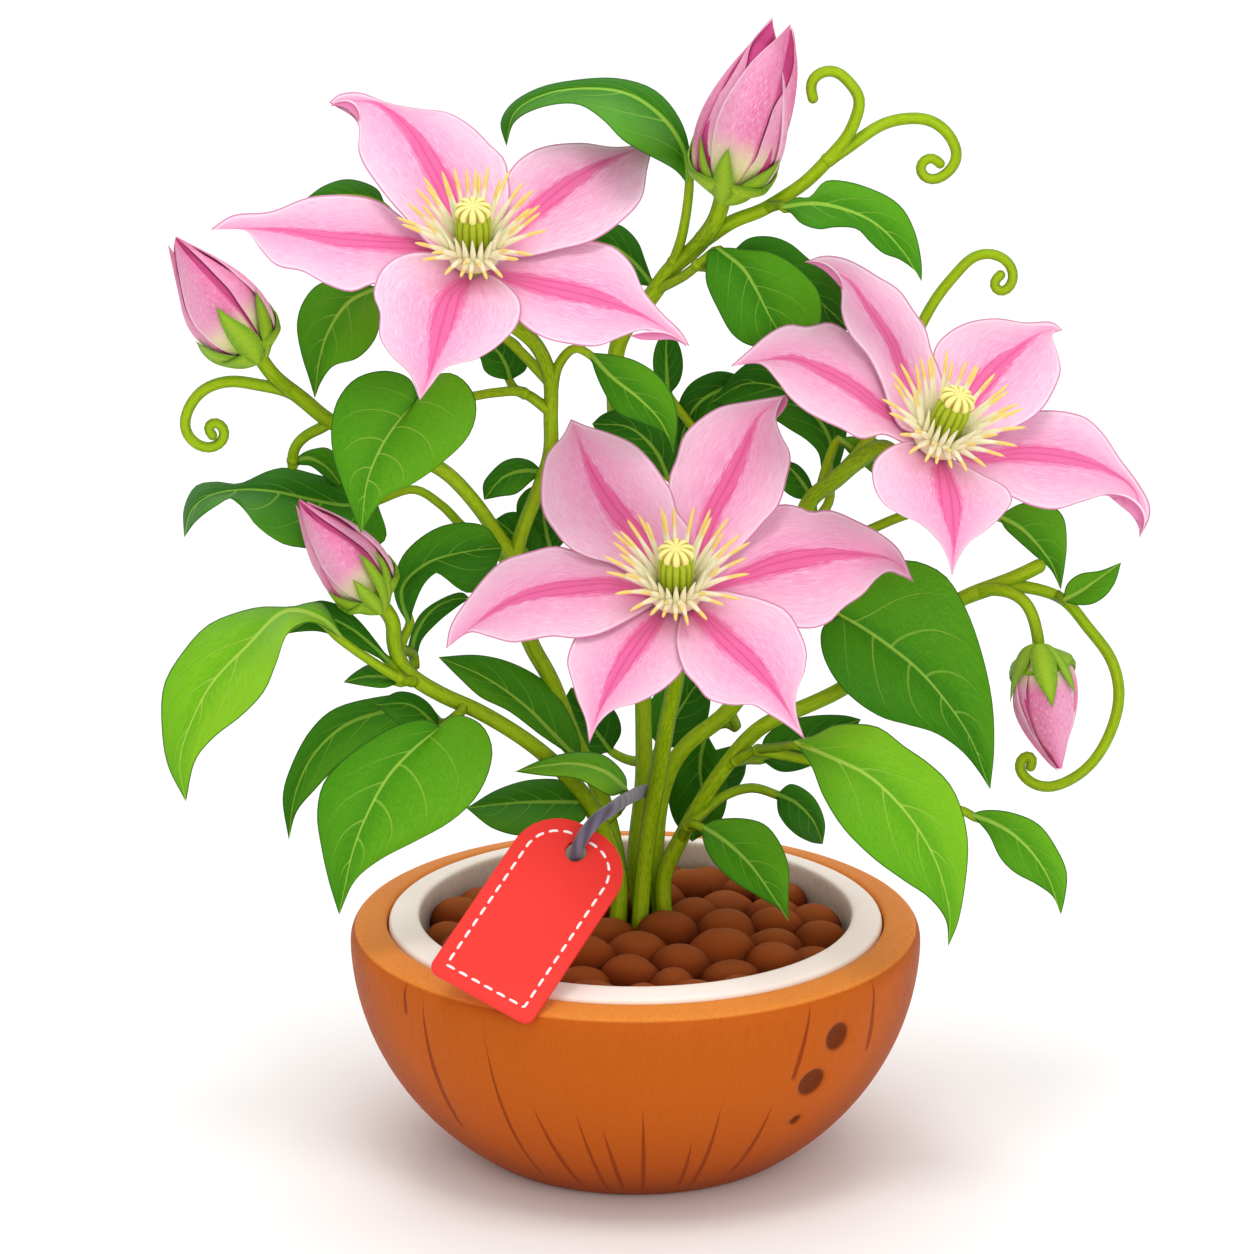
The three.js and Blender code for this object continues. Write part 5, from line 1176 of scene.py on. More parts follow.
leaf("leaf_right_low", "right", [
    dict(stalk=[(22, 38, 2), (29, 42, -5), (35, 43, -16)],
         rib=[(39, 44.5), (47.5, 41), (57, 36.5), (63.5, 31), (70, 23), (75, 13.5), (78, 1),
              (77.5, -6.5)],
         left=[(39, 44.5), (41, 45.5), (44, 46), (49, 48.5), (54, 49), (60.5, 48), (66.5, 43.5),
               (73, 39), (78, 34), (81, 27.5), (82.5, 19.5), (82, 10.5), (80, -0.5), (77.5, -6.5)],
         right=[(39, 44.5), (40, 43.5), (43.5, 38.5), (46.5, 31), (51.5, 23), (59, 15.5),
                (66.5, 10), (73, 5.5), (77, 0), (77.5, -6.5)],
         depths=(-25, -42, -49), faces=((0.2, -0.6, 0.8), (0.3, -0.95, 0.1)), fold=8, tone=0.7),
    dict(stalk=[(25, 40, -1), (28, 40, 5)],
         **plain_outline((31, 40), (43, 45), (56, 50), 15),
         depths=(9, 13, 15), faces=((0, -0.8, 0.6), (0, -0.8, 0.6)), fold=12, tone=0.1),
    dict(stalk=[(31, 43, -6), (50, 38, -6), (70, 30, -10), (82, 27, -12)],
         rib=[(83, 26.5), (90.5, 23.5), (96.5, 19), (102, 11.5), (105.5, 1.5)],
         left=[(83, 26.5), (86.5, 27.5), (93, 27), (100, 24), (104.5, 18), (107, 12),
               (106.5, 5.5), (105.5, 1.5)],
         right=[(83, 26.5), (84.5, 25), (87.5, 21.5), (90.5, 15.5), (94, 12), (99.5, 9),
                (103.5, 6), (105.5, 1.5)],
         depths=(-13, -15, -17), faces=((0.1, -0.7, 0.7), (0.4, -0.9, 0.2)), fold=12, tone=0.55),
])
leaf("leaf_front_low", "right", [
    dict(stalk=[(11, 20, 7), (14, 24, 0)],
         rib=[(16.5, 23.5), (22, 20), (28, 14.5), (33.5, 7), (38, 0)],
         left=[(16.5, 23.5), (19.5, 25), (26.5, 25.5), (32, 24), (35.5, 20), (38, 13.5),
               (38, 6.5), (38, 0)],
         right=[(16.5, 23.5), (16.5, 21.5), (17, 19), (19, 15), (24, 10), (30.5, 6), (35.5, 3),
                (38, 0)],
         depths=(-4, -14, -19), faces=((0.1, -0.7, 0.7), (0.2, -0.95, 0.3)), fold=12, tone=0.45),
    dict(stalk=[(13, 23, 2), (22, 31, 8), (29, 33, 12)],
         rib=[(35, 31.5), (39.5, 29.5), (44, 25), (46.5, 19)],
         left=[(35, 31.5), (38.5, 34), (44, 31), (47, 24.5), (46.5, 19)],
         right=[(35, 31.5), (35.5, 26.5), (39, 22), (43.5, 19.5), (46.5, 19)],
         depths=(14, 16, 18), faces=((0.3, -0.8, 0.4), (0.3, -0.8, 0.4)), fold=12, tone=0.2),
])
leaf("leaf_right_tip", "third", [
    dict(stalk=[(40, 90, 16), (51, 94, 15), (58, 97, 14), (68, 101, 12), (79, 103, 12)],
         rib=[(90, 100.5), (95.5, 97.5), (100, 93), (103.5, 88), (105.5, 82)],
         left=[(90, 100.5), (95.5, 103.5), (101.5, 104), (106, 100.5), (107, 94), (106.5, 88),
               (105.5, 82)],
         right=[(90, 100.5), (91.5, 97.5), (94, 95), (98.5, 91), (103, 87), (105.5, 82)],
         depths=(13, 13, 14), faces=((0.1, -0.9, 0.5), (0.1, -0.9, 0.5)), fold=12, tone=0.45),
    dict(on="third", stalk=[(46, 107, 10), (47.5, 113, 13)],
         rib=[(50.2, 119.8), (53.2, 117.8), (56.2, 115.6), (66, 111.8)],
         left=[(50.2, 119.8), (54, 120.2), (61, 119), (66, 111.8)],
         right=[(50.2, 119.8), (52.2, 116.8), (56.2, 113.1), (61, 110), (66, 111.8)],
         depths=(15, 15, 15), faces=((0.1, -0.9, 0.5), (0.1, -0.9, 0.5)), fold=12, tone=0.6),
])
leaf("leaf_tendril_small", "rightCurl", [
    dict(stalk=[(105, 80, 6), (106, 80, 3)],
         rib=[(106, 79.5), (110, 81.5), (115, 85), (120.5, 89)],
         left=[(106, 79.5), (107, 83.5), (110, 86), (115.5, 87), (120.5, 89)],
         right=[(106, 79.5), (108.5, 78.5), (113, 78.5), (116.5, 80.5), (119, 84), (120.5, 89)],
         depths=(1, -1, -3), faces=((0, -0.8, 0.6), (0, -0.8, 0.6)), fold=12, tone=0.6),
])
leaf("leaf_back", "top", [
    dict(stalk=[(2, 38, 21), (4, 40, 27)],
         **plain_outline((6, 43), (12, 54), (18, 62), 17),
         depths=(31, 36, 38), faces=((0, -0.9, 0.3), (0, -0.9, 0.3)), fold=12, tone=0.1),
    dict(stalk=[(3, 39, 25), (-2, 40, 30)],
         **plain_outline((-6, 42), (-12, 50), (-16, 58), 16),
         depths=(33, 37, 38), faces=((0, -0.9, 0.3), (0, -0.9, 0.3)), fold=12, tone=0.05),
    dict(stalk=[(3, 39, 25), (10, 34, 29)],
         **plain_outline((15, 34), (22, 38), (27, 44), 14),
         depths=(32, 36, 38), faces=((0.2, -0.9, 0.3), (0.2, -0.9, 0.3)), fold=12, tone=0.05),
    dict(on="third", stalk=[(24, 52, 15), (25, 48, 18), (22.5, 49, 21)],
         rib=[(17.5, 46.9), (16, 38.7), (16.5, 30), (14, 19.6)],
         left=[(17.5, 46.9), (21.7, 38.7), (22.9, 32), (21, 24.6), (14, 19.6)],
         right=[(17.5, 46.9), (10.5, 40.4), (8.1, 32.5), (9.5, 25), (14, 19.6)],
         depths=(24, 26, 27), faces=((0, -0.9, 0.3), (0, -0.9, 0.3)), fold=12, tone=0.15),
])

# The open flowers
# Each has five or six silky petals round its stem's knob, in two or three overlapping layers. A
# petal is pale pink, with a broad darker stripe of three raised ribs down its middle.
PETAL_THICKNESS = 0.0007
PETAL_LAYER = 0.0011
PETAL_ROWS = 60
PETAL_COLUMNS = 56


def petal(flower, rib, left, right, layer, rise, crown, flap=None, cup=0.6, wave=0.5, phase=0.0):
    """A petal, drawn as the viewer sees it, over the plane in which its flower opens.

    Along the petal the height above that plane is a parabola through 0, `crown` and `rise`. The
    sides are raised by `cup` and waved, and the middle is a shallow groove with three ribs in
    it. Some petals are turned over at the tip: the flap lies close over the petal, between the
    fold and the flap's own edge.
    """
    centre, axis = flowers[flower]
    along, across, side = blade_net(PETAL_ROWS, PETAL_COLUMNS)
    rib, left, right = (smooth_line(line, along) for line in (rib, left, right))
    t, s = across[None, :-1], along[:, None]
    half = np.where(t[..., None] < 0, (left - rib)[:, None], (right - rib)[:, None])
    places = rib[:, None] + np.abs(t)[..., None] * half
    width = np.linalg.norm(half, axis=-1)
    height = 1 - 1000 * PETAL_LAYER * layer + through(s, 0, crown, rise) + 0 * t
    height = height + np.sin(np.pi * s) * (cup * t**2 - 0.5 * np.exp(-((t / 0.22) ** 2)))
    ribs = np.exp(-((t / 0.05) ** 2)) + 0.7 * np.exp(-(((np.abs(t) - 0.13) / 0.04) ** 2))
    height = height + 0.22 * ribs * np.sin(np.pi * s) ** 0.5
    edge = np.sin(2 * np.pi * (2.3 * s + 0.35 * (t > 0) + phase)) * np.sin(np.pi * s) ** 1.5
    height = height + wave * edge * np.abs(t) ** 3
    lens = np.sign(side[:-1]) * np.abs(side[:-1]) ** 0.5 * PETAL_THICKNESS * 500
    grid = lifted(places, centre, axis, (height + lens) / 1000)
    marks = {"mm": t * width, "under": 1.0 * (side[None, :-1] < 0), "tone": (phase * 7.3) % 1}
    skins = [skin(grid, along, across, **marks)]
    if flap:
        along, across, side = blade_net(24, 24)
        fold, edge = (smooth_line(line, along)[:, None] for line in flap)
        over = fold + (across[:-1, None] + 1) / 2 * (edge - fold)
        near = np.linalg.norm(over[:, :, None] - places.reshape(-1, 2), axis=-1).argmin(-1)
        lens = np.sign(side[:-1]) * np.abs(side[:-1]) ** 0.5 * PETAL_THICKNESS * 500
        raised = height.reshape(-1)[near] + 0.8 + 0.3 * (1 - across[:-1] ** 2) + lens
        grid = lifted(over, centre, axis, raised / 1000)
        skins.append(skin(grid, along, across, fold=1.0, tone=0.5))
    return skins


def streak_group():
    """A group for the fine streaks that run along petals, tepals and sepals.

    It puts out noise that is stretched lengthwise and fans out with the blade, from the share of
    the length, the place across from -1 to 1, how many streaks there are, and a seed.
    """
    group = bpy.data.node_groups.new("petal_streaks", "ShaderNodeTree")
    for name in ("Along", "Across", "Streaks", "Seed"):
        group.interface.new_socket(name, in_out="INPUT", socket_type="NodeSocketFloat")
    group.interface.new_socket("Streak", in_out="OUTPUT", socket_type="NodeSocketFloat")
    given = group.nodes.new("NodeGroupInput").outputs
    across = work_out(group, "MULTIPLY", given["Across"], given["Streaks"])
    along = work_out(group, "MULTIPLY", given["Along"], 2.6)
    place = add(group, "CombineXYZ", across, along, work_out(group, "MULTIPLY", given["Seed"], 40.0))
    noise = add(group, "TexNoise", place, None, 1.0, 3.0)
    put_out = group.nodes.new("NodeGroupOutput")
    group.links.new(noise.outputs[0], put_out.inputs["Streak"])
    return group


petal_streaks = streak_group()
petal_pink, tree, shader = surface("petal_pink", 0.5, Sheen_Weight=0.15, Sheen_Roughness=0.4)
blade_place = add(tree, "SeparateXYZ", add(tree, "UVMap", uv_map="UVMap"))
along, across = blade_place.outputs["X"], blade_place.outputs["Y"]
tone, under, across_mm = (
    add(tree, "Attribute", attribute_name=name).outputs["Fac"] for name in ("tone", "under", "mm")
)
out = work_out(tree, "ABSOLUTE", across)
streak = grouped(tree, petal_streaks, along, across, 17.0, tone)
thread = grouped(tree, petal_streaks, along, across, 42.0, tone)
colour = mixed(tree, from_to(tree, out, 0.15, 0.95), paint("F79FC8"), paint("FAC8E0"))
colour = mixed(tree, from_to(tree, streak, 0.5, 0.7, 0, 0.6), colour, paint("FDDFEE"))
colour = mixed(tree, from_to(tree, streak, 0.46, 0.28, 0, 0.4), colour, paint("F08DBC"))
colour = mixed(tree, from_to(tree, thread, 0.5, 0.3, 0, 0.35), colour, paint("E87FB0"))
# The stripe narrows towards the tip, and its ragged edges follow the streaks
stripe_width = from_to(tree, along, 0.05, 0.95, 0.33, 0.1)
ragged = work_out(tree, "MULTIPLY_ADD", streak, 0.16, out)
ragged = work_out(tree, "SUBTRACT", ragged, 0.08)
stripe = from_to(tree, ragged, work_out(tree, "MULTIPLY", stripe_width, 0.55), stripe_width, 1, 0)
stripe = work_out(tree, "MULTIPLY", stripe, from_to(tree, along, 1.0, 0.72, 0.1, 0.85))
colour = mixed(tree, stripe, colour, paint("EC5A9B"))
threads = None
for place_across, size in ((0.0, 0.03), (0.13, 0.022), (0.24, 0.016)):
    off = work_out(tree, "ABSOLUTE", work_out(tree, "SUBTRACT", out, place_across))
    rib_line = from_to(tree, off, size * 0.3, size, 1, 0)
    threads = rib_line if threads is None else work_out(tree, "MAXIMUM", threads, rib_line)
threads = work_out(tree, "MULTIPLY", threads, stripe)
colour = mixed(tree, work_out(tree, "MULTIPLY", threads, 0.55), colour, paint("D23C80"))
# Painted shade: darker towards the petal's base, in the middle of the flower
colour = mixed(tree, from_to(tree, along, 0.28, 0.02, 0, 0.6), colour, paint("E0609B"))
out_mm = work_out(tree, "ABSOLUTE", across_mm)
edge_mm = work_out(tree, "SUBTRACT", work_out(tree, "DIVIDE", across_mm, across), out_mm)
# A painted highlight: a pale band along the edge, with a thin dark line at the very edge
colour = mixed(tree, from_to(tree, edge_mm, 1.3, 0.7, 0, 0.45), colour, paint("FEEAF3"))
colour = mixed(tree, from_to(tree, edge_mm, 0.5, 0.3, 0, 0.85), colour, paint("D0709F"))
lower = mixed(tree, from_to(tree, out, 0.0, 0.5), paint("F3B4D0"), paint("F9CFE2"))
colour = mixed(tree, work_out(tree, "MULTIPLY", under, 0.6), colour, lower)
# A turned tip shows its back with painted light and shade: a highlight along the fold, then
# shade in dark rose, paler towards its own edge
fold = add(tree, "Attribute", attribute_name="fold").outputs["Fac"]
flap_light_and_shade = mixed(tree, from_to(tree, across, -0.55, 1.0), paint("CF5E90"), paint("EA90BA"))
flap_light_and_shade = mixed(tree, from_to(tree, across, -0.6, -0.75), flap_light_and_shade, paint("FDE1ED"))
colour = mixed(tree, fold, colour, flap_light_and_shade)
tree.links.new(colour.outputs[2], shader.inputs["Base Color"])
relief(tree, shader, work_out(tree, "MULTIPLY_ADD", thread, 0.6, streak), 0.0005, 0.45)

petals = {
    "left_flower": [
        dict(rib=[(-43, 164.5), (-46.5, 179), (-50, 186.5), (-57, 197.5), (-64.5, 203),
                  (-76, 203)],
             left=[(-43, 164.5), (-51, 167.5), (-56, 173), (-62.5, 180.5), (-68.5, 190),
                   (-69, 198), (-76, 203)],
             right=[(-43, 164.5), (-37.5, 167.5), (-31.5, 177.5), (-31.5, 185), (-32.5, 189),
                    (-36, 192.5), (-40.5, 197), (-46.5, 200.5), (-54, 201.5), (-61.5, 203),
                    (-68.5, 205.5), (-73.5, 205), (-76, 203)],
             layer=0, rise=9, crown=6,
             flap=([(-75.8, 202.1), (-74.3, 203.1), (-72.5, 203.6), (-70.8, 203.5), (-69.3, 202.6),
                    (-68.6, 201.4), (-68.3, 199.9), (-68.7, 198.6)],
                   [(-75.8, 202.1), (-73.8, 202.1), (-72, 201.6), (-70.6, 200.6), (-69.6, 199.6),
                    (-68.7, 198.6)])),
        dict(rib=[(-37, 166), (-31, 171), (-24.5, 176.5), (-16, 183.5), (-7.5, 188.5), (4.5, 193)],
             left=[(-37, 166), (-35, 175), (-31.5, 185.5), (-28, 189.5), (-23, 192), (-13.5, 193),
                   (-5, 192), (4.5, 193)],
             right=[(-37, 166), (-28.5, 164.5), (-18.5, 166.5), (-11, 168.5), (-4, 173),
                    (1.5, 179), (3, 186.5), (4.5, 193)],
             layer=1, rise=5, crown=4),
        dict(rib=[(-38, 162), (-35, 160.5), (-22.5, 157.5), (-10, 154.5), (2, 150), (13.5, 142.5)],
             left=[(-38, 162), (-30, 165.5), (-21, 168), (-14.5, 169), (-6, 167.5), (-1, 163),
                   (2, 156.5), (6.5, 151), (11.5, 146), (13.5, 142.5)],
             right=[(-38, 162), (-33.5, 154), (-27.5, 147.5), (-22.5, 144.5), (-16, 143),
                    (-9.5, 142.5), (-3, 145), (2, 146.5), (9, 144.5), (13.5, 142.5)],
             layer=2, rise=-2, crown=2,
             flap=([(-1.4, 145.1), (0.4, 145.8), (2.4, 146.3), (4.8, 146.4), (7.3, 146.1),
                    (9.8, 145), (11.8, 143.6), (13.1, 142.1)],
                   [(-1.4, 145.1), (1.1, 144.2), (4.8, 144), (8.6, 144.2), (11, 143.5),
                    (13.1, 142.1)])),
        dict(rib=[(-40.5, 160), (-41, 159), (-45.5, 155), (-48, 147.5), (-51, 135.5),
                  (-53.5, 129)],
             left=[(-40.5, 160), (-36.5, 160.5), (-31.5, 157.5), (-28.5, 153.5), (-29, 148.5),
                   (-33, 143.5), (-39, 139.5), (-47, 137), (-50.5, 133), (-53.5, 129)],
             right=[(-40.5, 160), (-46, 164.5), (-52, 166), (-58.5, 165), (-63, 161.5),
                    (-65, 155.5), (-63.5, 151), (-63.5, 145), (-60.5, 140), (-56, 135.5),
                    (-53.5, 129)],
             layer=1, rise=-2, crown=2),
        dict(rib=[(-44, 164.5), (-53, 168), (-63.5, 168.5), (-76, 169.5), (-88.5, 171.5),
                  (-105.5, 171.5)],
             left=[(-44, 164.5), (-48.5, 157.5), (-58.5, 156.5), (-64.5, 158), (-70.5, 156),
                   (-77, 158), (-82.5, 161), (-89, 162.5), (-93, 166.5), (-96.5, 171),
                   (-105.5, 171.5)],
             right=[(-44, 164.5), (-51, 170), (-57, 174), (-63.5, 178.5), (-70.5, 180),
                    (-81, 179.5), (-90.5, 176), (-100, 175), (-105.5, 171.5)],
             layer=2, rise=0, crown=2),
    ],
    "front_flower": [
        dict(rib=[(7, 82), (0.5, 96), (-5, 102.5), (-11, 112), (-16, 124.5)],
             left=[(7, 82), (1, 84.5), (-6, 88.5), (-11.5, 90), (-16.5, 92.5), (-20, 96.5),
                   (-23, 101.5), (-23.5, 108), (-22, 115.5), (-18, 120.5), (-16, 124.5)],
             right=[(7, 82), (12, 87), (13.5, 97), (10.5, 101.5), (9, 106.5), (6.5, 110.5),
                    (4, 114), (0, 118), (-5, 120.5), (-12.5, 123), (-16, 124.5)],
             layer=0, rise=10, crown=5),
        dict(rib=[(13.5, 82), (19, 101), (23.5, 109.5), (27, 117), (30.5, 125), (37.5, 130.5)],
             left=[(13.5, 82), (11, 89.5), (8, 102), (8.5, 110.5), (10, 114.5), (12, 120.5),
                   (16, 124.5), (21, 127.5), (28.5, 129), (37.5, 130.5)],
             right=[(13.5, 82), (22, 88.5), (28.5, 95), (32, 99), (35.5, 103), (37.5, 109.5),
                    (38.5, 115.5), (36, 121), (35, 125), (37.5, 130.5)],
             layer=1, rise=15, crown=5,
             flap=([(34.8, 124.5), (34.7, 126), (35.1, 127.7), (35.8, 129.2), (36.8, 130.3)],
                   [(34.8, 124.5), (35.8, 125.5), (36.8, 126.7), (37.6, 128.2), (37.7, 129.7),
                    (36.8, 130.3)])),
        dict(rib=[(13.5, 79.5), (26, 85.5), (34, 88.5), (43.5, 90.5), (55.5, 91), (64.5, 89),
                  (69, 84)],
             left=[(13.5, 79.5), (21, 89.5), (28.5, 97), (34.5, 103), (40, 103), (43.5, 101.5),
                   (48, 102), (55.5, 99), (61, 96), (65.5, 92), (69, 84)],
             right=[(13.5, 79.5), (23.5, 78.5), (33.5, 74), (43.5, 72.5), (48, 74), (51.5, 77.5),
                    (56.5, 81), (59.5, 84.5), (62.5, 86.5), (66, 85.5), (69, 84)],
             layer=2, rise=1, crown=1),
        dict(rib=[(11.5, 77.5), (16, 76), (23.5, 69), (30.5, 62), (36, 55), (42, 45)],
             left=[(11.5, 77.5), (19.5, 82), (27, 81), (32.5, 79.5), (37.5, 77), (40.5, 72.5),
                   (42.5, 67), (42, 62), (40, 56.5), (40, 51.5), (42, 45)],
             right=[(11.5, 77.5), (10, 69.5), (12, 62), (15, 58.5), (18, 55), (23.5, 53.5),
                    (29, 53.5), (32.5, 51.5), (37.5, 48.5), (42, 45)],
             layer=1, rise=-2, crown=3),
        dict(rib=[(9, 77.5), (6.5, 76), (0.5, 69), (-4, 62), (-9, 52), (-11.5, 44)],
             left=[(9, 77.5), (11.5, 77.5), (13.5, 73.5), (14, 68), (12, 62.5), (7, 57.5),
                   (0.5, 54), (-5, 52.5), (-9, 49), (-11.5, 44)],
             right=[(9, 77.5), (0, 79.5), (-6.5, 78.5), (-11.5, 75.5), (-15, 70.5), (-17, 64.5),
                    (-16, 60), (-14.5, 55), (-12.5, 50), (-11.5, 44)],
             layer=2, rise=-2, crown=2),
        dict(rib=[(6.5, 79.5), (-5, 83.5), (-15.5, 83), (-26.5, 81), (-33.5, 78), (-47, 67.5)],
             left=[(6.5, 79.5), (1, 76), (-9, 71), (-15, 70), (-20.5, 70.5), (-26.5, 69.5),
                   (-30.5, 69), (-36.5, 70.5), (-41, 71.5), (-47, 67.5)],
             right=[(6.5, 79.5), (-2.5, 89.5), (-12.5, 91), (-19.5, 93), (-26.5, 91.5),
                    (-33.5, 89), (-42, 79.5), (-46, 73), (-47, 67.5)],
             layer=1, rise=0, crown=3),
    ],
    "right_flower": [
        dict(rib=[(72, 119.5), (61.5, 126.5), (54, 132.5), (46.5, 136.5), (39, 139.5),
                  (23.5, 137.5)],
             left=[(72, 119.5), (68, 118), (61.5, 120.5), (56, 119.5), (51, 122), (46.5, 124),
                   (42, 126.5), (38, 130), (35, 134), (31, 138), (23.5, 137.5)],
             right=[(72, 119.5), (67, 130.5), (60.5, 138), (55.5, 143), (51.5, 147), (48, 148.5),
                    (42.5, 147.5), (38, 148), (33.5, 146), (28, 141.5), (23.5, 137.5)],
             layer=1, rise=2, crown=3),
        dict(rib=[(73.5, 120), (66, 136.5), (63, 144), (58.5, 151), (52.5, 159), (42, 163.5)],
             left=[(73.5, 120), (66, 122), (63, 127), (61, 133), (57.5, 140), (53, 145.5),
                   (51, 151), (51, 156), (49.5, 160), (45, 162.5), (42, 163.5)],
             right=[(73.5, 120), (77, 129), (75.5, 136.5), (73.5, 141.5), (72, 147), (69, 151.5),
                    (65.5, 156.5), (60, 160), (56, 162.5), (51.5, 164.5), (46.5, 165),
                    (42, 163.5)],
             layer=0, rise=13, crown=5,
             flap=([(41.8, 163.4), (44, 163.7), (46.5, 163.4), (48.7, 162.2), (50.2, 160.7),
                    (51.2, 159), (51.5, 156.5)],
                   [(41.8, 163.4), (43.8, 162.9), (45.8, 161.9), (47.7, 160.5), (49.2, 159),
                    (50.5, 157.5), (51.5, 156.5)])),
        dict(rib=[(77, 119.5), (86, 133), (92, 139.5), (101, 146), (106, 146.5)],
             left=[(77, 119.5), (74.5, 131.5), (74, 141.5), (77, 145.5), (82.5, 148.5),
                   (89.5, 149.5), (96.5, 148.5), (103.5, 148.5), (106, 146.5)],
             right=[(77, 119.5), (85.5, 119.5), (95.5, 123), (100.5, 126.5), (103.5, 131),
                    (105.5, 136.5), (104.5, 141.5), (103.5, 145.5), (106, 146.5)],
             layer=1, rise=5, crown=4),
        dict(rib=[(77, 117.5), (84, 114.5), (95.5, 116), (107, 115), (117, 112), (124, 106.5),
                  (125, 95)],
             left=[(77, 117.5), (88, 123), (99.5, 126.5), (105.5, 126.5), (111.5, 125),
                   (116, 121), (120, 115), (124.5, 109), (127.5, 103.5), (127.5, 100), (125, 95)],
             right=[(77, 117.5), (84, 109.5), (93.5, 105), (98, 103), (104, 102), (111, 104),
                    (117, 105.5), (121.5, 103), (124.5, 99.5), (125, 95)],
             layer=2, rise=-11, crown=-1,
             flap=([(116.7, 105.9), (119.7, 106), (122.4, 105.4), (124.6, 103.9), (126.1, 101.9),
                    (126.6, 99.7), (126.1, 97.5), (124.9, 95)],
                   [(116.7, 105.9), (118.7, 104.2), (120.9, 102.4), (122.9, 100.7), (124.1, 99),
                    (124.9, 97), (124.9, 95)])),
        dict(rib=[(74.5, 116.5), (75.5, 114.5), (78, 106.5), (79, 95), (78.5, 85.5)],
             left=[(74.5, 116.5), (82, 113), (86.5, 110.5), (92, 107.5), (93.5, 104.5),
                   (90.5, 100), (86.5, 96.5), (82.5, 93.5), (79.5, 88.5), (78.5, 85.5)],
             right=[(74.5, 116.5), (68.5, 119), (63, 117.5), (59, 113.5), (59, 108),
                    (61.5, 103.5), (66, 100.5), (70.5, 98.5), (75.5, 93.5), (77.5, 89.5),
                    (78.5, 85.5)],
             layer=1, rise=-2, crown=2),
    ],
}
for flower, shapes in petals.items():
    for k, shape in enumerate(shapes, 1):
        skins = petal(flower, phase=0.31 * k, **shape)
        piece(f"{flower}_blade_{k}", skins, [petal_pink], "petal", f"{flower}_petal_{k}")

# The stamens
# A ring of cream filaments round the middle of each flower, broad at the foot. Each ends in a
# long thin yellow anther. They stand on a low ring that sits on the knob.
RECEPTACLE_TOP = 0.0017
PISTIL_RADIUS = 0.0042
RING_RADIUS = PISTIL_RADIUS + 0.0003
STAMEN_LENGTH = 0.0160
OUTER_STAMENS = 24
INNER_STAMENS = 14
BARE_FILAMENTS = 9


def flower_frame(name):
    """The middle of a flower, its axis, and the two directions to its right and its back."""
    centre, axis = flowers[name]
    back = unit(np.array([0, 1, 0]) - axis * axis[1])
    return centre, axis, np.cross(back, axis), back


def filament(name, turn, spread, length, bow, foot, bare=False):
    """A filament that leaves the ring at a turn and leans out by a spread, in radians.

    It bows outwards towards its tip, and its thickness falls from the foot to the neck, swells
    in the anther and ends in a point. A bare one has no anther.
    """
    centre, axis, right, back = flower_frame(name)
    outward = right * math.cos(turn) + back * math.sin(turn)
    share = np.linspace(0, 1, 17)[:, None]
    lean = spread + bow * share
    out = foot + length * share * np.sin(lean)
    up = RECEPTACLE_TOP + 0.0042 + length * share * np.cos(lean)
    line = centre + outward * out + axis * up
    steps = [0, 0.15, 0.45, 0.62, 0.7, 0.85, 0.97, 1]
    thick = np.interp(share[:, 0], steps, [0.6, 0.86, 0.64, 0.45, 0.5, 0.45, 0.28, 0.12])
    rows = np.concatenate([[0] * 3, share[:, 0], [1] * 3])[:, None]
    if bare:
        thick = 0.75 * (1 - share[:, 0] ** 1.5) + 0.12
        rows = rows * 0.5
    return rod(line, thick / 1000, 8, share=rows, tone=(turn * 3.7) % 1)


stamen_skin, tree, shader = surface("filament_cream", 0.5)
share, tone = (
    add(tree, "Attribute", attribute_name=name).outputs["Fac"] for name in ("share", "tone")
)
place = add(tree, "TexCoord").outputs["Object"]
flecks = add(tree, "TexNoise", place, None, 900.0, 2.0)
anther = mixed(tree, from_to(tree, flecks, 0.52, 0.66), paint("F8DE82"), paint("F0BC5C"))
colour = mixed(tree, from_to(tree, share, 0.0, 0.3), paint("F3EDBE"), paint("FCF6D8"))
colour = mixed(tree, work_out(tree, "MULTIPLY", tone, 0.25), colour, paint("F3E9A6"))
colour = mixed(tree, from_to(tree, share, 0.58, 0.72), colour, anther)
tree.links.new(colour.outputs[2], shader.inputs["Base Color"])
relief(tree, shader, flecks, 0.0002, 0.4)

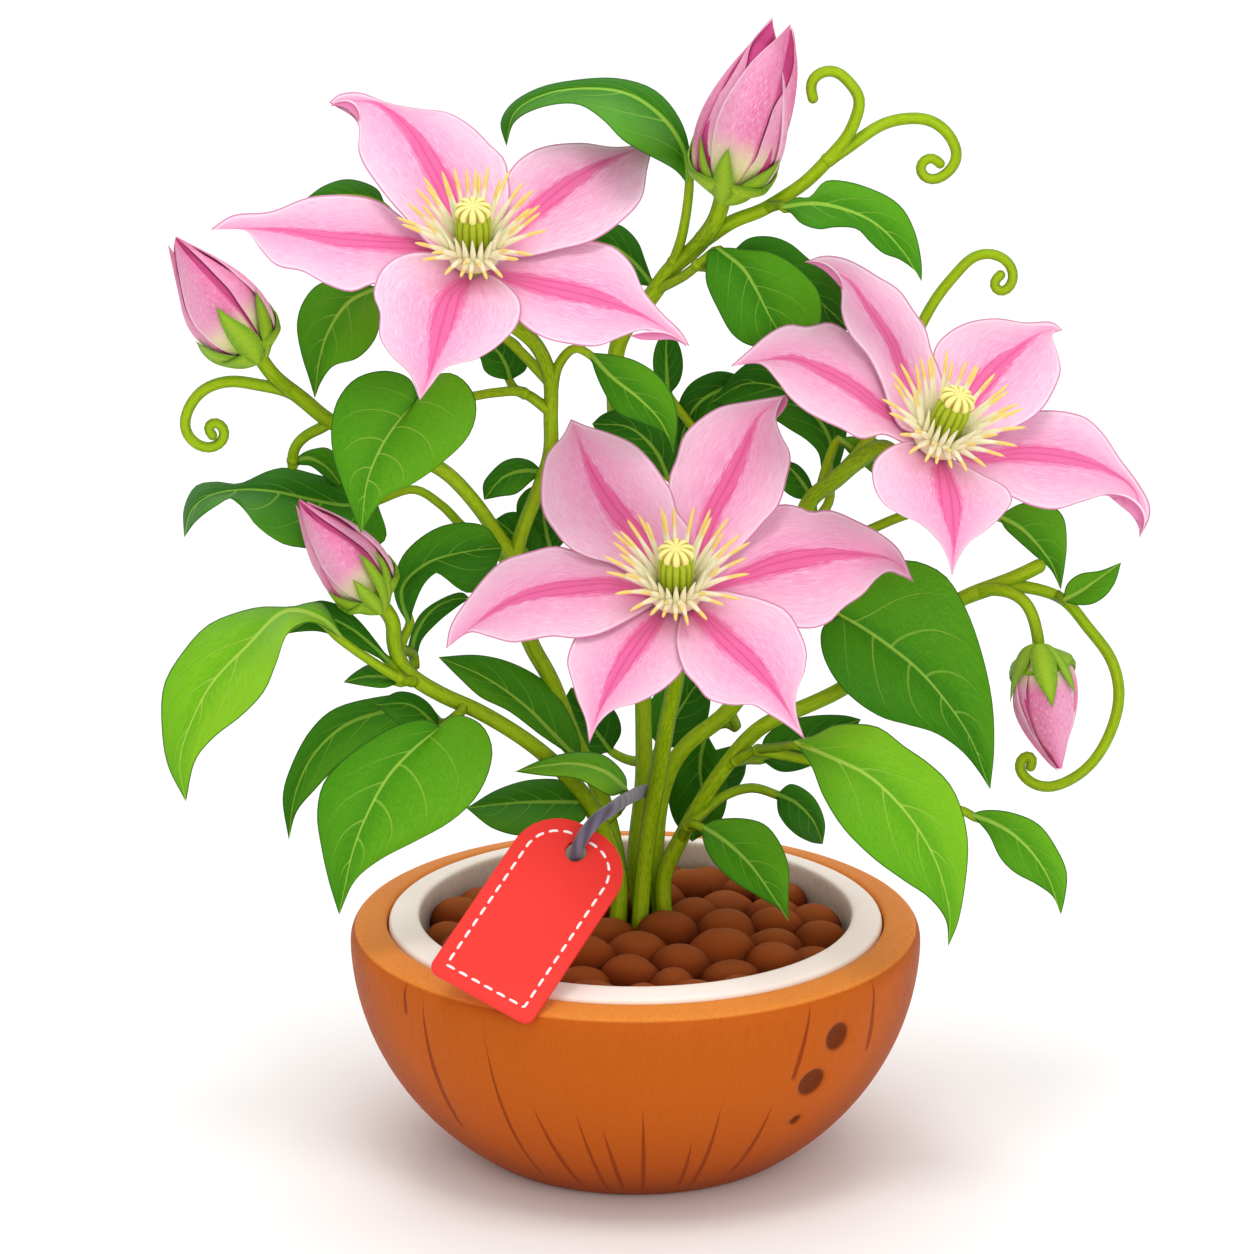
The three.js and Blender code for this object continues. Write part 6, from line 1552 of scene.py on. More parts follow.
chance = np.random.default_rng(11)
for flower in flowers:
    centre, axis, right, back = flower_frame(flower)
    ring = centre + axis * (RECEPTACLE_TOP + 0.0024)
    turns = np.linspace(0, 1, 49)
    angle = 2 * np.pi * turns[:-1, None]
    tilt = 2 * np.pi * np.linspace(0, 1, 9)
    outward = right * np.cos(angle) + back * np.sin(angle)
    low = (1 + np.sin(tilt[:-1])) / 2
    reach = 0.0002 + (1 + np.cos(tilt[:-1])) / 2 * (0.0011 + 0.0006 * low)
    reach = RING_RADIUS + reach[None, :, None]
    lift = 0.0021 * np.sin(tilt[:-1])[None, :, None]
    collar = ring + outward[:, None] * reach - axis * lift
    skins = [skin(collar, turns, tilt / (2 * np.pi), ring=True)]
    for count, spread, length, foot in (
        (OUTER_STAMENS, 0.74, 0.95, 0.0009), (INNER_STAMENS, 0.42, 0.92, 0.0007),
    ):
        for k in range(count):
            turn = 2 * math.pi * (k + chance.uniform(-0.22, 0.22)) / count
            lean = spread + chance.uniform(-0.07, 0.07)
            long = STAMEN_LENGTH * length * chance.uniform(0.93, 1.05)
            # Those in front of the pistil bend down over the petals
            front = max(0.0, -math.sin(turn)) ** 2
            lean += 0.62 * front * (1 if count == OUTER_STAMENS else 0.7)
            long *= 1 - 0.52 * front
            bow = chance.uniform(0.0, 0.25)
            skins.append(filament(flower, turn, lean, long, bow, RING_RADIUS + foot))
    for turn in np.linspace(-2.75, -0.4, BARE_FILAMENTS):
        lean, long = chance.uniform(0.1, 0.32), chance.uniform(0.0072, 0.0095)
        skins.append(filament(flower, turn, lean, long, 0.1, RING_RADIUS + 0.0009, True))
    piece(f"{flower}_filaments", skins, [stamen_skin], "stamen", f"{flower}_stamens")

# The pistils
# In the middle of each flower stands a bundle of green styles, grown together into a ribbed
# column, with a pale yellow cap of round lobes.
PISTIL_ROWS = 34


def column(name, profile, ribs, depth, columns, look):
    """A profile of radii and heights, turned round a flower's axis and cut into ribs.

    The radius shrinks by `depth` in the grooves between the ribs, which are round.
    """
    centre, axis, right, back = flower_frame(name)
    turns = np.linspace(0, 1, columns + 1)
    angle = 2 * np.pi * turns[:-1]
    groove = 1 - depth[:, None] * (1 - np.abs(np.sin(angle * ribs / 2)) ** 0.7)
    radius = (profile[:, :1] * groove)[..., None]
    outward = right * np.cos(angle)[:, None] + back * np.sin(angle)[:, None]
    height = profile[:, 1:, None] + RECEPTACLE_TOP + 0.0003
    rows = np.linspace(0, 1, len(profile))
    groove = np.broadcast_to(groove, radius.shape[:2])
    return skin(centre + outward * radius + axis * height, rows, turns, look, groove=groove)


style_green, tree, shader = surface("style_green", 0.45)
groove = add(tree, "Attribute", attribute_name="groove").outputs["Fac"]
grit = add(tree, "TexNoise", add(tree, "TexCoord").outputs["Object"], None, 700.0, 2.0)
# Painted shade: darker in the grooves between the ribs
colour = mixed(tree, from_to(tree, groove, 0.87, 0.99), paint("718A0C"), paint("AEBF26"))
colour = mixed(tree, from_to(tree, grit, 0.5, 0.7, 0, 0.4), colour, paint("CDD84F"))
tree.links.new(colour.outputs[2], shader.inputs["Base Color"])
relief(tree, shader, grit, 0.0002, 0.4)

stigma_yellow, tree, shader = surface("stigma_yellow", 0.45)
groove = add(tree, "Attribute", attribute_name="groove").outputs["Fac"]
grit = add(tree, "TexNoise", add(tree, "TexCoord").outputs["Object"], None, 600.0, 2.0)
# Painted shade: darker in the grooves between the lobes
colour = mixed(tree, from_to(tree, groove, 0.78, 0.96), paint("B9A437"), paint("F4E98E"))
colour = mixed(tree, from_to(tree, grit, 0.5, 0.7, 0, 0.4), colour, paint("FAF4B8"))
tree.links.new(colour.outputs[2], shader.inputs["Base Color"])
relief(tree, shader, grit, 0.0002, 0.4)

# Radii as shares of the pistil's own, and heights in millimetres
body = np.array([(0.02, 0), (0.72, 0), (0.9, 3), (1, 7), (1.04, 11.5), (0.94, 14), (0.6, 14.6),
                 (0.02, 14.7)])
body = softened(body * [PISTIL_RADIUS, 0.001], PISTIL_ROWS, 3)
cap = np.array([(0.02, 13.8), (0.75, 13.8), (1.02, 14.3), (1.1, 15.1), (1.02, 15.9), (0.8, 16.5),
                (0.5, 16.8), (0.25, 16.6), (0.1, 16.2), (0.02, 16.2)])
cap = softened(cap * [PISTIL_RADIUS, 0.001], PISTIL_ROWS, 3)
for flower in flowers:
    body_depth = 0.13 * np.sin(np.pi * np.linspace(0, 1, PISTIL_ROWS)) ** 0.5
    cap_depth = 0.3 * np.sin(np.pi * np.linspace(0, 1, PISTIL_ROWS)) ** 0.5
    parts = [column(flower, body, 14, body_depth, 112, 0), column(flower, cap, 10, cap_depth, 100, 1)]
    piece(f"{flower}_styles", parts, [style_green, stigma_yellow], "pistil", f"{flower}_pistil")

# The buds
# A closed bud is pink tepals wrapped round each other, in a cup of thick green sepals whose
# points stand off it. The tepals' own tips part a little.
SEPAL_THICKNESS = 0.0009
BUD_GAP = 0.0003


def bud_radius(share, width):
    """A bud's radius at a share of its height: a sine arch that is fullest below the middle."""
    return width / 2 * np.sin(np.pi * np.clip(0.12 + 0.88 * share, 0, 1) ** 0.75)


def wrapped(name, turn, spread, twist, reach, lean, off, rows, columns, thickness, look, tone):
    """A pointed blade wrapped round a bud, from its foot up to a share `reach` of its height.

    A place's turn about the axis is the blade's own turn, plus a twist with height, plus its
    place across times half the blade's spread, which narrows to the tip. Its radius is the
    bud's, plus how far it stands off there, and the tip leans outwards.
    """
    base, tip, width = buds[name]
    axis = unit(tip - base)
    front = unit(-LOOK + axis * (LOOK @ axis))
    right = np.cross(axis, front)
    foot = SEPAL_THICKNESS + 2 * BUD_GAP
    core = np.linalg.norm(tip - base) - foot
    along, across, side = blade_net(rows, columns)
    t, s = across[None, :-1], along[:, None]
    share = s * reach
    if reach > 0.9:
        narrow = np.minimum(1, (1 - s) / 0.4) ** 0.6
    else:
        narrow = np.maximum(1 - s, 0) ** 0.8 * (1 + 1.1 * s)
    angle = turn + twist * s + t * spread / 2 * narrow
    rounding = np.minimum(1, share / 0.1 + 0.03) ** 0.5
    radius = bud_radius(share, width) * rounding + off(s, t)
    lens = np.sign(side[:-1]) * np.abs(side[:-1]) ** 0.5 * thickness / 2
    radius = radius + lens
    point = front * math.cos(turn + twist) + right * math.sin(turn + twist)
    grid = (
        base + axis * (foot - BUD_GAP + core * share)[..., None]
        + (front * np.cos(angle)[..., None] + right * np.sin(angle)[..., None]) * radius[..., None]
        + point * (lean * s**4)[..., None]
    )
    return skin(grid, along, across, look, tone=tone, under=1.0 * (side[None, :-1] < 0))


def drawn(name, left, right, height, rows, look, tone):
    """A blade on a bud's near side, its two edges drawn as the viewer sees them.

    The ray to a place on it passes the bud's axis at some distance d. The place is nearer than
    that by the bud's radius r there, times 1 - (d / r)^2, and by a height more.
    """
    base, tip, width = buds[name]
    length = np.linalg.norm(tip - base)
    axis = (tip - base) / length
    along, across, side = blade_net(rows, 32)
    left, right = (smooth_line(line, along)[:, None] for line in (left, right))
    rays = unit(sight(left + (across[:-1, None] + 1) / 2 * (right - left)))
    slant = rays @ axis
    from_base = EYE - base
    reach = (slant * (from_base @ axis) - rays @ from_base) / (1 - slant**2)
    share = (slant * reach + from_base @ axis) / length
    on_axis = axis * (share * length)[..., None]
    passing = np.linalg.norm(from_base + rays * reach[..., None] - on_axis, axis=-1)
    radius = np.maximum(bud_radius(share, width), 0.15 * width)
    lens = np.sign(side[:-1]) * np.abs(side[:-1]) ** 0.5 * 0.0004
    near = radius * (1 - np.minimum(passing / radius, 1.2) ** 2) + height + lens
    near = near + 0.0006 * (height > 0.001) * along[:, None] ** 2
    grid = EYE + rays * (reach - near)[..., None]
    return skin(grid, along, across, look, tone=tone, under=1.0 * (side[None, :-1] < 0))


tepal_pink, tree, shader = surface("tepal_pink", 0.45, Sheen_Weight=0.15, Sheen_Roughness=0.4)
blade_place = add(tree, "SeparateXYZ", add(tree, "UVMap", uv_map="UVMap"))
along, across = blade_place.outputs["X"], blade_place.outputs["Y"]
tone, under = (
    add(tree, "Attribute", attribute_name=name).outputs["Fac"] for name in ("tone", "under")
)
streak = grouped(tree, petal_streaks, along, across, 9.0, tone)
thread = grouped(tree, petal_streaks, along, across, 26.0, tone)
colour = mixed(tree, from_to(tree, across, -0.6, 0.9), paint("F99FC8"), paint("F377AF"))
colour = mixed(tree, from_to(tree, streak, 0.5, 0.68, 0, 0.7), colour, paint("FCDDEB"))
colour = mixed(tree, from_to(tree, streak, 0.45, 0.32, 0, 0.5), colour, paint("E8488A"))
colour = mixed(tree, from_to(tree, thread, 0.46, 0.3, 0, 0.4), colour, paint("E04A88"))
colour = mixed(tree, from_to(tree, along, 0.8, 1.0, 0, 0.35), colour, paint("E35C98"))
base_reach = work_out(tree, "MULTIPLY_ADD", streak, 0.3, along)
colour = mixed(tree, from_to(tree, base_reach, 0.46, 0.28), colour, paint("EFE3AE"))
colour = mixed(tree, from_to(tree, base_reach, 0.3, 0.17), colour, paint("C2CC5E"))
# One edge lies under the next tepal and is painted dark as its shade. The other has a painted
# highlight: a thin light rim on top
colour = mixed(tree, from_to(tree, across, 0.84, 0.99, 0, 0.75), colour, paint("CC4480"))
colour = mixed(tree, from_to(tree, across, -0.86, -0.94, 0, 0.6), colour, paint("FDD9E8"))
colour = mixed(tree, from_to(tree, across, -0.975, -1.0, 0, 0.7), colour, paint("C85388"))
# Painted shade on the tepals' inner sides, inside the bud
colour = mixed(tree, work_out(tree, "MULTIPLY", under, 0.6), colour, paint("CC4480"))
tree.links.new(colour.outputs[2], shader.inputs["Base Color"])
relief(tree, shader, work_out(tree, "ADD", thread, streak), 0.0005, 0.5)

# Painted shade: dark rose for the heart blades that show in the creases between the tepals, and for the
# core blade that closes the bud behind them
bud_heart_shade, tree, shader = surface("bud_heart_shade", 0.6)
place = add(tree, "TexCoord").outputs["Object"]
colour = mixed(tree, add(tree, "TexNoise", place, None, 400.0), paint("C23F7C"), paint("D65590"))
tree.links.new(colour.outputs[2], shader.inputs["Base Color"])

sepal_green, tree, shader = surface("sepal_green", 0.45)
blade_place = add(tree, "SeparateXYZ", add(tree, "UVMap", uv_map="UVMap"))
along, across = blade_place.outputs["X"], blade_place.outputs["Y"]
tone = add(tree, "Attribute", attribute_name="tone").outputs["Fac"]
streak = grouped(tree, petal_streaks, along, across, 8.0, tone)
out = work_out(tree, "ABSOLUTE", across)
colour = mixed(tree, from_to(tree, out, 0.1, 1.0), paint("98C022"), paint("6A9C14"))
colour = mixed(tree, from_to(tree, streak, 0.5, 0.7, 0, 0.7), colour, paint("BCD944"))
colour = mixed(tree, from_to(tree, streak, 0.45, 0.3, 0, 0.6), colour, paint("568A14"))
colour = mixed(tree, from_to(tree, along, 0.75, 1.0, 0, 0.4), colour, paint("4B7A10"))
tree.links.new(colour.outputs[2], shader.inputs["Base Color"])
relief(tree, shader, streak, 0.0004, 0.5)

# The edges of the blades on the viewer's side of each bud: two lines from the foot to the tip
bud_blades = {
    "top_bud": [
        ("heart", [(18.6, 184), (17.7, 191.2), (18.3, 197.2), (20.7, 203.2), (24.3, 209.2),
                 (27.9, 215.8), (30.9, 220.3), (34, 223.7)],
         [(24.3, 184), (26.7, 191.2), (29.1, 197.2), (31.5, 203.2), (33.3, 209.2), (34.2, 215.2),
          (34.3, 220), (34, 223.7)]),
        ("heart", [(25.5, 182.8), (27.9, 191.2), (30.3, 197.2), (32.7, 203.2), (34.8, 209.2),
                 (36.3, 214), (37.5, 218.2), (38.6, 221.6)],
         [(26.4, 182.8), (32.1, 190.6), (36, 199), (38.1, 205.6), (39.3, 211.6), (39.5, 215.2),
          (39.1, 219.4), (38.6, 221.6)]),
        ("side", [(18, 183.4), (17.1, 187.6), (16.5, 191.2), (16.8, 195.4), (18, 199.6),
                 (19.8, 203.5), (22.5, 207.4), (24.9, 211.3), (27, 215.2), (29.1, 218.5),
                 (31.5, 221.5), (34, 224.2)],
         [(19.5, 183.4), (19.8, 187.6), (20.1, 192.4), (21, 197.8), (22.8, 202.6), (25.5, 207.7),
          (27.5, 211.9), (28.1, 215.2), (29.2, 218.2), (31.6, 221.3), (34, 223.9)]),
        ("side", [(25.2, 182.2), (27.3, 185.8), (29.7, 188.8), (31.5, 193.6), (33, 197.8),
                 (34.2, 201.4), (35.4, 203.5), (37.2, 206.2), (38.4, 209.2), (39.2, 212.2),
                 (39.3, 215.2), (39.2, 219.4), (38.6, 222.1)],
         [(27.3, 182.5), (31.5, 185.8), (34.8, 188.8), (36.6, 192.4), (37.8, 196), (38.8, 199.6),
          (39.6, 203.8), (40.1, 208), (40.2, 212.2), (39.8, 216.4), (39.3, 220.3),
          (38.6, 222.1)]),
        ("front", [(19.2, 183.4), (18.6, 187.6), (18.8, 191.8), (19.3, 196), (20.4, 199.9),
                 (22.2, 203.8), (24.3, 207.1), (26.4, 210.1), (28.8, 213.1), (31.5, 215.8),
                 (34.2, 218.2), (36.3, 220.3), (38.5, 222.5)],
         [(24.9, 181.9), (27.6, 185.8), (29.4, 188.8), (30.9, 193), (32.4, 197.2), (33.6, 200.8),
          (35, 204.1), (35.6, 206.8), (36.6, 211), (37.5, 215.2), (38.2, 219.4),
          (38.5, 222.5)]),
        ("sepal", [(20.4, 177.8), (19.2, 179.8), (18.3, 181), (16.8, 184), (15.9, 187.6),
                 (15.7, 191.2), (16.1, 195.1)],
         [(21.2, 177.8), (20.1, 179.5), (19.2, 181.6), (18.8, 185.2), (18, 187.3), (17.2, 190),
          (16.1, 195.1)]),
        ("sepal", [(21.2, 177.5), (24.3, 177.4), (27.3, 178.3), (29.7, 180.1), (32.1, 182.5),
                 (34.5, 185.8), (35.9, 188.8)],
         [(21.2, 177.7), (22.5, 179.2), (24.9, 181.3), (27.3, 183.1), (30.3, 184.9),
          (33.3, 186.7), (35.9, 188.8)]),
        ("sepal", [(20.8, 177.5), (19.2, 179.8), (19, 182.8), (19.8, 186.4), (21.3, 189.4),
                 (23.1, 191.8)],
         [(21.4, 177.5), (23.4, 179.2), (24.3, 182.2), (24.1, 185.2), (23.6, 188.8),
          (23.1, 191.8)]),
    ],
    "left_bud": [
        ("heart", [(-99.7, 140.8), (-103.6, 141.9), (-107.1, 144.7), (-110.1, 147.9),
                 (-111.9, 151.8), (-112.9, 156.4), (-113.8, 160.9), (-114.5, 166.1),
                 (-114.3, 168.7)],
         [(-94.5, 144), (-93.6, 148.6), (-94.5, 153.1), (-97.1, 157), (-101, 160.6),
          (-105.5, 163.5), (-110.1, 166.8), (-114, 169.6)]),
        ("side", [(-100.3, 139.8), (-104.9, 141.1), (-108.4, 143.7), (-110.7, 146.6),
                 (-112.3, 150.5), (-113.3, 155.1), (-114.3, 159.6), (-115.3, 164.2),
                 (-116, 167.8)],
         [(-99.7, 140.1), (-103.6, 142.2), (-107.1, 145.1), (-109.9, 148.4), (-111.7, 152.3),
          (-112.7, 156.7), (-113.5, 160.9), (-114.2, 165.1), (-116, 167.8)]),
        ("side", [(-93.2, 145), (-94.1, 146.6), (-96.4, 150.2), (-98.4, 153.1), (-100.6, 156.4),
                 (-103.6, 159.6), (-106.8, 162.9), (-110.1, 166.1), (-113.3, 169),
                 (-114.4, 170.1)],
         [(-92.2, 145.3), (-92.8, 149.2), (-93.6, 153.1), (-94.6, 155.6), (-95.8, 157),
          (-98.4, 159.6), (-101.3, 161.6), (-104.9, 163.8), (-108.8, 166.4), (-112, 168.7),
          (-114.4, 170.1)]),
        ("front", [(-99.3, 140.1), (-103.6, 142.1), (-106.8, 144.7), (-109.4, 147.6),
                 (-111.2, 151.2), (-112.3, 155.4), (-113.1, 159.6), (-113.8, 163.5),
                 (-114.2, 167.4), (-114.2, 169.2)],
         [(-93.5, 145), (-95.8, 148.2), (-97.7, 150.8), (-99.7, 153.1), (-101.9, 155.4),
          (-104.9, 158.6), (-108.1, 161.9), (-111.4, 165.5), (-113.3, 167.9), (-114.2, 169.2)]),
        ("sepal", [(-93.2, 138), (-97.1, 136.9), (-101, 137.2), (-104.9, 138.5), (-107.5, 140.8),
                 (-109.1, 143.9)],
         [(-93.8, 138.5), (-96.4, 139.5), (-99, 140.1), (-102.9, 140.8), (-106.2, 142.1),
          (-109.1, 143.9)]),
        ("sepal", [(-92.2, 138.8), (-91.9, 142.1), (-92.8, 144.7), (-93.5, 148.6), (-94.1, 153.1),
                 (-94.3, 156.5)],
         [(-92.8, 138), (-91.2, 139.6), (-90.2, 142.7), (-90, 146.6), (-90.9, 150.5),
          (-92.5, 153.8), (-94.3, 156.5)]),
        ("sepal", [(-94.5, 138), (-97.7, 140.1), (-100, 142.7), (-101.9, 146), (-103.2, 149.2),
                 (-104, 152.5)],
         [(-92.8, 138.8), (-92.2, 142.1), (-93.2, 144.7), (-95.1, 146.6), (-97.7, 148.2),
          (-101, 150.2), (-104, 152.5)]),
    ],
    "low_bud": [
        ("heart", [(-68.1, 79.4), (-72.5, 81.5), (-75.8, 84.5), (-78.3, 87.9), (-80.2, 92.3),
                 (-81.8, 97.3), (-82.9, 101.7), (-83.6, 103.6)],
         [(-62.9, 84.9), (-64, 88.7), (-66.2, 92), (-69.2, 95.1), (-73.6, 98.1), (-77.4, 100.6),
          (-80.7, 102.5), (-83.5, 104.4)]),
        ("side", [(-68.6, 78.7), (-73.6, 80.2), (-76.6, 82.1), (-78.5, 85.2), (-80.2, 88.2),
                 (-81.6, 92), (-82.7, 96.2), (-83.5, 99.7), (-84.3, 103.3)],
         [(-68.1, 79), (-72.5, 81.8), (-75.6, 84.8), (-78, 88.5), (-79.9, 92.7), (-81.5, 97.5),
          (-82.7, 101.4), (-84.3, 103.3)]),
        ("side", [(-62.3, 83.8), (-62.9, 86), (-64.8, 89.3), (-67, 92), (-69.7, 94.2),
                 (-73.6, 97), (-76.9, 99.2), (-80.2, 101.7), (-82.4, 103.5), (-83.5, 104.7)],
         [(-61.5, 84.9), (-62.6, 88.2), (-64, 91.5), (-65.3, 93.7), (-67.5, 95.6), (-70.8, 97.3),
          (-74.1, 99.2), (-77.4, 101.1), (-80.7, 103), (-83.5, 104.8)]),
        ("front", [(-67, 78.6), (-69.7, 79.9), (-73, 82.1), (-75.8, 84.9), (-78, 88.2),
                 (-79.6, 91.8), (-81, 95.3), (-82.1, 98.6), (-82.9, 101.7), (-83.4, 103.6)],
         [(-62.3, 83.8), (-64.2, 86.5), (-66.2, 88.7), (-68.1, 91.2), (-70.3, 93.4),
          (-73.6, 95.6), (-76.9, 97.5), (-80.2, 100), (-82.4, 102.2), (-83.4, 103.6)]),
        ("sepal", [(-63.4, 75.8), (-66.4, 75.8), (-69.7, 76.6), (-73, 78), (-75.2, 79.9),
                 (-76.6, 82.1)],
         [(-63.7, 76.8), (-65.9, 78), (-67.5, 78.7), (-70.8, 79.4), (-74.1, 80.5),
          (-76.6, 82.1)]),
        ("sepal", [(-62, 76.9), (-61.9, 81), (-62.3, 83.8), (-62.9, 87.1), (-63.7, 89.8),
                 (-64.8, 92)],
         [(-63, 76), (-61.5, 77.2), (-60.6, 79.9), (-60.3, 83.2), (-60.9, 86.5), (-62.6, 89.8),
          (-64.8, 92)]),
        ("sepal", [(-62.7, 76.1), (-63.1, 78.8), (-64, 81.6), (-65.6, 84.9), (-67.3, 88.2),
                 (-68.5, 91.3)],
         [(-62.1, 76.1), (-61.2, 78.3), (-61.5, 82.1), (-62.3, 84.9), (-63.7, 86.8),
          (-65.9, 89.3), (-68.5, 91.3)]),
        ("sepal", [(-63.7, 75.8), (-66.4, 77.7), (-68.4, 79.9), (-69.5, 82.7), (-70.1, 84.7)],
         [(-62.6, 76.1), (-62.5, 77.7), (-63.1, 79.4), (-64.8, 81.3), (-67.5, 83.2),
          (-70.1, 84.7)]),
    ],
    "hanging_bud": [
        ("heart", [(101.4, 64.6), (101.4, 58.2), (101.4, 51.8), (101.9, 47.1), (103.1, 42.9),
                 (104.4, 39.5), (105.3, 37.8)],
         [(96.3, 64.6), (94.6, 59.5), (94.2, 54.8), (95.1, 51), (97.2, 46.3), (100.2, 42),
          (103.1, 38.8), (105, 37.6)]),
        ("side", [(97.7, 65.8), (97.4, 60.3), (96.9, 56.9), (97, 53.9), (97.5, 50.7),
                 (98.6, 47.6), (100, 44.6), (102.1, 41.2), (104.1, 38.5), (104.8, 37.1)],
         [(96.8, 65.8), (96.3, 62.4), (94.6, 59.5), (93.7, 56.9), (93.6, 53.9), (94.2, 51),
          (95.7, 47.8), (97.8, 44.6), (100.2, 41.6), (102.7, 38.8), (104.8, 37.1)]),
        ("front", [(104, 65.8), (105.3, 62.9), (107, 60.3), (108.5, 57.8), (109.1, 55.2),
                 (109.2, 52.2), (108.7, 48.8), (107.6, 45.4), (106.8, 42), (106.1, 39.1),
                 (105.8, 37.6)],
         [(98, 65.8), (97.5, 62.9), (97.3, 59.5), (97.3, 56.1), (97.5, 52.7), (98.2, 49.7),
          (99.3, 46.7), (101, 43.7), (103.1, 41.2), (104.8, 38.3), (105.8, 37.6)]),
        ("sepal", [(99.5, 68.7), (98.5, 67.1), (97.7, 64.6), (96.6, 62), (95.1, 59.5),
                 (93.8, 56.9), (92.9, 53.9)],
         [(98.5, 68.9), (95.9, 67.5), (94.2, 64.6), (93.4, 61.2), (93, 57.3), (92.9, 53.9)]),
        ("sepal", [(102.1, 68.8), (103.1, 68.3), (105.3, 66.3), (107.2, 63.3), (108.5, 59.9),
                 (109.2, 56.1)],
         [(101.2, 68.7), (102.7, 66.9), (104.4, 64.1), (105.7, 61.6), (107.4, 59),
          (109.2, 56.1)]),
        ("sepal", [(101.7, 68.8), (102.9, 67.5), (104.1, 65.4), (104.6, 62.4), (104.7, 59.5),
                 (104.2, 56.1), (103.4, 52.7)],
         [(99.1, 68.7), (98, 67.1), (97.8, 64.6), (98.5, 62), (99.7, 59), (101.9, 55.6),
          (103.4, 52.7)]),
    ],
}
heights = {"heart": -0.0006, "side": 0.0, "front": 0.0003, "sepal": 0.0014}
# Where each unseen blade of the cup turns to, how far it goes round and how far up it reaches
cup_blades = ((2.4, 1.8, 0.3), (-2.4, 1.8, 0.3), (3.14, 5.5, 0.24), (0, 5, 0.17))
for name, blades in bud_blades.items():
    # Behind them the bud is closed by blades wrapped round its other side
    skins = [wrapped(name, 0, 6.0, 0, 0.93, 0, lambda s, t: -0.0014, 30, 40, 0.001, 1, 0.5)]
    for k, turn in enumerate((2.1, 3.2, -2.0)):
        lap = lambda s, t: -0.0009 + 0.0003 * (1 - t) * np.sin(np.pi * s)
        skins.append(wrapped(name, turn, 2.0, 0.0, 0.95, 0.0005, lap, 50, 32, 0.0008, 0, 0.21 * k))
    cup = []
    for k, (turn, spread, reach) in enumerate(cup_blades):
        off = lambda s, t: 0.0004 + 0.0005 * s**3 - 0.0003 * t**2
        cup.append(wrapped(name, turn, spread, 0.0, reach, 0.0003, off, 36, 40, 0.0009, 0, 0.21 * k))
    for k, (kind, left, right) in enumerate(blades):
        sepal = kind == "sepal"
        blade = drawn(name, left, right, heights[kind] + 0.00025 * k, 40 if sepal else 60,
                      1 if kind == "heart" else 0, 0.17 * k + 0.1 * len(name) % 1)
        (cup if sepal else skins).append(blade)
    piece(f"{name}_tepals", skins, [tepal_pink, bud_heart_shade], "petal", f"{name}_petals")
    piece(f"{name}_cup", cup, [sepal_green], "sepal", f"{name}_sepals")

# The tag
# A plain red leather tag, 1.6 mm thick, with a rounded end, a punched hole and a line of white
# stitches along its edge. It leans on the bowl's rim.
TAG_WIDTH = 0.0285
TAG_THICKNESS = 0.0016
TAG_HOLE_RADIUS = 0.0026
CORNER_RADIUS = 0.0025
END_RADIUS = 0.012
STITCH_INSET = 0.0034
STITCH_RADIUS = 0.00033
STITCHES = 36
STITCH_STEPS = 8
STITCH_RISE = np.array([-0.1, 0.1, 0.14, 0.1, -0.1]) / 1000
TAG_EDGE_STEPS = 200
TAG_SECTION_STEPS = 40


def tag_outline(inset, count):
    """Evenly spaced places round the tag's outline, moved in from its edge.

    Four straight sides are joined by arcs: small ones at the lower corners, large ones above.
    """
    half = TAG_WIDTH / 2 - inset
    corner, end = max(CORNER_RADIUS - inset, 0.0004), END_RADIUS - inset
    low, high = inset, TAG_LENGTH - inset
    places = []
    for x, y, radius, start in (
        (half - corner, low + corner, corner, -90), (half - end, high - end, end, 0),
        (-half + end, high - end, end, 90), (-half + corner, low + corner, corner, 180),
    ):
        angle = np.radians(np.linspace(start, start + 90, 14))
        places.append(np.stack([x + radius * np.cos(angle), y + radius * np.sin(angle)], 1))
    outline = np.vstack([*places, places[0][:1]])
    length = np.concatenate([[0], np.cumsum(np.linalg.norm(np.diff(outline, axis=0), axis=1))])
    even = np.linspace(0, length[-1], count, endpoint=False)
    return np.stack([np.interp(even, length, column) for column in outline.T], 1)


def on_tag(places, height):
    """Points at places (across, along) on the tag and at a height above its middle layer."""
    places = np.asarray(places)
    upright = np.asarray(height)[..., None] * tag_face
    return tag_foot + places[..., :1] * tag_across + places[..., 1:] * tag_along + upright


edge = tag_outline(0, TAG_EDGE_STEPS)
hole_middle = np.array([0, TAG_LENGTH - HOLE_FROM_TOP])
hole_edge = hole_middle + unit(edge - hole_middle) * TAG_HOLE_RADIUS
# Round the section: up the outer edge, over the top to the hole, down it and back underneath
section = 2 * np.pi * np.arange(TAG_SECTION_STEPS + 1) / TAG_SECTION_STEPS
share = np.clip(0.5 - 0.5 * np.cos(section), 0, 1)
share = np.interp(share, [0, 0.03, 0.97, 1], [0, 0.012, 0.985, 1])
height = np.clip(np.sin(section) * 5, -1, 1) * TAG_THICKNESS / 2
places = edge[:, None] * (1 - share[None, :-1, None]) + hole_edge[:, None] * share[None, :-1, None]
height = height[None, :-1] + np.zeros((TAG_EDGE_STEPS, 1))
tag_grid = on_tag(places, height)
rows, turns = np.linspace(0, 1, TAG_EDGE_STEPS + 1), np.linspace(0, 1, TAG_SECTION_STEPS + 1)
skins = [skin(tag_grid[:, ::-1], rows, turns, ring=True)]
seam = tag_outline(STITCH_INSET, STITCHES * STITCH_STEPS)
for k in range(STITCHES):
    dash = seam[(np.arange(len(STITCH_RISE)) + STITCH_STEPS * k) % len(seam)]
    thread = on_tag(dash, TAG_THICKNESS / 2 + STITCH_RISE)
    skins.append(rod(thread, STITCH_RADIUS, 8, look=1))

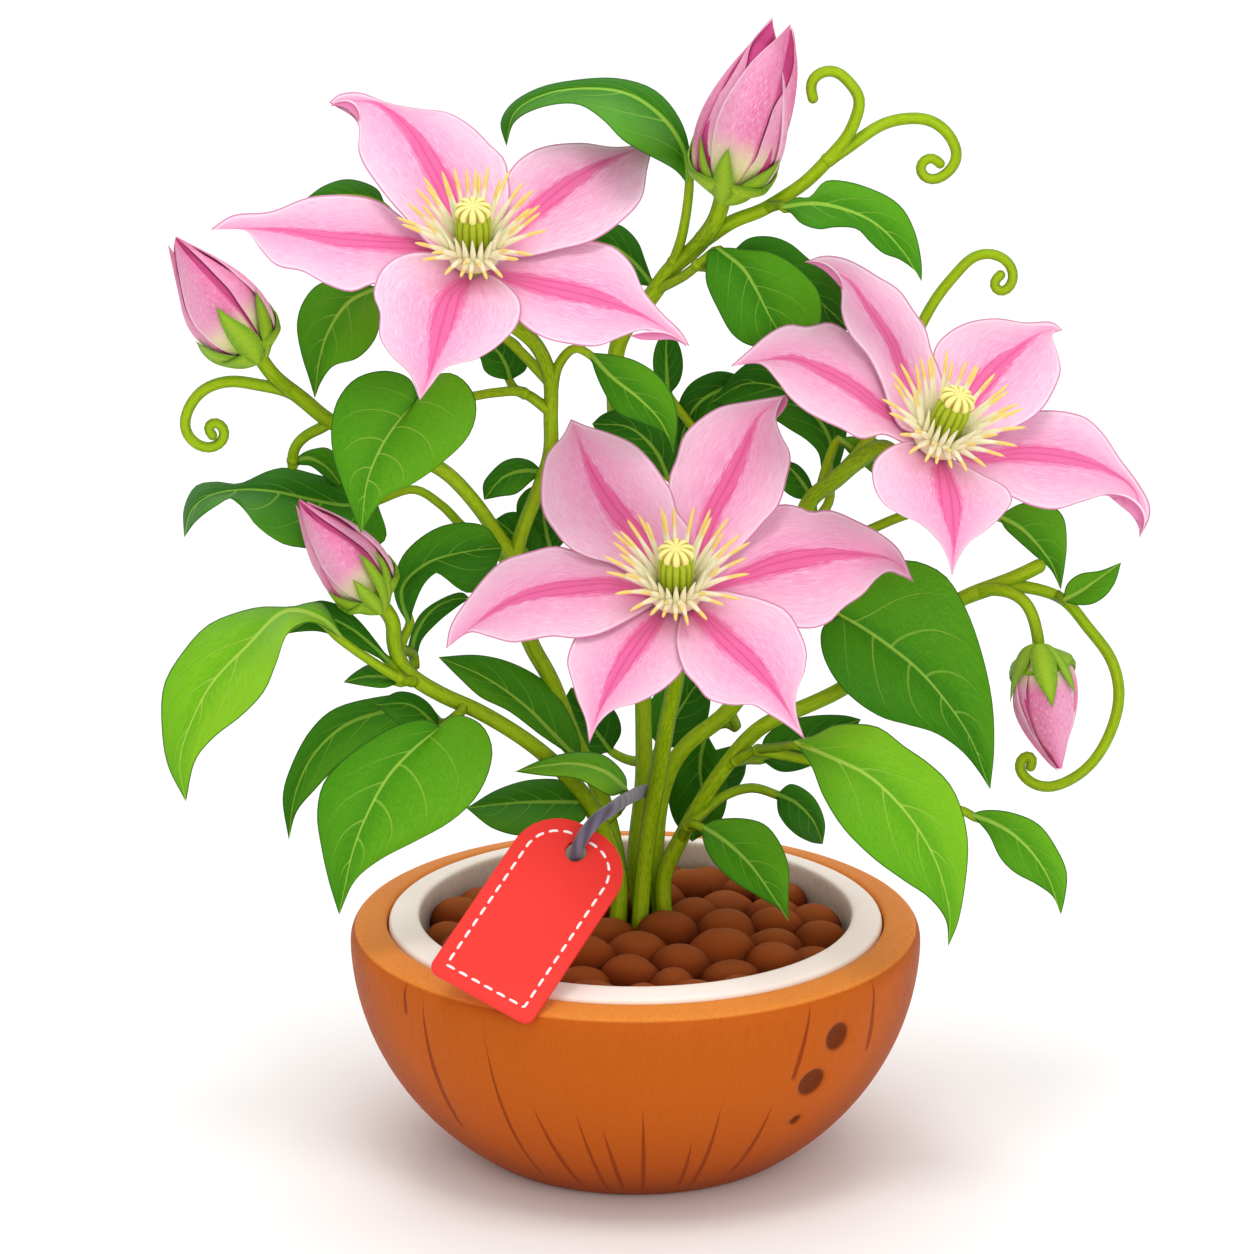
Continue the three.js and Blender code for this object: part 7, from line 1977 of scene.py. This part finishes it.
tag_red, tree, shader = surface("tag_red", 0.42)
place = add(tree, "TexCoord").outputs["Object"]
grain = add(tree, "TexNoise", place, None, 1400.0, 2.0)
clouds = add(tree, "TexNoise", place, None, 40.0)
colour = mixed(tree, from_to(tree, clouds, 0.3, 0.7), paint("EE332C"), paint("F5423A"))
colour = mixed(tree, from_to(tree, grain, 0.5, 0.75, 0, 0.2), colour, paint("DD2C28"))
tree.links.new(colour.outputs[2], shader.inputs["Base Color"])
relief(tree, shader, grain, 0.00012, 0.4)

stitch_white, tree, shader = surface("stitch_thread", 0.6)
place = add(tree, "TexCoord").outputs["Object"]
twist = add(tree, "TexNoise", place, None, 2500.0)
colour = mixed(tree, from_to(tree, twist, 0.4, 0.65), paint("FFFDFB"), paint("EDE2DE"))
tree.links.new(colour.outputs[2], shader.inputs["Base Color"])
relief(tree, shader, twist, 0.0001, 0.4)
piece("tag_sheet", skins, [tag_red, stitch_white], "tag", "hang_tag")

# Floor and light
# A plain pale floor, and soft light from three large panels: one above the plant's front, one
# in front to the right, and one high up behind it.
floor_mesh = bpy.data.meshes.new("floor")
floor_mesh.from_pydata([(-4, -4, 0), (4, -4, 0), (4, 6, 0), (-4, 6, 0)], [], [(0, 1, 2, 3)])
floor = bpy.data.objects.new("floor", floor_mesh)
bpy.context.collection.objects.link(floor)
floor_paint, tree, shader = surface("floor_paint", 0.9)
grain = add(tree, "TexNoise", add(tree, "TexCoord").outputs["Object"], None, 30.0)
colour = mixed(tree, grain, paint("FAFAF9"), paint("F8F8F7"))
tree.links.new(colour.outputs[2], shader.inputs["Base Color"])
floor_mesh.materials.append(floor_paint)

world = bpy.data.worlds.new("studio")
world.use_nodes = True
world.node_tree.nodes["Background"].inputs[0].default_value = (1.0, 1.0, 1.0, 1)
world.node_tree.nodes["Background"].inputs[1].default_value = 0.8
bpy.context.scene.world = world
bpy.context.scene.view_settings.view_transform = "Standard"


def light_panel(name, place, target, size, power):
    """A square panel that shines from a place towards a target."""
    panel = bpy.data.objects.new(name, bpy.data.lights.new(name, "AREA"))
    panel.data.size = size
    panel.data.energy = power
    panel.location = place
    aim = np.asarray(target) - np.asarray(place)
    turn = math.atan2(aim[1], aim[0])
    tilt = math.acos(-aim[2] / np.linalg.norm(aim))
    panel.rotation_euler = (tilt, 0, turn - math.pi / 2)
    bpy.context.collection.objects.link(panel)


light_panel("key_panel", (-0.05, -0.4, 1.5), (0, 0, 0.1), 0.5, 6)
light_panel("fill_panel", (0.5, -1.4, 0.6), (0, 0, 0.12), 0.9, 5)
light_panel("back_panel", (0, 0.9, 1.4), (0, 0.899, 0), 1.5, 8)
